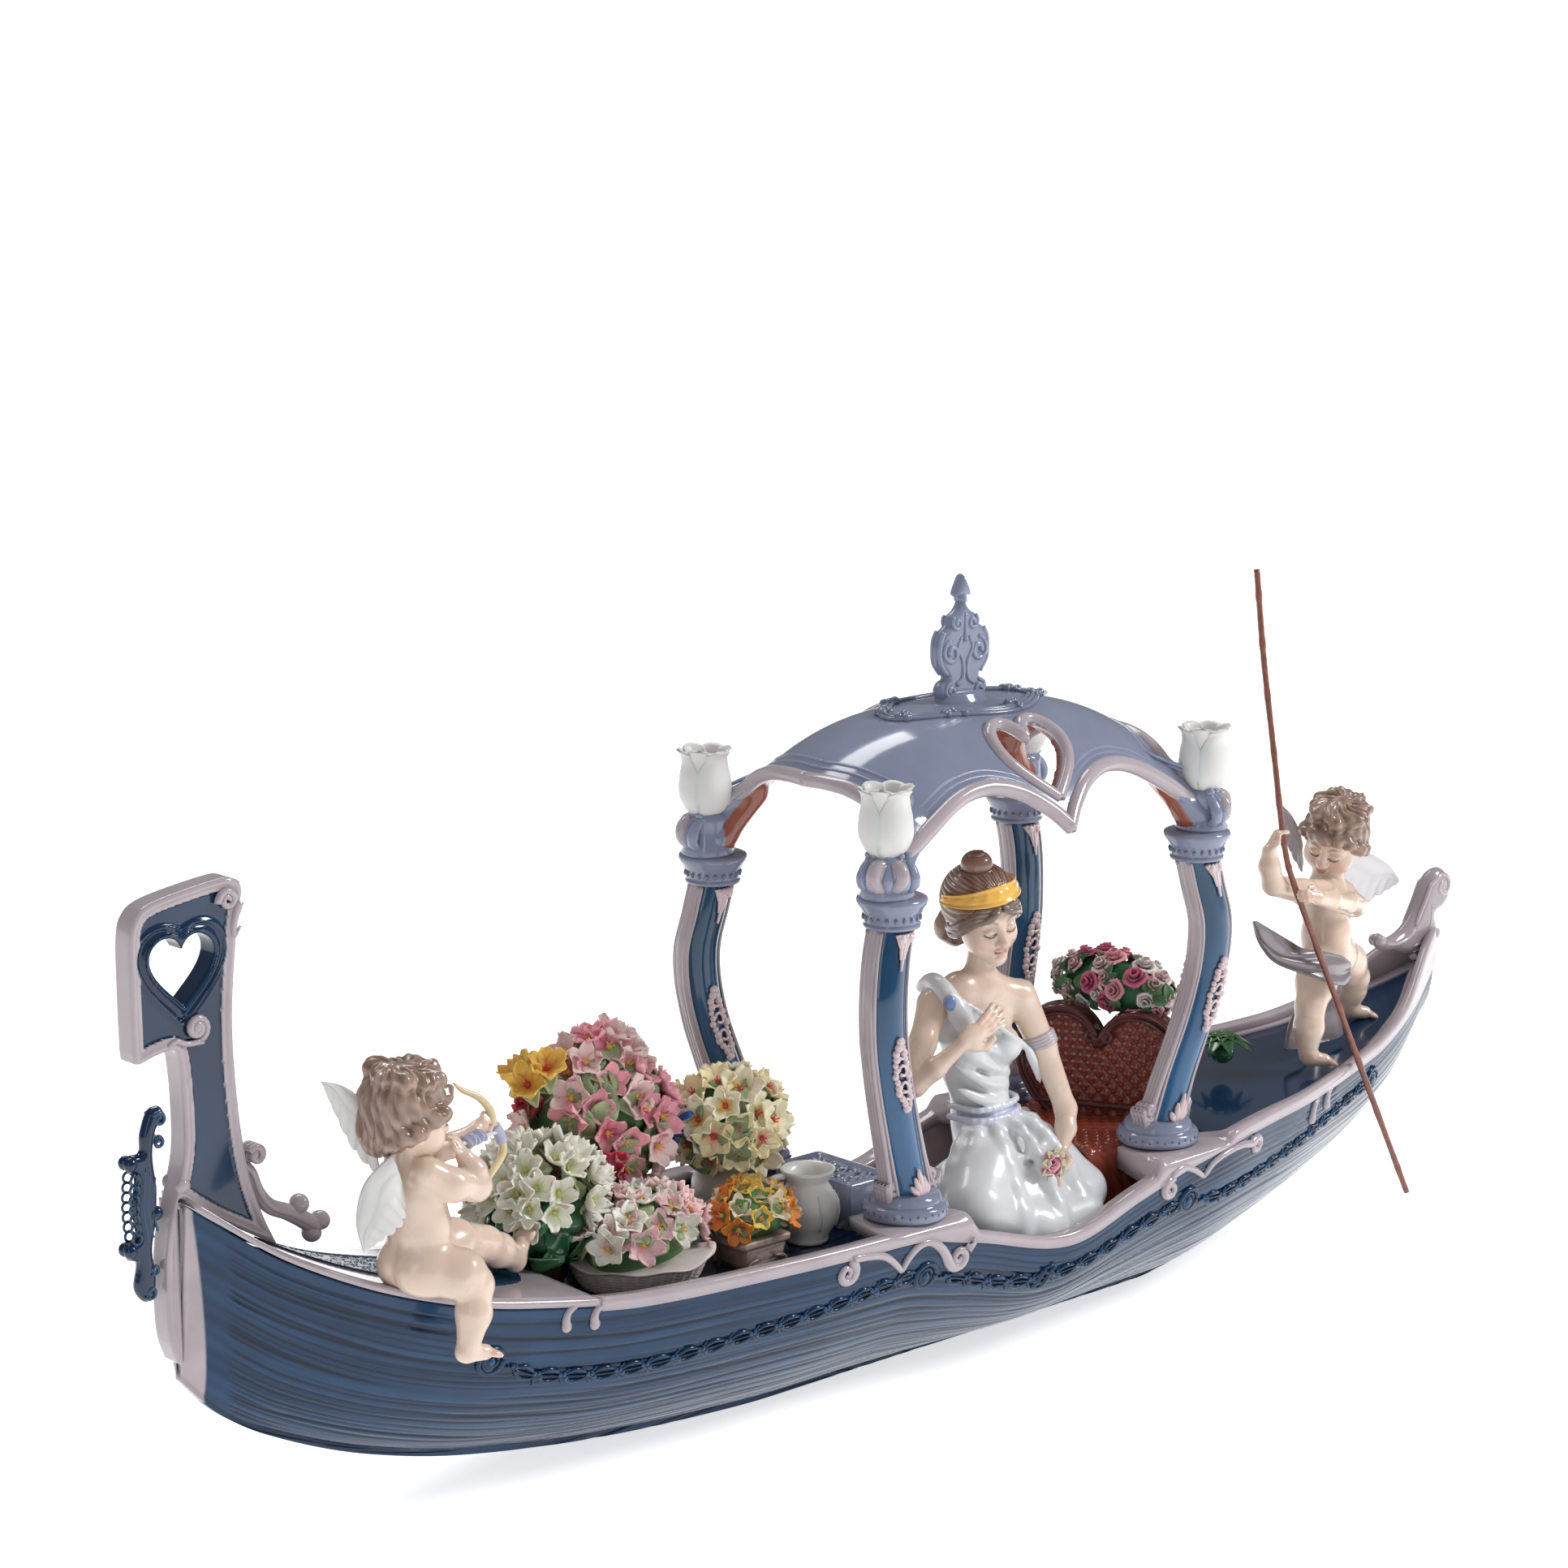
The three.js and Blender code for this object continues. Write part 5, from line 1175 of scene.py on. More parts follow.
# ---- seated lady -----------------------------------------------------------------------------------
def lady():
    skin = Clay((-62, -66, 72), (56, 14, 200), 0.6)
    skin.egg((-2, -13, 152), (21, 11.5, 15), turn=axes_facing((-0.24, -0.97, 0)), soft=4)
    skin.egg((-1, -13.5, 134), (16.5, 11, 18), turn=axes_facing((-0.24, -0.97, 0)), soft=5)
    for x, y in ((-12.5, -20), (6, -24.5)):
        skin.egg((x, y, 141.5), (8.2, 7.6, 8.0), soft=3.5)
    skin.chain([(-24, -9, 163), (-10, -11.5, 167.5), (4, -14.5, 167.5), (20, -19.5, 160.5)],
               [7.2, 7.4, 7.4, 7.6], soft=5)
    skin.limb((-1, -13.5, 165), (3.5, -13.5, 188), 7.2, 6.2, soft=4)
    skin.chain([(-26, -10, 162), (-37, -15, 148), (-49, -22, 131)], [7.4, 6.2, 5.0], soft=3)
    skin.chain([(-49, -22, 131), (-42, -28, 139), (-31, -34.5, 149.5)], [5.2, 4.8, 3.1], soft=2.5)
    hand(skin, (-32, -34.5, 149), (-20, -38.5, 157), (0.35, -0.75, 0.35), 16.5, 1, 0.32)
    skin.chain([(22, -20, 160), (30, -27, 136), (37, -36, 106)], [7.8, 6.4, 5.1], soft=3)
    skin.chain([(37, -36, 106), (33, -40, 98), (25, -44.5, 89.5)], [5.2, 4.8, 3.2], soft=2.5)
    hand(skin, (26, -44.5, 90), (15, -49, 83), (0.1, 0.3, 0.95), 14.0, -1, 0.5)
    points, faces = skin.mesh()
    # Blush on elbows, hands and shoulder; the brownish patch on the throat under the chin is a painted
    # shadow.
    skin_spots = [((-49, -22, 131), (8, 8, 8), BLUSH, 0.25), ((38, -36, 105), (8, 8, 8), BLUSH, 0.25),
             ((-20, -38, 158), (7, 7, 7), BLUSH, 0.25), ((14, -49, 84), (7, 7, 7), BLUSH, 0.25),
             ((24, -21, 160), (9, 9, 9), BLUSH, 0.12), ((0, -22, 176), (5, 8, 12), (0.62, 0.44, 0.36), 0.25)]
    body = Piece()
    body.add(points, faces, painted(points, SKIN, skin_spots))
    body.object("lady_skin", FLESH, "porcelain_skin")

    dress = Clay((-58, -76, 42), (64, 16, 180), 0.65)
    dress.egg((-2, -13, 152), (22, 12.8, 16), turn=axes_facing((-0.24, -0.97, 0)), soft=4)
    dress.egg((-1, -13.5, 132), (17.5, 12.4, 20), turn=axes_facing((-0.24, -0.97, 0)), soft=5)
    for x, y in ((-12.5, -20), (6, -24.5)):
        dress.egg((x, y, 141), (9.4, 9.0, 9.0), soft=4)

    def neckline(p):
        cut = 0.80 * (p[..., 0] + 24) + (p[..., 2] - 170.5) + 0.10 * (p[..., 1] + 14)
        strap = np.maximum(-(p[..., 0] + 33.5) * 0.9 - (p[..., 2] - 150) * 0.25, 0)
        return np.maximum(cut * 0.75, strap - 1.5)
    dress.keep(neckline, soft=1.2)
    dress.chain(curve([(-21, 2, 168), (-22, -6, 172.5), (-24, -15, 170.5), (-22, -21.5, 163),
                       (-18, -24.5, 155)], 12),
                [2.8, 3.0, 3.2, 3.4, 3.6, 3.8, 3.8, 3.8, 3.9, 4.0, 4.0, 4.0], soft=2.5)
    dress.limb((1, -14, 119), (2, -15, 104), 13.2, 14.5, soft=5)
    dress.egg((4, -25, 70), (43, 30, 22), soft=6)
    dress.chain([(6, -16, 96), (-14, -32, 84), (-30, -43, 74)], [15, 16, 15], soft=5)
    dress.chain([(6, -16, 96), (26, -34, 80), (41, -42, 67)], [15, 15, 13], soft=5)
    dress.chain(curve([(-20, -20, 97), (-8, -38, 91), (12, -42, 92), (26, -33, 95)], 14), 1.5, soft=2.5)
    dress.chain([(-30, -44, 70), (0, -53, 60), (30, -52, 60)], [13, 12, 12], soft=6)
    random = np.random.default_rng(21)
    for i in range(7):
        bearing = -math.pi + math.pi * (i + 0.5) / 7 + random.uniform(-0.12, 0.12)
        wobble = random.uniform(-0.12, 0.12)
        path = []
        for t in np.linspace(0, 1, 7):
            out = 14.5 + 33 * t ** 0.9
            a = bearing + wobble * math.sin(3 * t + i)
            path.append((4 + out * 1.08 * math.cos(a), -17 + out * 0.98 * math.sin(a), 106 - 46 * t ** 1.5))
        dress.chain(path, np.linspace(1.1, 2.2, 7) * random.uniform(0.8, 1.15), soft=5.0)
    for i in range(4):
        share = i / 3
        top = np.array((-24.5 + 3 * share, -20.5 - 2.0 * share, 158 - 34 * share))
        low = np.array((10.0 - 3 * share, -24.5, 133 - 18 * share))
        mid = (top + low) / 2 + (-1.0, -5.0 + 1.5 * share, -2.5)
        dress.chain(curve([top, mid, low], 9), [0.4, 0.6, 0.8, 0.9, 0.9, 0.8, 0.6, 0.5, 0.4], soft=4.5)
    hem = curve([(-25, -21, 169), (-13, -26.5, 160.5), (-2, -30, 151.5), (9, -32.5, 143), (18, -30, 136.5)],
                18)
    dress.chain(hem, 1.1, soft=1.4)
    dress.chain(curve([(18, -30, 136), (24, -28, 128), (30, -26, 118)], 8),
                [1.1, 1.3, 1.3, 1.2, 1.1, 0.9, 0.7, 0.5], soft=3)
    dress.chain(curve([(-17, -13, 108), (-12, -27, 107.5), (2, -29.5, 107.5), (15, -26, 108.5),
                       (18, -15, 109.5)], 16),
                1.6, soft=1.0)
    dress.chain(curve([(-16, -13, 113), (-11.5, -26, 112.5), (2, -28.6, 112.5), (14.5, -25.4, 113.5),
                       (17, -15, 114)], 16),
                1.4, soft=1.0)
    dress.keep(lambda p: 50.5 - p[..., 2], soft=1.5)
    points, faces = dress.mesh()
    colour = np.tile(np.array(DRESS), (len(points), 1))
    belt = np.exp(-(((points[:, 2] - 110.3 - 0.03 * points[:, 0]) / 3.6) ** 4))
    colour = blend_colour(colour, (0.52, 0.55, 0.68), belt * 0.9)
    body = Piece()
    body.add(points, faces, colour)
    body.object("lady_dress", SATIN, "porcelain_white", ["lady_body"])

    trim = Piece()
    brooch = np.array((-26.5, -22.6, 166))
    facing = axes_facing((-0.35, -0.9, 0.25))
    trim.ball(brooch, (3.1, 1.3, 3.1), (0.13, 0.20, 0.38), turn=facing)
    ring = np.linspace(0, 2 * math.pi, 21)
    trim.tube(np.stack([3.2 * np.cos(ring), 0 * ring - 0.3, 3.2 * np.sin(ring)], -1) @ facing.T + brooch,
              0.55, LILAC)
    trim.object("lady_brooch", GLOSS, "porcelain_blue_grey")
    armlet = Piece()
    axis = unit((7, -9, -27))
    side = unit(np.cross(axis, (0, 1, 0)))
    other = np.cross(axis, side)
    at = np.array((28.6, -25.6, 141.0))
    loop = [at + 7.0 * (math.cos(a) * side + math.sin(a) * other) for a in ring]
    for shift in (0.0, 1.5, 3.0, 4.5):
        armlet.tube([p + axis * shift for p in loop], 1.15, np.array(MAUVE) * 1.2, sides=8)
    armlet.object("lady_armlet", SATIN, "porcelain_mauve")

    centre = np.array((3.6, -13.0, 200.4))
    turn = head(centre, (-0.17, -0.985, -0.27), 0.17, 1.04, False, "lady_face", "lady_head")
    hair = Piece()
    cap = Clay((-23, -38, -32), (23, 20, 28), 0.5)
    cap.egg((0, -4, 7), (17.2, 18.4, 17.4), soft=1)
    cap.egg((0, 19.5, -7.5), (12.8, 16.5, 15.5), soft=2.5, carve=True)
    cap.keep(lambda p: -(p[..., 2] + 11 + 0.1 * p[..., 1]), soft=2)
    cap.egg((-2, -24.0, -18.0), (10.6, 9.6, 9.6), soft=4)

    def strands(p):
        to_bun = np.arctan2(p[..., 0], p[..., 2] - 14)
        about = np.sqrt(p[..., 0] ** 2 + (p[..., 2] - 20) ** 2 + (p[..., 1] + 9) ** 2)
        return (0.34 * np.sin(to_bun * 34 + 0.22 * about + 1.4 * np.sin(about * 0.35))
                * smoothstep(about, 5, 9))
    cap.raise_by(strands)
    points, faces = cap.mesh()
    hair.add(points * 1.02 @ turn.T + centre, faces,
             blend_colour(HAIR, HAIR_LIGHT, 0.35 + 0.35 * np.sin(points[:, 0] * 1.3 + points[:, 2] * 0.6)))

    def place(path):
        return np.asarray(path, float) * 1.02 @ turn.T + centre
    hair.ball(place([(0, -6, 24.5)])[0], (7.6, 7.6, 6.6), HAIR, rows=14, sides=20)
    for i in range(5):
        ring_path = [(7.0 * math.cos(a) * (1 - i * 0.17), -6 + 7.0 * math.sin(a) * (1 - i * 0.17),
                      22.0 + i * 1.9 + 0.8 * math.sin(a)) for a in np.linspace(i, i + 2 * math.pi, 22)]
        hair.tube(place(ring_path), 1.5, blend_colour(HAIR, HAIR_LIGHT, 0.2 + 0.12 * i), sides=8)
    for s in (-1, 1):
        for i in range(4):
            lift = i * 1.5
            path = curve([(s * 0.6, 14.9 - i * 0.5, 10.4 + lift * 0.7),
                          (s * 5.8, 14.8 - i * 0.7, 7.8 + lift * 0.8),
                          (s * 10.2, 12.2 - i * 0.6, 6.4 + lift * 0.8),
                          (s * 13.4, 8.4 - i * 0.4, 1.8 + lift * 0.8),
                          (s * 15.2, 3.2, -2.6 + lift * 0.9), (s * 15.0, -4.0, -6.5 + lift * 0.9),
                          (s * 11.0, -13, -10.0 + lift * 0.9)], 34)
            wave = np.sin(np.linspace(0, 15 + i, 34) + i * 1.1)
            path[:, 2] += 0.9 * wave
            path[:, 1] += 0.5 * wave
            tone = blend_colour(HAIR, HAIR_LIGHT, 0.9 - 0.10 * i)
            hair.tube(place(path), np.interp(np.linspace(0, 1, 34), [0, 0.1, 0.7, 1], [0.7, 1.8, 1.9, 0.8]),
                      tone, sides=8)
    for i in range(4):
        path = curve([(-9 + i, -16, -10 - 3.4 * i), (-2, -34.0 + 1.6 * abs(i - 1.5), -12 - 3.6 * i),
                      (7 - i, -16, -10 - 3.4 * i)], 16)
        hair.tube(place(path), 1.9, blend_colour(HAIR, HAIR_LIGHT, 0.1 + 0.1 * i), sides=8)
    hair.object("lady_hair", HAIR_GLAZE, "porcelain_hair")
    band = Piece()
    def on_cap(bearing, lift, proud):
        """A point on the hair at a bearing from the front and a lift above its middle, in radians."""
        flat = math.cos(lift)
        return ((17.2 + proud) * math.sin(bearing) * flat, (18.4 + proud) * math.cos(bearing) * flat - 4,
                7 + (17.4 + proud) * math.sin(lift))

    net = []
    for bearing in np.linspace(-1.75, 1.75, 49):
        middle = math.radians(33) - 0.30 * (1 - math.cos(bearing))
        half = math.radians(12.5) * (0.35 + 0.65 * math.cos(bearing / 2) ** 3)
        bump = 0.5 * max(0, math.cos(bearing * 16))
        row = [on_cap(bearing, middle + half * v, 1.7 + 0.7 * (abs(v) > 0.8) + bump * (abs(v) < 0.4))
               for v in np.linspace(-1, 1, 13)]
        back = [on_cap(bearing, middle + half * v, -0.8) for v in np.linspace(1, -1, 13)]
        net.append(place(row + back))
    band.grid(net, BAND_YELLOW, around=True, caps=True)
    band.object("lady_headband", SMOOTH, "porcelain_yellow")


lady()


# ---- canopy -------------------------------------------------------------------------------------------
CROWN_Z, END_DROP, SIDE_DROP = 301.2, 32.8, 48.8     # height of the crown, and falls to its ends and sides
HALF_LONG, HALF_WIDE, SIDE_POWER = 105, 70, 2.7      # reach of the two falls, and the side curve's power


def vault_top(x, y):
    return CROWN_Z - END_DROP * np.abs(x / HALF_LONG) ** 3 - SIDE_DROP * np.abs(y / HALF_WIDE) ** SIDE_POWER


HEART_Z = 280

SIDE_EDGE = curve([(0, 250.5), (9, 259.5), (21, 267.3), (34, 271.2), (46, 271.2), (58, 268), (72, 261),
                   (86, 252.5),
                   (97, 246), (105, 242)], 60)
END_EDGE = curve([(0, 275), (12, 275.2), (24, 274), (36, 269.8), (47, 262), (56, 252.5), (63, 243.5)], 44)


def on_side(path, proud=0.0):
    """Side arch points (x, z) stood on the vault's near flank, y positive."""
    x, z = path[:, 0], path[:, 1]
    fall = np.maximum(CROWN_Z - END_DROP * np.abs(x / HALF_LONG) ** 3 - z, 0)
    y = HALF_WIDE * (fall / SIDE_DROP) ** (1 / SIDE_POWER)
    y = y + smoothstep(np.abs(x), 88, 106) * (62 - y)
    return np.stack([x, y + proud, z + proud * 0.5], -1)


def on_end(path, proud=0.0):
    """End arch points (y, z) stood on the vault's end, x positive."""
    y, z = path[:, 0], path[:, 1]
    fall = np.maximum(CROWN_Z - SIDE_DROP * np.abs(y / HALF_WIDE) ** SIDE_POWER - z, 0)
    x = HALF_LONG * (fall / END_DROP) ** (1 / 3)
    x = x + smoothstep(np.abs(y), 44, 64) * (HALF_LONG - x)
    return np.stack([x + proud, y, z + proud * 0.5], -1)


def offset(path, distance):
    """A two dimensional path moved sideways, upwards for an arch."""
    step = np.gradient(path, axis=0)
    normal = np.stack([-step[:, 1], step[:, 0]], -1)
    normal /= np.linalg.norm(normal, axis=1, keepdims=True) + 1e-9
    return path + distance * normal


def canopy():
    clay = Clay((-114, -74, 232), (114, 74, 306), 0.9)
    p = clay.everywhere()
    x, y, z = p[..., 0], p[..., 1], p[..., 2]
    top = vault_top(x, y)
    along = END_DROP * 3 / HALF_LONG * (x / HALF_LONG) ** 2
    aside = SIDE_DROP * SIDE_POWER / HALF_WIDE * np.abs(y / HALF_WIDE) ** 1.7
    slope = np.sqrt(1 + along ** 2 + aside ** 2)
    half_thick = 2.6
    shell = np.abs(z - (top - half_thick)) / slope - half_thick
    edge = np.maximum(np.abs(x) - 107, np.abs(y) - (61 + 9 * (1 - (x / 107) ** 2)))
    field = np.maximum(shell, edge)
    side_open = np.concatenate([SIDE_EDGE[::-1] * (-1, 1), SIDE_EDGE[1:], [[105, 200], [-105, 200]]])
    flat_x, flat_z = x[:, 0, :], z[:, 0, :]
    opening = np.repeat(polygon_distance(flat_x, flat_z, side_open)[:, None, :], x.shape[1], 1)
    opening = np.where(np.abs(y) > 28, opening, 50)
    end_open = np.concatenate([END_EDGE[::-1] * (-1, 1), END_EDGE[1:], [[63, 200], [-63, 200]]])
    other = np.repeat(polygon_distance(y[0], z[0], end_open)[None], x.shape[0], 0)
    other = np.where(np.abs(x) > 55, other, 50)
    hearts = np.repeat(polygon_distance(flat_x, flat_z, heart(0, HEART_Z, 37, 27))[:, None, :], x.shape[1], 1)
    hearts = np.where(np.abs(y) > 24, hearts, 50)
    for hole in (opening, other, hearts):
        field = np.maximum(field, -hole)
    clay.field = field.astype(np.float32)
    for sx in (-1, 1):
        for sy in (-1, 1):
            clay.egg((sx * 101, sy * 58, 242), (9.5, 8.0, 7.5), soft=5)
            clay.limb((sx * 99, sy * 56.5, 243), (sx * 83, sy * 48.5, 261), 8.0, 5.5, soft=8)
    points, faces = clay.mesh()
    inside = (points[:, 2] < vault_top(points[:, 0], points[:, 1]) - 3.0) & (np.abs(points[:, 0]) < 102) & (
        np.abs(points[:, 1]) < 63)
    piece = Piece()
    piece.add(points, faces, np.where(inside[:, None], TERRACOTTA, BLUE_GREY))
    for sy in (-1, 1):
        for sx in (-1, 1):
            flip = np.array((sx, sy, 1.0))
            rim = on_side(offset(SIDE_EDGE, 1.6), 0.6) * flip
            curl = spiral((110.2, 246.6), 6.2, 1.6, -125, 1.35)
            curl = np.stack([curl[:, 0], np.full(26, 62.6), curl[:, 1]], -1) * flip
            path = np.concatenate([rim[:-2], curl])
            size = np.concatenate([np.linspace(3.6, 4.0, len(rim) - 2), np.linspace(4.0, 1.8, 26)])
            piece.tube(path, size, MAUVE, sides=12)
            piece.ball((sx * 110.2, sy * 64.0, 246.6), (5.6, 2.4, 5.6), np.array(MAUVE) * 0.92)
            end = on_end(offset(END_EDGE, 1.6), 0.6) * flip
            curl = spiral((66.5, 246.4), 5.8, 1.6, -125, 1.35)
            curl = np.stack([np.full(26, 105.6), curl[:, 0], curl[:, 1]], -1) * flip
            path = np.concatenate([end[:-2], curl])
            size = np.concatenate([np.linspace(3.6, 3.8, len(end) - 2), np.linspace(3.8, 1.7, 26)])
            piece.tube(path, size, MAUVE, sides=12)
            piece.ball((sx * 107.0, sy * 66.5, 246.4), (2.4, 5.2, 5.2), np.array(MAUVE) * 0.92)
            for away in (6.2, 8.4):
                bead = on_side(offset(SIDE_EDGE, away)[:-5], 0.2) * flip
                piece.tube(bead, 0.95, np.array(BLUE_GREY) * 1.25, sides=8)
                bead = on_end(offset(END_EDGE, away)[:-4], 0.2) * flip
                piece.tube(bead, 0.95, np.array(BLUE_GREY) * 1.25, sides=8)
        lobe = heart(0, HEART_Z, 41.5, 31, 96)
        lobe = np.concatenate([lobe, lobe[:1]])
        piece.tube(on_side(lobe, 0.4) * (1, sy, 1), 3.0, MAUVE, sides=10)
    piece.object("canopy", SMOOTH, "porcelain_blue_grey", ["canopy_vault"])

    corners = Piece()
    for sx in (-1, 1):
        for sy in (-1, 1):
            out = unit((sx, sy, 0))
            across = np.cross(out, (0, 0, 1))
            for turn in (-0.62, -0.32, 0.0, 0.32, 0.62):
                way = unit(out + across * turn * 1.6)
                foot = np.array((sx * 99, sy * 55.5, 236))
                leaf = curve([foot + way * 8, foot + way * 15.5 + (0, 0, 5), foot + way * 15.0 + (0, 0, 11),
                              foot + way * 10.5 + (0, 0, 16.5), foot + way * 13.5 + (0, 0, 18.5)], 16)
                corners.tube(leaf, np.interp(np.linspace(0, 1, 16), [0, 0.4, 0.85, 1], [1.6, 2.9, 1.8, 1.2]),
                             np.array(BLUE_GREY) * 1.15, sides=8)
            corners.turned([(11, 233.5), (12.5, 236), (10, 240), (9.4, 250), (9.8, 252), (8, 254), (4, 255)],
                           (sx * 103, sy * 58.7, 0), BLUE_GREY, sides=28)
    corners.object("canopy_corners", SMOOTH, "porcelain_blue_grey")


def collar():
    piece = Piece()
    turn = np.linspace(0, 2 * math.pi, 121)
    for away, size in ((-2.2, 1.1), (0.0, 1.3), (2.2, 1.1)):
        wobble = 1.6 * np.sin(turn * 4 + 0.5) + away
        x, y = (45 + wobble) * np.cos(turn), (23 + wobble) * np.sin(turn)
        piece.tube(np.stack([x, y, vault_top(x, y) + 0.7], -1), size, np.array(BLUE_GREY) * 0.9, sides=8)
    x, y = 30 * np.cos(turn), 14 * np.sin(turn)
    random = np.random.default_rng(7)
    for at in (-2.75, -2.1, -1.25, -0.35, 0.4, 1.3, 2.2, 2.9):
        for _ in range(7):
            a = at + random.uniform(-0.14, 0.14)
            away = random.uniform(-3.2, 3.4)
            bx, by = (45 + away) * math.cos(a), (23 + away) * math.sin(a)
            size = random.uniform(1.4, 2.5)
            piece.ball((bx, by, vault_top(bx, by) + 1.2), (size, size, size), np.array(BLUE_GREY) * 0.85,
                       rows=8, sides=12)
    piece.turned([(17, 298.6), (17, 300.6), (14.5, 302.5), (13.5, 304.5), (12, 305.5), (6, 306)], (0, 0, 0),
                 BLUE_GREY,
                 sides=40, across=0.62)
    piece.object("crown_wreath", SMOOTH, "porcelain_blue_grey", ["crown_collar"])


def finial():
    right = [(0, 360), (1.6, 358), (4.9, 351.5), (4.7, 349.4), (2.2, 349), (1.8, 346.5), (4.5, 343),
             (8.4, 340.6), (9.6, 337),
             (12.6, 334.6), (15.2, 331), (16.2, 324), (15.0, 318), (11.4, 313.4), (11.2, 311.4),
             (15.0, 309.2),
             (15.9, 306), (14.8, 303.2), (16.0, 301.6)]
    path = curve(right, 110)
    outline = np.concatenate([path, path[::-1] * (-1, 1)])
    piece = Piece()
    points, faces, _ = plate(outline, lambda d, x, z: pillow(d, 3.6, 3.2), step=0.5)
    piece.add(points, faces, BLUE_GREY)
    light = np.array(BLUE_GREY) * 1.25
    for side in (-1, 1):
        y = side * 3.5
        for s in (-1, 1):
            big = spiral((s * 8.6, 324.2), 6.2, 1.4, 90 if s > 0 else 90, -1.35 * s)
            piece.tube(lifted(big, y), np.linspace(1.0, 1.6, 26), light, sides=8, up=(0, 1, 0))
            small = spiral((s * 4.9, 337.4), 3.6, 0.8, 60 if s > 0 else 120, -1.3 * s)
            piece.tube(lifted(small, y), np.linspace(0.8, 1.2, 26), light, sides=8, up=(0, 1, 0))
            low = spiral((s * 9.2, 306.4), 3.9, 0.9, 100 if s > 0 else 80, -1.35 * s)
            piece.tube(lifted(low, y), np.linspace(0.8, 1.5, 26), light, sides=8, up=(0, 1, 0))
            ribbon = curve([(s * 2.4, 331), (s * 4.6, 326), (s * 1.4, 319), (s * 1.8, 312), (s * 5.6, 309)],
                           20)
            piece.tube(lifted(ribbon, y), np.linspace(0.8, 1.3, 20), light, sides=8, up=(0, 1, 0))
            edge = curve([(s * 12.6, 334), (s * 15, 329), (s * 14.8, 320), (s * 10.6, 314)], 18)
            piece.tube(lifted(edge, y * 0.72), 1.1, light, sides=8, up=(0, 1, 0))
        piece.tube(lifted(curve([(0, 342), (0, 334), (0, 329)], 10), y), np.linspace(0.6, 1.5, 10), light,
                   up=(0, 1, 0))
        piece.tube(lifted(curve([(0, 357), (0, 352), (0, 347)], 8), y * 0.62), np.linspace(0.6, 1.7, 8),
                   light, up=(0, 1, 0))
    piece.object("finial_scrolls", SMOOTH, "porcelain_blue_grey", ["finial"])


def tulip(place, cx, cy):
    """A flower cup of three outer and three inner petals."""
    piece = Piece()
    profile = fair([[-0.05, 3.5], [0.0, 4.6], [0.12, 8.8], [0.35, 11.2], [0.6, 10.6], [0.8, 9.6],
                    [0.92, 10.2], [1.0, 12.0]])
    u = np.linspace(-1, 1, 21)
    v = np.linspace(0, 1, 26)
    for ring, grow in ((0, 0.0), (1, -1.1)):
        for i in range(3):
            start = 2 * math.pi * i / 3 + (math.pi / 3 if ring else 0) + 0.5
            half = math.radians(66) * (1 - 0.42 * smoothstep(v, 0.62, 1.0))
            angle = start + u[None, :] * half[:, None]
            high = 252.4 + (31.8 if ring else 31.4) * v[:, None] * (1 - 0.06 * u[None, :] ** 2)
            radius = (profile(v)[:, None] + grow + 0.8 * (1 - u[None, :] ** 2)
                      * smoothstep(v, 0.1, 0.5)[:, None])
            radius = radius - 1.5 * np.abs(u[None, :]) ** 3 * smoothstep(v, 0.8, 1.0)[:, None]
            radius = radius + 0.35 * np.sin(5 * u[None, :] + i) * smoothstep(v, 0.85, 1.0)[:, None]
            net = np.stack([cx + radius * np.cos(angle), cy + radius * np.sin(angle),
                            high * np.ones_like(angle)], -1)
            piece.grid(sheet_net(net, 1.1), WHITE, around=True, caps=True)
    # The cup's body is white darkened to 0.85; it shows at the narrow base and inside the cup, a painted
    # shade.
    piece.turned([(2, 251.5), (7, 252), (7.6, 254), (9.6, 262), (9.2, 275), (8.2, 278), (2, 277)],
                 (cx, cy, 0),
                 np.array(WHITE) * 0.85, sides=24)
    piece.object("tulip_cup_" + place, BISQUE_WHITE, "porcelain_white", ["tulip_" + place])


# ---- columns -------------------------------------------------------------------------------------------
SHAFT_R, SHAFT_NEAR = 9.6, 9.4            # half the shaft's width along x and towards the viewer
COLUMN_PATH = [(84, 53.5, 95), (86, 54, 101), (92, 55.5, 120), (101, 59, 147), (106.5, 61, 170),
               (107.5, 61.5, 190),
               (104, 59.5, 208), (100.3, 58.8, 222)]


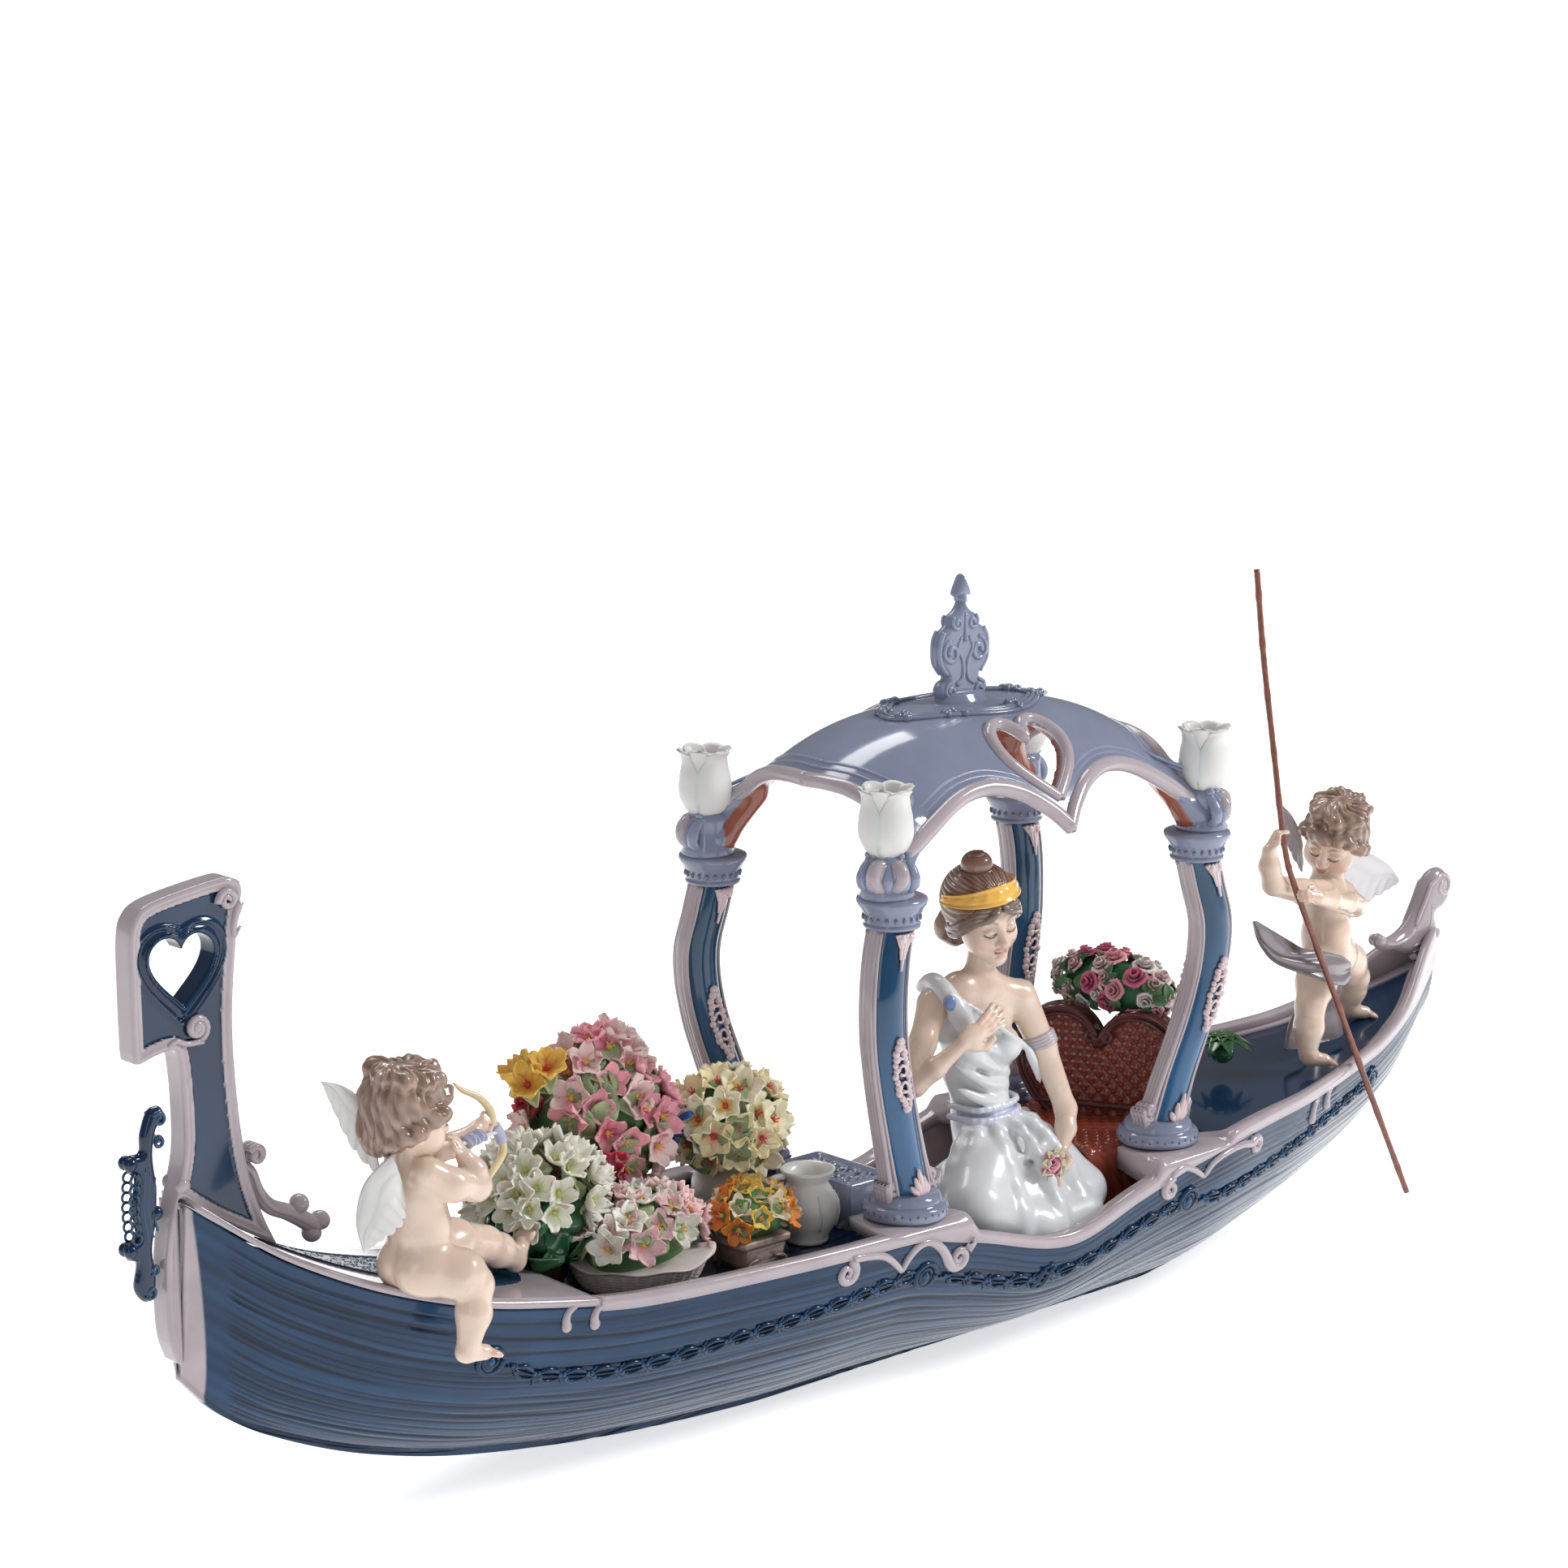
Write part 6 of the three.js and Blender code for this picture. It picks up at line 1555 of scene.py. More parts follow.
def column(place, sx, sy):
    flip = np.array((sx, sy, 1.0))
    path = curve(COLUMN_PATH, 64) * flip
    piece = Piece()
    sides = 72
    angle = np.linspace(0, 2 * math.pi, sides, endpoint=False)
    net, paint = [], []
    for k, centre in enumerate(path):
        face = np.abs(np.cos(angle))
        strip = smoothstep(face, 0.905, 0.92)
        groove = 0.3 * np.cos((face - 0.92) / 0.08 * 2 * math.pi) * strip
        radius = SHAFT_R + 1.5 * strip + groove + 0.25 * np.cos(angle * 2) * (1 - strip)
        net.append(np.stack([centre[0] + radius * np.cos(angle), centre[1] + radius * np.sin(angle) * 0.96,
                             np.full(sides, centre[2])], -1))
        shade = 0.85 + 0.25 * math.sin(k * 0.09)
        paint.append(blend_colour(np.array(COLUMN_BLUE) * shade, MAUVE, strip))
    piece.grid(np.array(net), np.array(paint), around=True, caps=True)
    for face in (-1, 1):
        for flank in (-1, 1):
            a = math.acos(0.90) * flank + (0 if face > 0 else math.pi)
            line = path + np.array((10.7 * math.cos(a), 10.3 * math.sin(a), 0))
            piece.tube(line[1:-1], 0.75, np.array(MAUVE) * 1.05, sides=6)
        # The strip leaves the shaft near its foot and rolls up in a volute.
        base = path[2] + np.array((face * 10.5, 0, 0))
        for y in (-3.3, -1.1, 1.1, 3.3):
            fall = curve([path[k] + (face * reach, y * 0.85, 0) for k, reach in
                          ((62, 9.4), (52, 9.6), (42, 9.8), (32, 10.1), (24, 10.6), (16, 11.2), (9, 12.4))]
                         + [base + (face * 4.2, y, -2.5)], 60)
            roll = spiral((base[0] + face * 0.6, 101.6), 5.4, 1.3, 20 if face > 0 else 160, -1.25 * face)
            roll = np.stack([roll[:, 0], np.full(26, base[1] + y), roll[:, 1]], -1)
            piece.tube(np.concatenate([fall[:-1], roll]), 1.5, MAUVE, sides=8)
    light = np.array((0.62, 0.50, 0.52))

    def on_shaft(bearing, high, proud=0.4):
        k = np.interp(high, path[:, 2], np.arange(64))
        i = int(min(62, k))
        centre = path[i] * (1 - (k - i)) + path[i + 1] * (k - i)
        return (centre + np.array(((SHAFT_R + proud) * math.sin(bearing),
                                   (SHAFT_NEAR + proud) * math.cos(bearing), 0)))
    for face in (-1, 1):
        turn = 0 if face > 0 else math.pi
        random = np.random.default_rng(3)
        # A pendant of leaves under the capital, a spray half way and a palmette at the foot.
        for i in range(5):
            spread = (i - 2) * 0.20
            tip = 1 - abs(i - 2) / 3.2
            leaf = [on_shaft(turn + spread * (1 - 0.5 * t), 219.5 - 16 * tip * t, 0.7)
                    for t in np.linspace(0, 1, 8)]
            piece.tube(leaf, np.linspace(1.6, 0.5, 8), light, sides=6)
            palm = [on_shaft(turn + spread * (0.5 + 0.8 * t), 96.5 + 13 * tip * t, 0.9)
                    for t in np.linspace(0, 1, 8)]
            piece.tube(palm, [0.8, 1.1, 1.4, 1.6, 1.6, 1.4, 1.0, 0.5], light, sides=6)
        for s in (-1, 1):
            piece.ball(on_shaft(turn + s * 0.22, 217.5, 1.0), (2.2, 2.2, 2.2), light)
        for i in range(13):
            high = 140 + i * 2.7
            wide = 0.36 * math.sin(math.pi * (i + 0.6) / 13.2)
            for s in (-1, 1):
                size = random.uniform(1.2, 2.0)
                piece.ball(on_shaft(turn + s * wide + random.uniform(-0.05, 0.05), high, 0.8),
                           (size, size, size * 1.1), light, rows=6, sides=8)
            if i % 3 == 1:
                ring = [on_shaft(turn + 0.20 * math.cos(a), high + 2.4 * math.sin(a), 1.2)
                        for a in np.linspace(0, 5.6, 12)]
                piece.tube(ring, 0.75, light, sides=6)
    piece.object("shaft_" + place, SMOOTH, "porcelain_column_blue", ["column_" + place])

    top = Piece()
    cx, cy = sx * 100, sy * 58.7
    top.turned([(11.0, 220.8), (12.6, 221.2), (12.8, 222.6), (11.8, 223.2), (12.2, 224), (12.6, 227.6),
                (13.6, 228.2),
                (13.8, 229.4), (15.4, 231.4), (15.9, 233.0), (15.4, 234.4), (13.4, 234.9), (4, 235)],
               (cx, cy, 0),
               BLUE_GREY, sides=56)
    for i in range(20):
        a = 2 * math.pi * i / 20
        top.ball((cx + 12.6 * math.cos(a), cy + 12.6 * math.sin(a), 225.6), (0.9, 0.9, 1.3),
                 np.array(BLUE_GREY) * 0.75,
                 rows=6, sides=8)
    top.object("capital_cap_" + place, SMOOTH, "porcelain_blue_grey", ["capital_" + place])
    foot = Piece()
    cx, cy = sx * 84, sy * 52
    foot.turned([(17, 85.1), (19.2, 85.4), (19.6, 87), (19.3, 90), (18.2, 91.2), (16.4, 91.6), (16.6, 92.6),
                 (15.6, 95),
                 (13.4, 96.4), (11, 96.8), (4, 96.9)], (cx, cy, 0), BLUE_GREY, sides=64)
    for i in range(34):
        a = 2 * math.pi * i / 34
        foot.ball((cx + 19.3 * math.cos(a), cy + 19.3 * math.sin(a), 88.2 + 0.8 * (i % 2)), (0.7, 0.7, 0.7),
                  np.array(BLUE_GREY) * 0.55, rows=5, sides=6)
    foot.object("plinth_ring_" + place, SMOOTH, "porcelain_blue_grey", ["plinth_" + place])


canopy()
collar()
finial()
for place, sx, sy in PLACES:
    tulip(place, sx * 104, sy * 59)
    column(place, sx, sy)


# ---- flowers -------------------------------------------------------------------------------------------
PETAL_PINK, PETAL_ROSE = (0.80, 0.36, 0.42), (0.62, 0.10, 0.20)
PETAL_WHITE, PETAL_CREAM = (0.80, 0.78, 0.70), (0.82, 0.72, 0.44)
PETAL_YELLOW, PETAL_ORANGE = (0.80, 0.52, 0.10), (0.78, 0.27, 0.04)
PETAL_RED, PETAL_BLUE = (0.42, 0.02, 0.05), (0.02, 0.09, 0.38)
HEART_YELLOW, HEART_RED = (0.70, 0.40, 0.08), (0.50, 0.05, 0.05)


def petal_net(length, width, cup, point, seed):
    """One petal along +x with its face up, cupped and a little ruffled."""
    v = np.linspace(0.03, 1, 7)[:, None]
    u = np.linspace(-1, 1, 7)[None, :]
    wide = width * np.sin(math.pi * np.clip(0.10 + 0.80 * v, 0, 1)) ** (0.75 + point)
    x = length * (v * (1 - 0.16 * u ** 2) + 0 * u)
    y = wide * u
    z = length * (cup * v ** 1.6 + 0.18 * u ** 2 * v) + 0.05 * length * np.sin(4 * u + 3 * v + seed)
    return np.stack([x, y, z], -1), v + 0 * u


def blossom(piece, centre, normal, size, outer, inner, heart_tint, random, petals=5, cup=0.45, point=0.0):
    turn = (axes_facing(normal) if abs(unit(normal)[2]) < 0.98
            else np.array([[1, 0, 0], [0, 0, 1], [0, 1, 0.0]]))
    basis = np.stack([turn[:, 0], turn[:, 2], unit(normal)], -1)
    spin = random.uniform(0, 2 * math.pi)
    bright = random.uniform(0.85, 1.12)
    for i in range(petals):
        net, v = petal_net(size * random.uniform(0.9, 1.08), size * 0.44, cup + random.uniform(-0.08, 0.08),
                           point,
                           random.uniform(0, 6))
        a = spin + 2 * math.pi * i / petals
        c, s = math.cos(a), math.sin(a)
        net = net @ np.array([[c, s, 0], [-s, c, 0], [0, 0, 1]])
        net = net @ basis.T + centre
        colour = blend_colour(inner, np.array(outer) * bright, smoothstep(v, 0.12, 0.62))
        piece.grid(sheet_net(net, 0.42), np.concatenate([colour, colour[:, ::-1]], axis=1), around=True,
                   caps=True)
    normal = unit(normal)
    piece.ball(centre + normal * size * 0.14, (size * 0.15,) * 3, heart_tint, rows=5, sides=7)
    for i in range(4):
        a = spin + 1.6 * i
        tip = (centre + normal * size * 0.42 + (basis[:, 0] * math.cos(a) + basis[:, 1] * math.sin(a)) * size
               * 0.16)
        piece.tube([centre, (centre + tip) / 2, tip], [0.30, 0.25, 0.35], heart_tint, sides=4)


def leaf(piece, base, way, normal, length, width, colour, curl=0.35):
    way = unit(way)
    normal = unit(np.asarray(normal) - way * np.dot(normal, way))
    across = np.cross(normal, way)
    v = np.linspace(0, 1, 9)[:, None]
    u = np.linspace(-1, 1, 7)[None, :]
    wide = width * np.sin(math.pi * np.clip(0.04 + 0.93 * v, 0, 1)) ** 0.85 * (1 + 0.06 * np.cos(v * 40))
    height = length * (curl * 0.5 * np.sin(math.pi * v) - curl * v ** 2) + 0.30 * wide * np.abs(u) ** 1.3
    net = (np.asarray(base) + (length * v * np.ones_like(u))[..., None] * way + (wide * u)[..., None] * across
           + height[..., None] * normal)
    vein = 0.82 + 0.28 * np.abs(u) + 0.10 * np.cos(v * 30 - 3 * np.abs(u))
    tint = np.asarray(colour) * vein[..., None]
    piece.grid(sheet_net(net, 0.5), np.concatenate([tint, tint[:, ::-1]], axis=1), around=True, caps=True)


def spread_over(count, low, random):
    """Evenly spread directions over a ball, from straight up down to a height of low."""
    i = np.arange(count) + 0.5
    z = 1 - (1 - low) * i / count
    a = i * 2.399963 + random.uniform(-0.2, 0.2, count)
    r = np.sqrt(np.maximum(0, 1 - z * z))
    return np.stack([r * np.cos(a), r * np.sin(a), z], -1)


def bouquet(name, slot, replaces, centre, radii, count, size, choose, seed, low=-0.5, leaf_tint=LEAF_PALE,
            petals=5,
            cup=0.45, leaf_share=1.0, core_tint=LEAF, peak=0.0):
    """A mound of blossoms and leaves over an egg-shaped core."""
    random = np.random.default_rng(seed)
    centre, radii = np.asarray(centre, float), np.asarray(radii, float)
    piece = Piece()
    core = Clay(centre - radii - 3, centre + radii + 3, 1.2)

    def swell(way):
        """The mound's skin in a direction, drawn in towards its top by peak."""
        draw = 1 - peak * smoothstep(way[2], -0.35, 0.95)
        return way * radii * (draw, draw, 1.0)
    core.egg(centre - (0, 0, 0.3 * peak * radii[2]), radii * (0.84 - 0.15 * peak), soft=0.5)
    if peak:
        core.egg(centre + (0, 0, 0.42 * radii[2]), radii * (0.86 - peak, 0.86 - peak, 0.45), soft=5)
    for way in spread_over(60, low, random):
        core.egg(centre + swell(way) * 0.82, (4.2, 4.2, 4.2), soft=1.5)
    points, faces = core.mesh()
    piece.add(points, faces, core_tint)
    for way in spread_over(int(count * leaf_share), low - 0.08, random):
        way = unit(way + random.uniform(-0.12, 0.12, 3))
        at = centre + swell(way) * 0.80
        out = unit(way / radii)
        side = unit(np.cross(out, random.normal(size=3)))
        tint = np.array(leaf_tint) * random.uniform(0.5, 1.0)
        leaf(piece, at - side * size * 0.4, unit(side + 0.45 * out), out, size * 1.7, size * 0.62, tint)
    for way in spread_over(count, low, random):
        way = unit(way + random.uniform(-0.07, 0.07, 3))
        at = centre + swell(way) * random.uniform(0.93, 1.0)
        out = unit(way / radii + random.uniform(-0.010, 0.010, 3))
        tints = choose(at, random)
        blossom(piece, at, out, size * random.uniform(0.85, 1.12), *tints, random, petals=petals, cup=cup)
    piece.object(name, BISQUE, slot, replaces)


def mixed(at, random):
    """The big mound: mostly pink, with yellow, red and blue at its edges."""
    x, y, z = at
    left = 0.68 * (y - 26) - 0.73 * (x + 198)
    if left > 17 and z > 138:
        return PETAL_RED, PETAL_ROSE, HEART_YELLOW
    if z < 128 and x < -205 and y < 8:
        return ((PETAL_RED, PETAL_ROSE, HEART_YELLOW) if random.random() < 0.6
                else (PETAL_PINK, PETAL_ROSE, HEART_YELLOW))
    if x > -180 and y < 12 and 122 < z < 142:
        return PETAL_BLUE, PETAL_BLUE, PETAL_YELLOW
    if x > -185 and z > 150:
        return (0.80, 0.60, 0.58), PETAL_PINK, HEART_YELLOW
    return ((PETAL_PINK, PETAL_ROSE, HEART_YELLOW) if random.random() < 0.7
            else ((0.82, 0.62, 0.60), PETAL_PINK, HEART_YELLOW))


def pinks(at, random):
    return ((0.80, 0.54, 0.55), PETAL_PINK, HEART_YELLOW) if random.random() < 0.7 else (
        (0.78, 0.76, 0.68), (0.72, 0.56, 0.50), HEART_YELLOW)


def creams(at, random):
    return (PETAL_CREAM, (0.80, 0.45, 0.30), HEART_RED) if random.random() < 0.55 else (
        (0.82, 0.76, 0.58), PETAL_YELLOW, HEART_RED)


def whites(at, random):
    return PETAL_WHITE, (0.62, 0.66, 0.36), (0.55, 0.55, 0.20)


def oranges(at, random):
    pick = random.random()
    if pick < 0.4:
        return PETAL_YELLOW, (0.75, 0.40, 0.06), PETAL_ORANGE
    return ((PETAL_ORANGE, PETAL_RED, PETAL_YELLOW) if pick < 0.62
            else ((0.80, 0.68, 0.50), PETAL_YELLOW, PETAL_ORANGE))


bouquet("mound_blossoms", "porcelain_pink", ["flower_mound"], (-198, 26, 137), (38, 30, 37), 68, 9.6, mixed,
        31, low=-0.7, peak=0.34, leaf_share=1.5)
bouquet("basket_blossoms", "porcelain_pink", ["basket_flowers"], (-211, -16, 93), (32, 20, 21), 40, 8.2,
        pinks, 32, low=0.12)
bouquet("pot_blossoms", "porcelain_cream", ["pot_flowers"], (-133, 13, 122), (24, 23, 23), 36, 9.8, creams,
        33, low=-0.5)
bouquet("crate_blossoms", "porcelain_yellow", ["crate_flowers"], (-153, -25, 93), (19, 15, 13), 24, 6.8,
        oranges, 34, low=-0.1)


def mound_lilies():
    """Large yellow blossoms that stand out of the mound's side."""
    random = np.random.default_rng(36)
    piece = Piece()
    for at, way in (((-238, 24, 158), (-0.55, -0.45, 0.6)), ((-229, 22, 164), (-0.3, -0.5, 0.8)),
                    ((-231, 36, 160), (-0.6, 0.2, 0.75))):
        at = np.array(at, float)
        piece.tube([at * 0.75 + np.array((-206, 26, 140)) * 0.25, at], 1.3, LEAF, sides=6)
        blossom(piece, at, way, 9.6, PETAL_YELLOW, PETAL_ORANGE, HEART_RED, random, petals=6, cup=0.6)
        for k in range(3):
            side = unit((math.cos(2.1 * k), math.sin(2.1 * k), -0.1))
            leaf(piece, at - unit(way) * 5, side, way, 11, 4.0, LEAF_PALE)
    piece.object("mound_lilies", BISQUE, "porcelain_yellow")


mound_lilies()


def leafy_plant():
    """White blossoms over broad glossy leaves."""
    random = np.random.default_rng(35)
    piece = Piece()
    centre = np.array((-251.0, 6.0, 112.0))
    core = Clay(centre - 30, centre + 30, 1.2)
    core.egg(centre + (0, 0, -6), (21, 20, 16), soft=1)
    for way in spread_over(26, -0.9, random):
        core.egg(centre + (0, 0, -7) + way * (20, 19, 15), (6, 6, 5), soft=3)
    points, faces = core.mesh()
    dark = 0.5 + 0.5 * np.sin(points[:, 0] * 0.4) * np.sin(points[:, 2] * 0.35 + points[:, 1] * 0.3)
    piece.add(points, faces, blend_colour(DEEP_GREEN, (0.10, 0.24, 0.12), dark * 0.7))
    for way in spread_over(34, -0.8, random):
        if way[2] < 0.25:
            at = centre + (0, 0, -6) + way * (21, 20, 16)
            side = unit(np.cross(way, random.normal(size=3)))
            leaf(piece, at, unit(side * 0.6 + way * 0.4 + (0, 0, -0.3)), way, 14, 5.6,
                 blend_colour(DEEP_GREEN, (0.12, 0.30, 0.15), random.uniform(0, 0.8)), curl=0.5)
    piece.object("plant_leaves", SMOOTH, "porcelain_leaf", ["leafy_plant"])
    piece = Piece()
    for way in spread_over(44, -0.25, random):
        way = unit(way + random.uniform(-0.08, 0.08, 3))
        at = centre + (2, -2, 4) + way * (27, 23, 21)
        blossom(piece, at, way, 8.0 * random.uniform(0.9, 1.15), *whites(at, random), random, cup=0.75)
        leaf(piece, at - way * 4, unit(np.cross(way, random.normal(size=3))), way, 9, 3.4, LEAF_PALE)
    piece.object("plant_blossoms", BISQUE, "porcelain_white")


leafy_plant()


def rose(piece, centre, normal, size, tint):
    """A rose of petals wrapped round each other."""
    normal = unit(normal)
    a = unit(np.cross(normal, (0.3, 0.1, 0.9)))
    b = np.cross(normal, a)
    for ring, (count, reach, rise) in enumerate(((3, 0.30, 0.80), (4, 0.58, 0.66), (5, 0.90, 0.42))):
        for i in range(count):
            start = 2 * math.pi * (i + 0.5 * ring) / count
            u = np.linspace(-1, 1, 7)[None, :]
            v = np.linspace(0, 1, 6)[:, None]
            angle = start + u * (math.pi / count * 1.35)
            out = size * reach * (0.35 + 0.65 * v ** 0.7) * (1 + 0.12 * v * u ** 2)
            up = size * rise * v * (1 - 0.15 * u ** 2) - 0.16 * size * ring * v ** 4
            net = (centre + (out * np.cos(angle))[..., None] * a + (out * np.sin(angle))[..., None] * b
                   + up[..., None] * normal)
            shade = blend_colour(np.array(tint) * 0.55, tint, (v + 0 * u) ** 0.7 * (0.55 + 0.2 * ring))
            piece.grid(sheet_net(net, 0.45), np.concatenate([shade, shade[:, ::-1]], axis=1), around=True,
                       caps=True)


def roses():
    random = np.random.default_rng(41)
    piece = Piece()
    centre, radii = np.array((113.0, 4.0, 145.0)), np.array((15.0, 36.0, 15.0))
    core = Clay(centre - radii - 3, centre + radii + 3, 1.2)
    core.egg(centre, radii * 0.84, soft=0.5)
    points, faces = core.mesh()
    piece.add(points, faces, np.array(DEEP_GREEN) * 1.6)
    tints = (PETAL_PINK, (0.84, 0.64, 0.64), (0.82, 0.48, 0.53), (0.66, 0.14, 0.26), (0.80, 0.72, 0.70))
    for way in spread_over(64, -0.75, random):
        at = centre + way * radii
        out = unit(way / radii)
        leaf(piece, at, unit(np.cross(out, random.normal(size=3))), out, 8, 3.0,
             blend_colour(LEAF, DEEP_GREEN, random.uniform(0, 1)))
    for way in spread_over(46, -0.7, random):
        at = centre + unit(way + random.uniform(-0.06, 0.06, 3)) * radii * random.uniform(0.92, 1.02)
        rose(piece, at, unit(way / radii), random.uniform(4.6, 6.8), tints[int(random.integers(0, 5))])
    piece.object("roses", BISQUE, "porcelain_pink", ["rose_planter"])
    piece = Piece()
    centre = np.array((10.0, -52.5, 88.5))
    rose(piece, centre, (-0.4, -0.75, 0.5), 4.6, PETAL_PINK)
    for i in range(9):
        a = 2 * math.pi * i / 9
        at = centre + (4.6 * math.cos(a), -1.0, 5.2 * math.sin(a) - 0.5)
        way = unit((math.cos(a), -0.5, math.sin(a)))
        rose(piece, at, way, 2.7, ((0.80, 0.66, 0.62), PETAL_PINK)[i % 2])
        leaf(piece, at, way, (0, -1, 0.2), 3.8, 1.7, (0.46, 0.48, 0.28))
    piece.object("posy", BISQUE, "porcelain_pink", ["lady_rose_posy"])
    piece = Piece()
    for i in range(9):
        a = 2 * math.pi * i / 9
        leaf(piece, (189, -1, 100), unit((math.cos(a) * 0.7, math.sin(a) * 0.6, 0.5)), (0, 0, 1), 13, 4.6,
             blend_colour(LEAF, DEEP_GREEN, 0.3 + 0.05 * i), curl=0.8)
    piece.ball((189, -1, 97), (6, 6, 5), np.array(DEEP_GREEN) * 1.5)
    piece.object("stern_leaves", SMOOTH, "porcelain_leaf")


roses()


# ---- vessels -------------------------------------------------------------------------------------------
def basket():
    """Woven reed in a boat shape with a lifted, wavy lip."""
    piece = Piece()
    turn, cx, cy = -0.65, -211.0, -16.0
    c, s = math.cos(turn), math.sin(turn)
    around, rows = 132, 44
    a = np.linspace(0, 2 * math.pi, around, endpoint=False)
    v = np.linspace(0, 1, rows)[:, None]
    grow = 0.66 + 0.30 * v ** 0.7
    lip = smoothstep(v, 0.86, 0.93)
    grow = grow + 0.09 * lip - 0.05 * smoothstep(v, 0.97, 1.0)
    weave = 0.55 * np.sign(np.sin(v * 34 * math.pi / 2)) * np.cos(a * 33) * (1 - lip)
    reeds = 0.45 * np.cos(v * 34 * math.pi) * (1 - lip)
    ends = 6.0 * np.abs(np.cos(a)) ** 6 * v ** 2
    x = (33 * grow + weave + reeds) * np.cos(a)
    y = (20 * grow + weave + reeds) * np.sin(a)
    z = 71.3 + 12.5 * v + ends + 0.5 * np.sin(a * 9) * lip
    net = np.stack([cx + x * c - y * s, cy + x * s + y * c, z + 0 * x], -1)
    # Where the weave stands out the reeds are painted lighter and where it dips darker, as painted light and
    # shade; the lip is a pale reed colour.
    tint = blend_colour((0.40, 0.33, 0.31), (0.66, 0.58, 0.56),
                        0.5 + 0.45 * np.cos(a * 33) * np.sign(np.sin(v * 34 * math.pi / 2)))
    tint = blend_colour(tint, (0.70, 0.63, 0.61), lip * np.ones_like(x))
    piece.grid(net, tint, around=True, caps=True)
    piece.object("basket_woven", BISQUE, "porcelain_reed", ["reed_basket"])


def crate():
    piece = Piece()
    def ring(half_x, half_y, z, r=2.0, count=8):
        out = []
        for qx, qy, start in ((1, 1, 0), (-1, 1, 1), (-1, -1, 2), (1, -1, 3)):
            for k in range(count):
                a = math.pi / 2 * (start + k / (count - 1))
                out.append((-153 + qx * (half_x - r) + r * math.cos(a),
                            -25 + qy * (half_y - r) + r * math.sin(a), z))
        return out
    levels = [(11.0, 8.8, 71.3), (11.4, 9.2, 73.4), (11.6, 9.4, 73.9), (12.8, 10.2, 80.6), (12.9, 10.3, 81.2),
              (14.4, 11.2, 81.8), (14.6, 11.4, 84.2), (13.6, 10.8, 84.9)]
    net = [ring(hx, hy, z) for hx, hy, z in levels]
    brown = [(0.26, 0.17, 0.14)] * 2 + [(0.34, 0.23, 0.19)] * 3 + [(0.42, 0.30, 0.26)] * 3
    piece.grid(np.array(net), np.repeat(np.array(brown)[:, None], 32, 1), around=True, caps=True)
    for y in (-35.8, -14.2):
        for sx in (-1, 1):
            bracket = curve([(-153 + sx * 11.5, y, 71.6), (-153 + sx * 10.0, y, 75.0),
                             (-153 + sx * 4, y, 76.2)], 8)
            piece.tube(bracket, [1.4, 1.2, 1.1, 1.0, 0.9, 0.9, 0.8, 0.7], (0.30, 0.19, 0.15), sides=6)
    piece.object("crate_planks", WOOD_GLAZE, "porcelain_brown", ["wooden_crate"])


def vessels():
    jug = Piece()
    jug.turned([(7, 71.3), (9.5, 71.6), (9.8, 73), (9.0, 74.2), (12.6, 79), (14.3, 85), (13.8, 91),
                (11.0, 96), (9.4, 98.4),
                (9.8, 100.4), (12.0, 103.6), (12.6, 105.0), (11.6, 105.3), (9.4, 102), (8.2, 99), (9, 94),
                (4, 90)],
               (-114, -20, 0), WHITE, sides=56, across=0.98)
    handle = curve([(-125.5, -17, 103), (-131, -15, 102), (-133, -14, 96), (-130, -15, 89),
                    (-126.4, -16.5, 86)], 24)
    jug.tube(handle, 1.5, WHITE, sides=10)
    for i in range(6):
        line = [(-114 + r * math.cos(a), -20 + r * math.sin(a), z) for z, r, a in
                [(z, float(np.interp(z, [79, 85, 91, 96], [12.7, 14.4, 13.9, 11.1])), i * 1.05 + 0.2) for z in
                 np.linspace(79, 95, 8)]]
        jug.tube(line, 0.5, np.array(WHITE) * 0.98, sides=5)
    jug.object("jug", SATIN, "porcelain_white", ["milk_jug"])
    pot = Piece()
    pot.turned([(8, 71.3), (10.5, 71.8), (10.8, 73.4), (9.8, 74.6), (13.2, 80), (15.2, 88), (14.6, 96),
                (12.6, 101),
                (14.4, 104), (14.6, 105.4), (12.6, 105.6), (11, 102), (4, 100)], (-133, 15, 0),
               (0.66, 0.62, 0.57), sides=48)
    pot.object("pot", SATIN, "porcelain_white", ["white_pot"])
    tub = Piece()
    tub.turned([(17, 71.3), (19, 71.8), (19.6, 74), (21.2, 82), (22.2, 90), (23.4, 91), (23.6, 94), (22, 95),
                (19, 92), (5, 91)],
               (-247, 20, 0), (0.085, 0.045, 0.032), sides=96, flute=20, depth=0.05)
    for z, r in ((76.5, 20.2), (86, 21.9)):
        a = np.linspace(0, 2 * math.pi, 61)
        tub.tube(np.stack([-247 + r * np.cos(a), 20 + r * np.sin(a), np.full(61, z)], -1), 0.9,
                 (0.12, 0.07, 0.05), sides=6)
    tub.object("tub_staves", WOOD_GLAZE, "porcelain_brown", ["dark_tub"])
    stem = Piece()
    stem.turned([(14, 71.3), (16, 72), (14, 84), (17, 96), (20, 104), (8, 108)], (-198, 26, 0),
                (0.12, 0.07, 0.05), sides=40,
                flute=16, depth=0.05)
    stem.object("mound_pot", WOOD_GLAZE, "porcelain_brown")


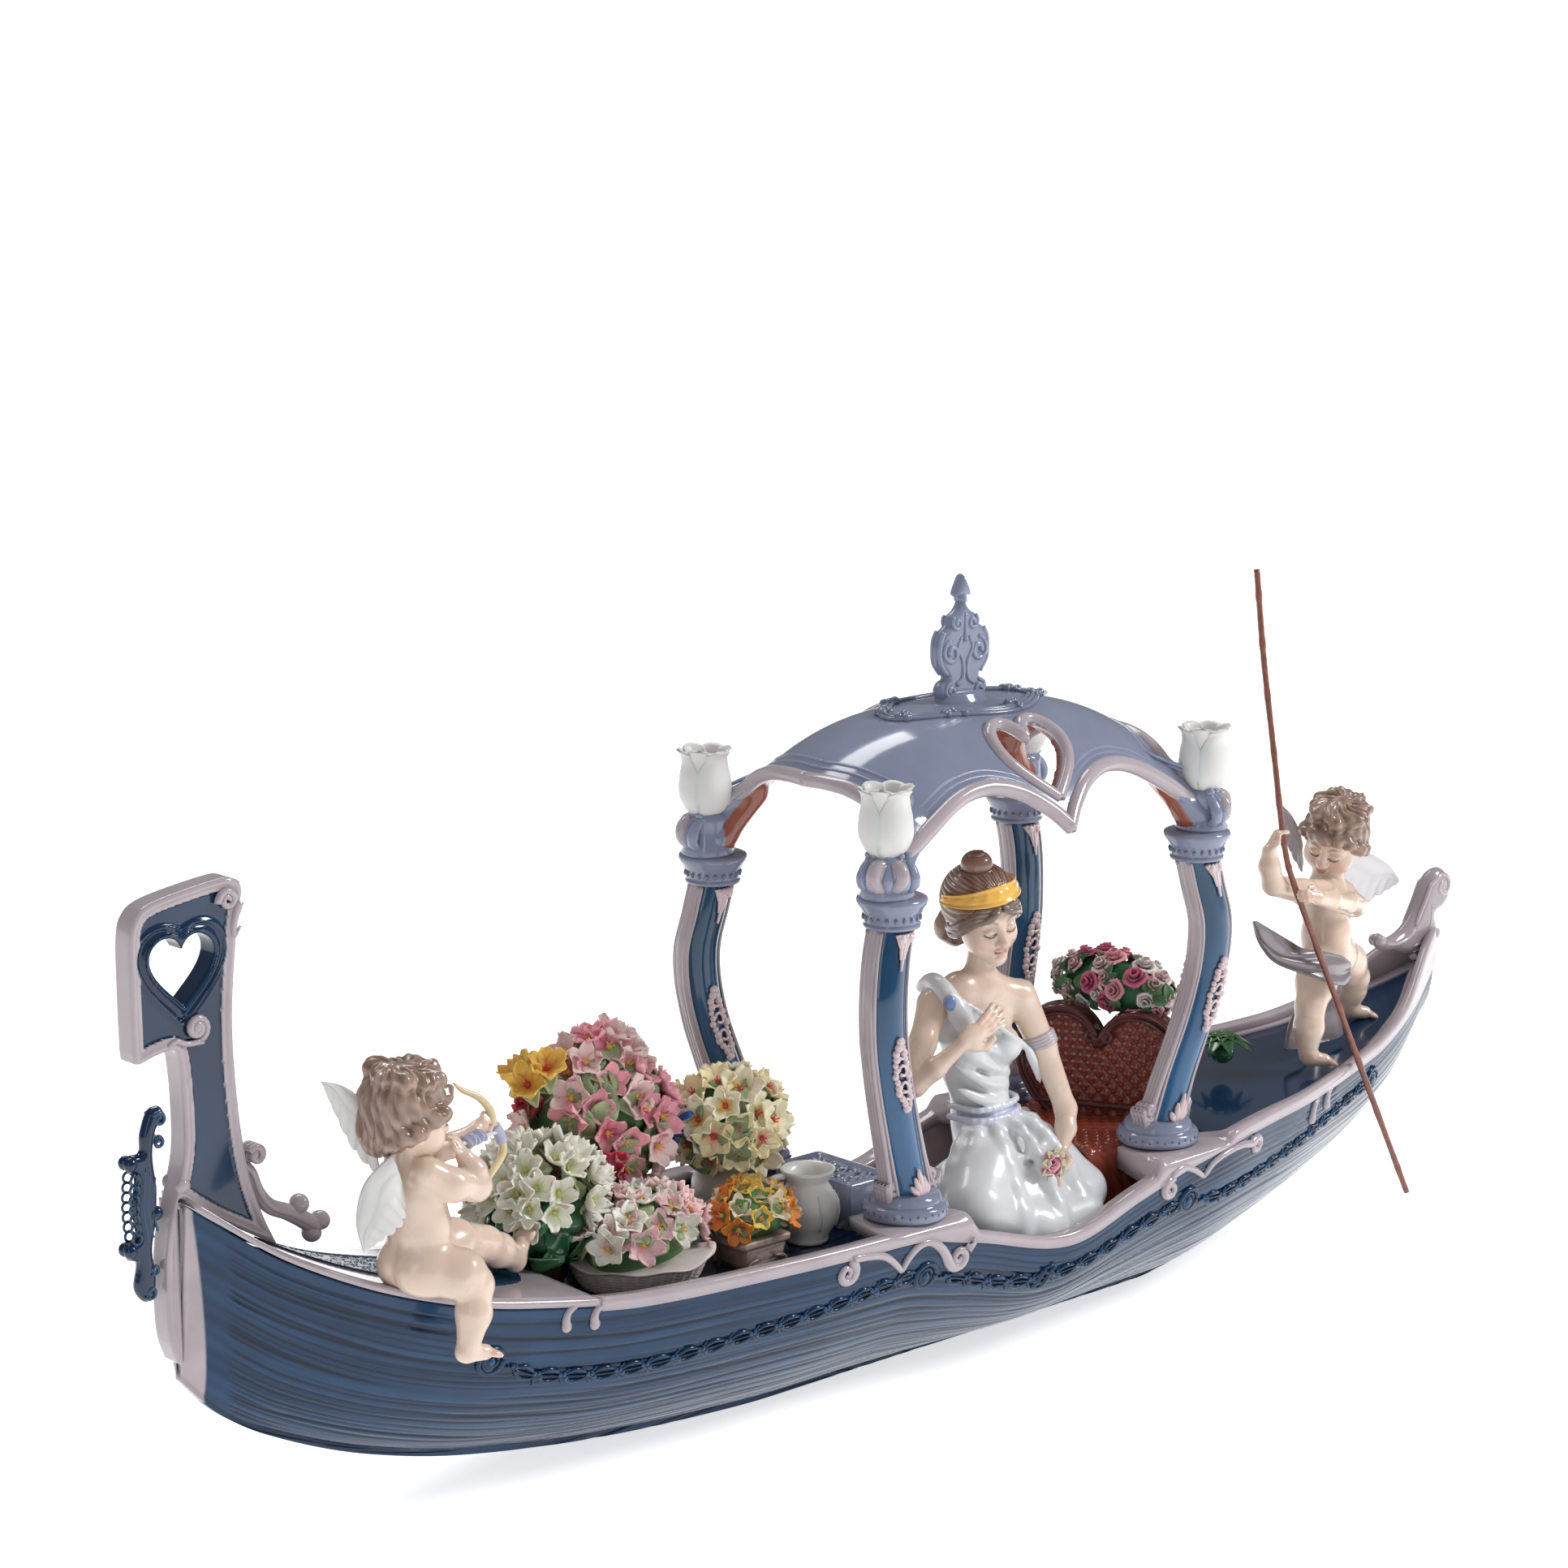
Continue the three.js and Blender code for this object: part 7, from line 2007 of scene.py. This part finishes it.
def step():
    """The slab in front of the cabin, with a double border and an embossed, speckled panel."""
    piece = Piece()
    low, high = np.array((-92.0, -24.0)), np.array((-64.0, 26.0))
    middle, half = (low + high) / 2, (high - low) / 2

    def frame_ring(inset, z, r=2.0):
        out = []
        hx, hy = half - inset
        for qx, qy, start in ((1, 1, 0), (-1, 1, 1), (-1, -1, 2), (1, -1, 3)):
            for k in range(6):
                a = math.pi / 2 * (start + k / 5)
                out.append((middle[0] + qx * (hx - r) + r * math.cos(a),
                            middle[1] + qy * (hy - r) + r * math.sin(a), z))
        return out
    rings = [(0, 71.4), (0, 91.6), (0.6, 92.8), (1.6, 93.0), (2.6, 92.7), (3.0, 91.9), (3.6, 92.7),
             (4.4, 92.7), (4.9, 91.5)]
    piece.grid(np.array([frame_ring(i, z) for i, z in rings]), BLUE_GREY, around=True, caps=True)
    random = np.random.default_rng(8)
    x, y = np.meshgrid(np.linspace(low[0] + 4.6, high[0] - 4.6, 44),
                       np.linspace(low[1] + 4.6, high[1] - 4.6, 84),
                       indexing="ij")
    lumps = np.zeros_like(x)
    for _ in range(150):
        px, py = random.uniform(low[0] + 5, high[0] - 5), random.uniform(low[1] + 5, high[1] - 5)
        lumps = np.maximum(lumps, np.exp(-((x - px) ** 2 + (y - py) ** 2) / random.uniform(0.8, 3.5)))
    net = np.stack([x, y, 91.6 + 1.0 * lumps], -1)
    piece.grid(net, blend_colour(np.array(NAVY) * 0.8, np.array(BLUE_GREY) * 1.2, lumps))
    piece.object("cabin_step_slab", SMOOTH, "porcelain_blue_grey", ["cabin_step"])


basket()
crate()
vessels()
step()


# ---- sofa ----------------------------------------------------------------------------------------------
SOFA_Z, SOFA_WIDE, SOFA_HIGH, TUFT = 98, 86, 84, 7.4     # heart's middle and size, and pitch of the quilting


def sofa():
    """Heart-shaped quilted back with a carved crest, over a quilted seat."""
    middle, turn = np.array((96.0, -4.0, 0.0)), 0.47
    outline = heart(0, SOFA_Z, SOFA_WIDE, SOFA_HIGH, 120)
    outline = outline[outline[:, 1] > 57]

    def quilt(d, x, z):
        u, v = (x + z) / TUFT, (x - z) / TUFT
        puff = np.abs(np.sin(math.pi * u)) ** 0.6 * np.abs(np.sin(math.pi * v)) ** 0.6
        rim = smoothstep(-d, -5.0, -4.2)
        return ((3.4 + 1.5 * puff) * (1 - rim) + 6.2 * np.sqrt(np.clip(1
            - ((np.clip(d, 0, 5) - 2.5) / 3.2) ** 2, 0.02, 1)) * rim)
    points, faces, depth = plate(outline, quilt, step=0.8, thickest=9)
    u, v = (points[:, 0] + points[:, 2]) / TUFT, (points[:, 0] - points[:, 2]) / TUFT
    tuft = np.minimum(np.abs(u - np.round(u)), np.abs(v - np.round(v)))
    # The quilting seams are painted darker than the puffs, as painted shade in the creases.
    colour = blend_colour(np.array(MAROON) * 0.75, (0.22, 0.045, 0.03), smoothstep(tuft, 0.0, 0.14))
    colour = blend_colour(colour, (0.07, 0.018, 0.018), smoothstep(-depth, -5.0, -4.4))
    c, s = math.cos(math.pi / 2 + turn), math.sin(math.pi / 2 + turn)
    spin = np.array([[c, s, 0], [-s, c, 0], [0, 0, 1]])
    piece = Piece()
    piece.add(points @ spin + middle, faces, colour)
    for x, z in [(i * TUFT / 2, SOFA_Z + j * TUFT / 2) for i in range(-9, 10) for j in range(-9, 9)
                 if (i + j) % 2 == 0]:
        inside = polygon_distance(np.array([x]), np.array([z]), outline)[0]
        if inside < -6.0:
            for face in (-1, 1):
                spot = np.array((x, face * 3.8, z)) @ spin + middle
                piece.ball(spot, (0.75, 0.75, 0.75), (0.34, 0.10, 0.07), rows=5, sides=6)
    for away, size in ((1.6, 1.3), (4.4, 1.0)):
        crest = heart(0, SOFA_Z, SOFA_WIDE - 2 * away, SOFA_HIGH - 2 * away, 120)
        crest = crest[crest[:, 1] > 90]
        k = int(np.argmax(np.linalg.norm(np.diff(crest, axis=0), axis=1))) + 1
        crest = np.roll(crest, -k, axis=0)
        for face in (-1, 1):
            line = np.stack([crest[:, 0], np.full(len(crest), face * 5.6), crest[:, 1]], -1) @ spin + middle
            piece.tube(line, size, (0.10, 0.03, 0.03), sides=6)
    for s2 in (-1, 1):
        for face in (-1, 1):
            roll = spiral((s2 * 3.6, 124.5), 3.4, 0.8, 90, -1.2 * s2)
            line = np.stack([roll[:, 0], np.full(26, face * 5.4), roll[:, 1]], -1) @ spin + middle
            piece.tube(line, 1.2, (0.10, 0.03, 0.03), sides=6)
    piece.object("sofa_heart", SMOOTH, "porcelain_maroon", ["sofa_back"])

    seat = Piece()
    clay = Clay((40, -52, 46), (114, 44, 92), 0.8)
    p = clay.everywhere()
    q = np.abs(p - np.array((76, -4, 66))) - np.array((27, 36, 15))
    box = np.linalg.norm(np.maximum(q, 0), axis=-1) + np.minimum(q.max(-1), 0) - 4.0
    u = (p[..., 0] + p[..., 1] + p[..., 2]) / TUFT
    v = (p[..., 0] - p[..., 1] + p[..., 2] * 0.3) / TUFT
    puff = np.abs(np.sin(math.pi * u)) ** 0.6 * np.abs(np.sin(math.pi * v)) ** 0.6
    clay.field = (box - 1.2 * puff).astype(np.float32)
    clay.egg((4, -26, 72), (49, 36, 30), soft=3, carve=True)
    points, faces = clay.mesh()
    seat.add(points, faces, (0.24, 0.05, 0.032))
    seat.object("sofa_cushion", SMOOTH, "porcelain_maroon", ["sofa_seat"])


sofa()


# ---- decks ---------------------------------------------------------------------------------------------
def deck_top(low_x, high_x, lift, colour, name, slot, replaces, inset, rows=17, stations=90):
    """A crowned deck between two stations, following the sheer."""
    x = np.linspace(low_x, high_x, stations)[:, None]
    v = np.linspace(-1, 1, rows)[None, :]
    wide = np.maximum(half_breadth(x) - inset, 0.6)
    y = wide * v
    top = sheer(x) + lift + 1.2 * (1 - v ** 2)
    net = np.stack([x + 0 * v, y, top], -1)
    under = net - np.array((0, 0, 3.0))
    piece = Piece()
    piece.grid(np.concatenate([net, under[:, ::-1]], axis=1), colour, around=True, caps=True)
    piece.object(name, SMOOTH, slot, replaces)


deck_top(-434, DECK_END_X, GAP + DECK_T - 0.6, MAUVE, "bow_deck_top", "porcelain_mauve", ["bow_deck"], -1.0)


STERN_LIFT = -1.4            # the deck lies this far below the sheer


def stern_deck():
    """The glossy dark deck behind the cabin, with a pale margin along the rails."""
    x = np.linspace(STERN_DECK_X + 0.5, 346, 150)[:, None]
    v = np.linspace(-1, 1, 61)[None, :]
    wide = np.maximum(half_breadth(x) - 3.5, 0.6)
    margin = wide * (1 - np.abs(v)) - (5.5 + 2.5 * smoothstep(x, 300, 345))
    ledge = 1 - smoothstep(margin, -0.4, 0.8)
    top = sheer(x) + STERN_LIFT + 0.8 * (1 - v ** 2) + 1.3 * ledge
    net = np.stack([x + 0 * v, wide * v, top], -1)
    under = net - np.array((0, 0, 3.0))
    tint = blend_colour(np.array(NAVY) * 1.1, MAUVE, ledge)
    piece = Piece()
    piece.grid(np.concatenate([net, under[:, ::-1]], axis=1), np.concatenate([tint, tint[:, ::-1]], axis=1),
               around=True,
               caps=True)
    piece.object("stern_deck_top", SMOOTH, "porcelain_navy", ["stern_deck"])


def boards(name, node, low_x, high_x, z, colour, slot):
    """A floor of narrow boards between the hull's sides."""
    x = np.linspace(low_x, high_x, 120)[:, None]
    v = np.linspace(-1, 1, 91)[None, :]
    share = (z - keel(x)) / (sheer(x) - keel(x))
    wide = half_breadth(x) * fullness(share) - WALL - 0.6
    y = wide * v
    seam = np.exp(-((y / 9.0 - np.round(y / 9.0)) / 0.06) ** 2)
    net = np.stack([x + 0 * v, y, z + 0.2 - 0.5 * seam], -1)
    under = net - np.array((0, 0, 3.0))
    tint = blend_colour(colour, np.array(colour) * 0.45, seam)
    piece = Piece()
    piece.grid(np.concatenate([net, under[:, ::-1]], axis=1), np.concatenate([tint, tint[:, ::-1]], axis=1),
               around=True,
               caps=True)
    piece.object(name, SMOOTH, slot, [node])


stern_deck()
boards("cargo_boards", "cargo_floor", DECK_END_X + 3, -66, CARGO_Z, NAVY, "porcelain_navy")
boards("cabin_boards", "cabin_floor", -60, 110, CABIN_Z, MAUVE, "porcelain_mauve")


def bow_inlay():
    """Dark panel let into the bow deck, pebbled and with a narrow border."""
    outline = curve([(-398, 2), (-388, 8), (-360, 16), (-320, 24), (-290, 26), (-277, 18), (-272, 0),
                     (-277, -18),
                     (-290, -26), (-320, -24), (-360, -16), (-388, -8), (-398, -2)], 120)
    x, y = np.meshgrid(np.linspace(-399, -271, 150), np.linspace(-27, 27, 66), indexing="ij")
    inside = polygon_distance(x, y, outline)
    random = np.random.default_rng(5)
    pebble = (np.sin(x * 1.9 + 2 * np.sin(y * 0.7)) * np.sin(y * 2.1 + 2 * np.sin(x * 0.6))
              + random.uniform(-0.3, 0.3, x.shape))
    rise = np.where(inside < 0, 0.9, -2.5) + np.where(inside < -1.6, 0.25 * pebble - 0.5, 0)
    z = sheer(x) + GAP + DECK_T - 0.6 + 1.2 * (1 - (y / (half_breadth(x) + 1)) ** 2) + rise
    piece = Piece()
    # Raised pebbles are painted lighter and the hollows darker, a painted highlight and painted shade.
    tint = blend_colour(np.array(NAVY) * 0.7, NAVY_HIGHLIGHT, 0.5 + 0.35 * pebble)
    piece.grid(np.stack([x, y, z], -1), tint)
    piece.object("bow_inlay_pebbled", GLOSS, "porcelain_navy", ["bow_deck_inlay"])


bow_inlay()
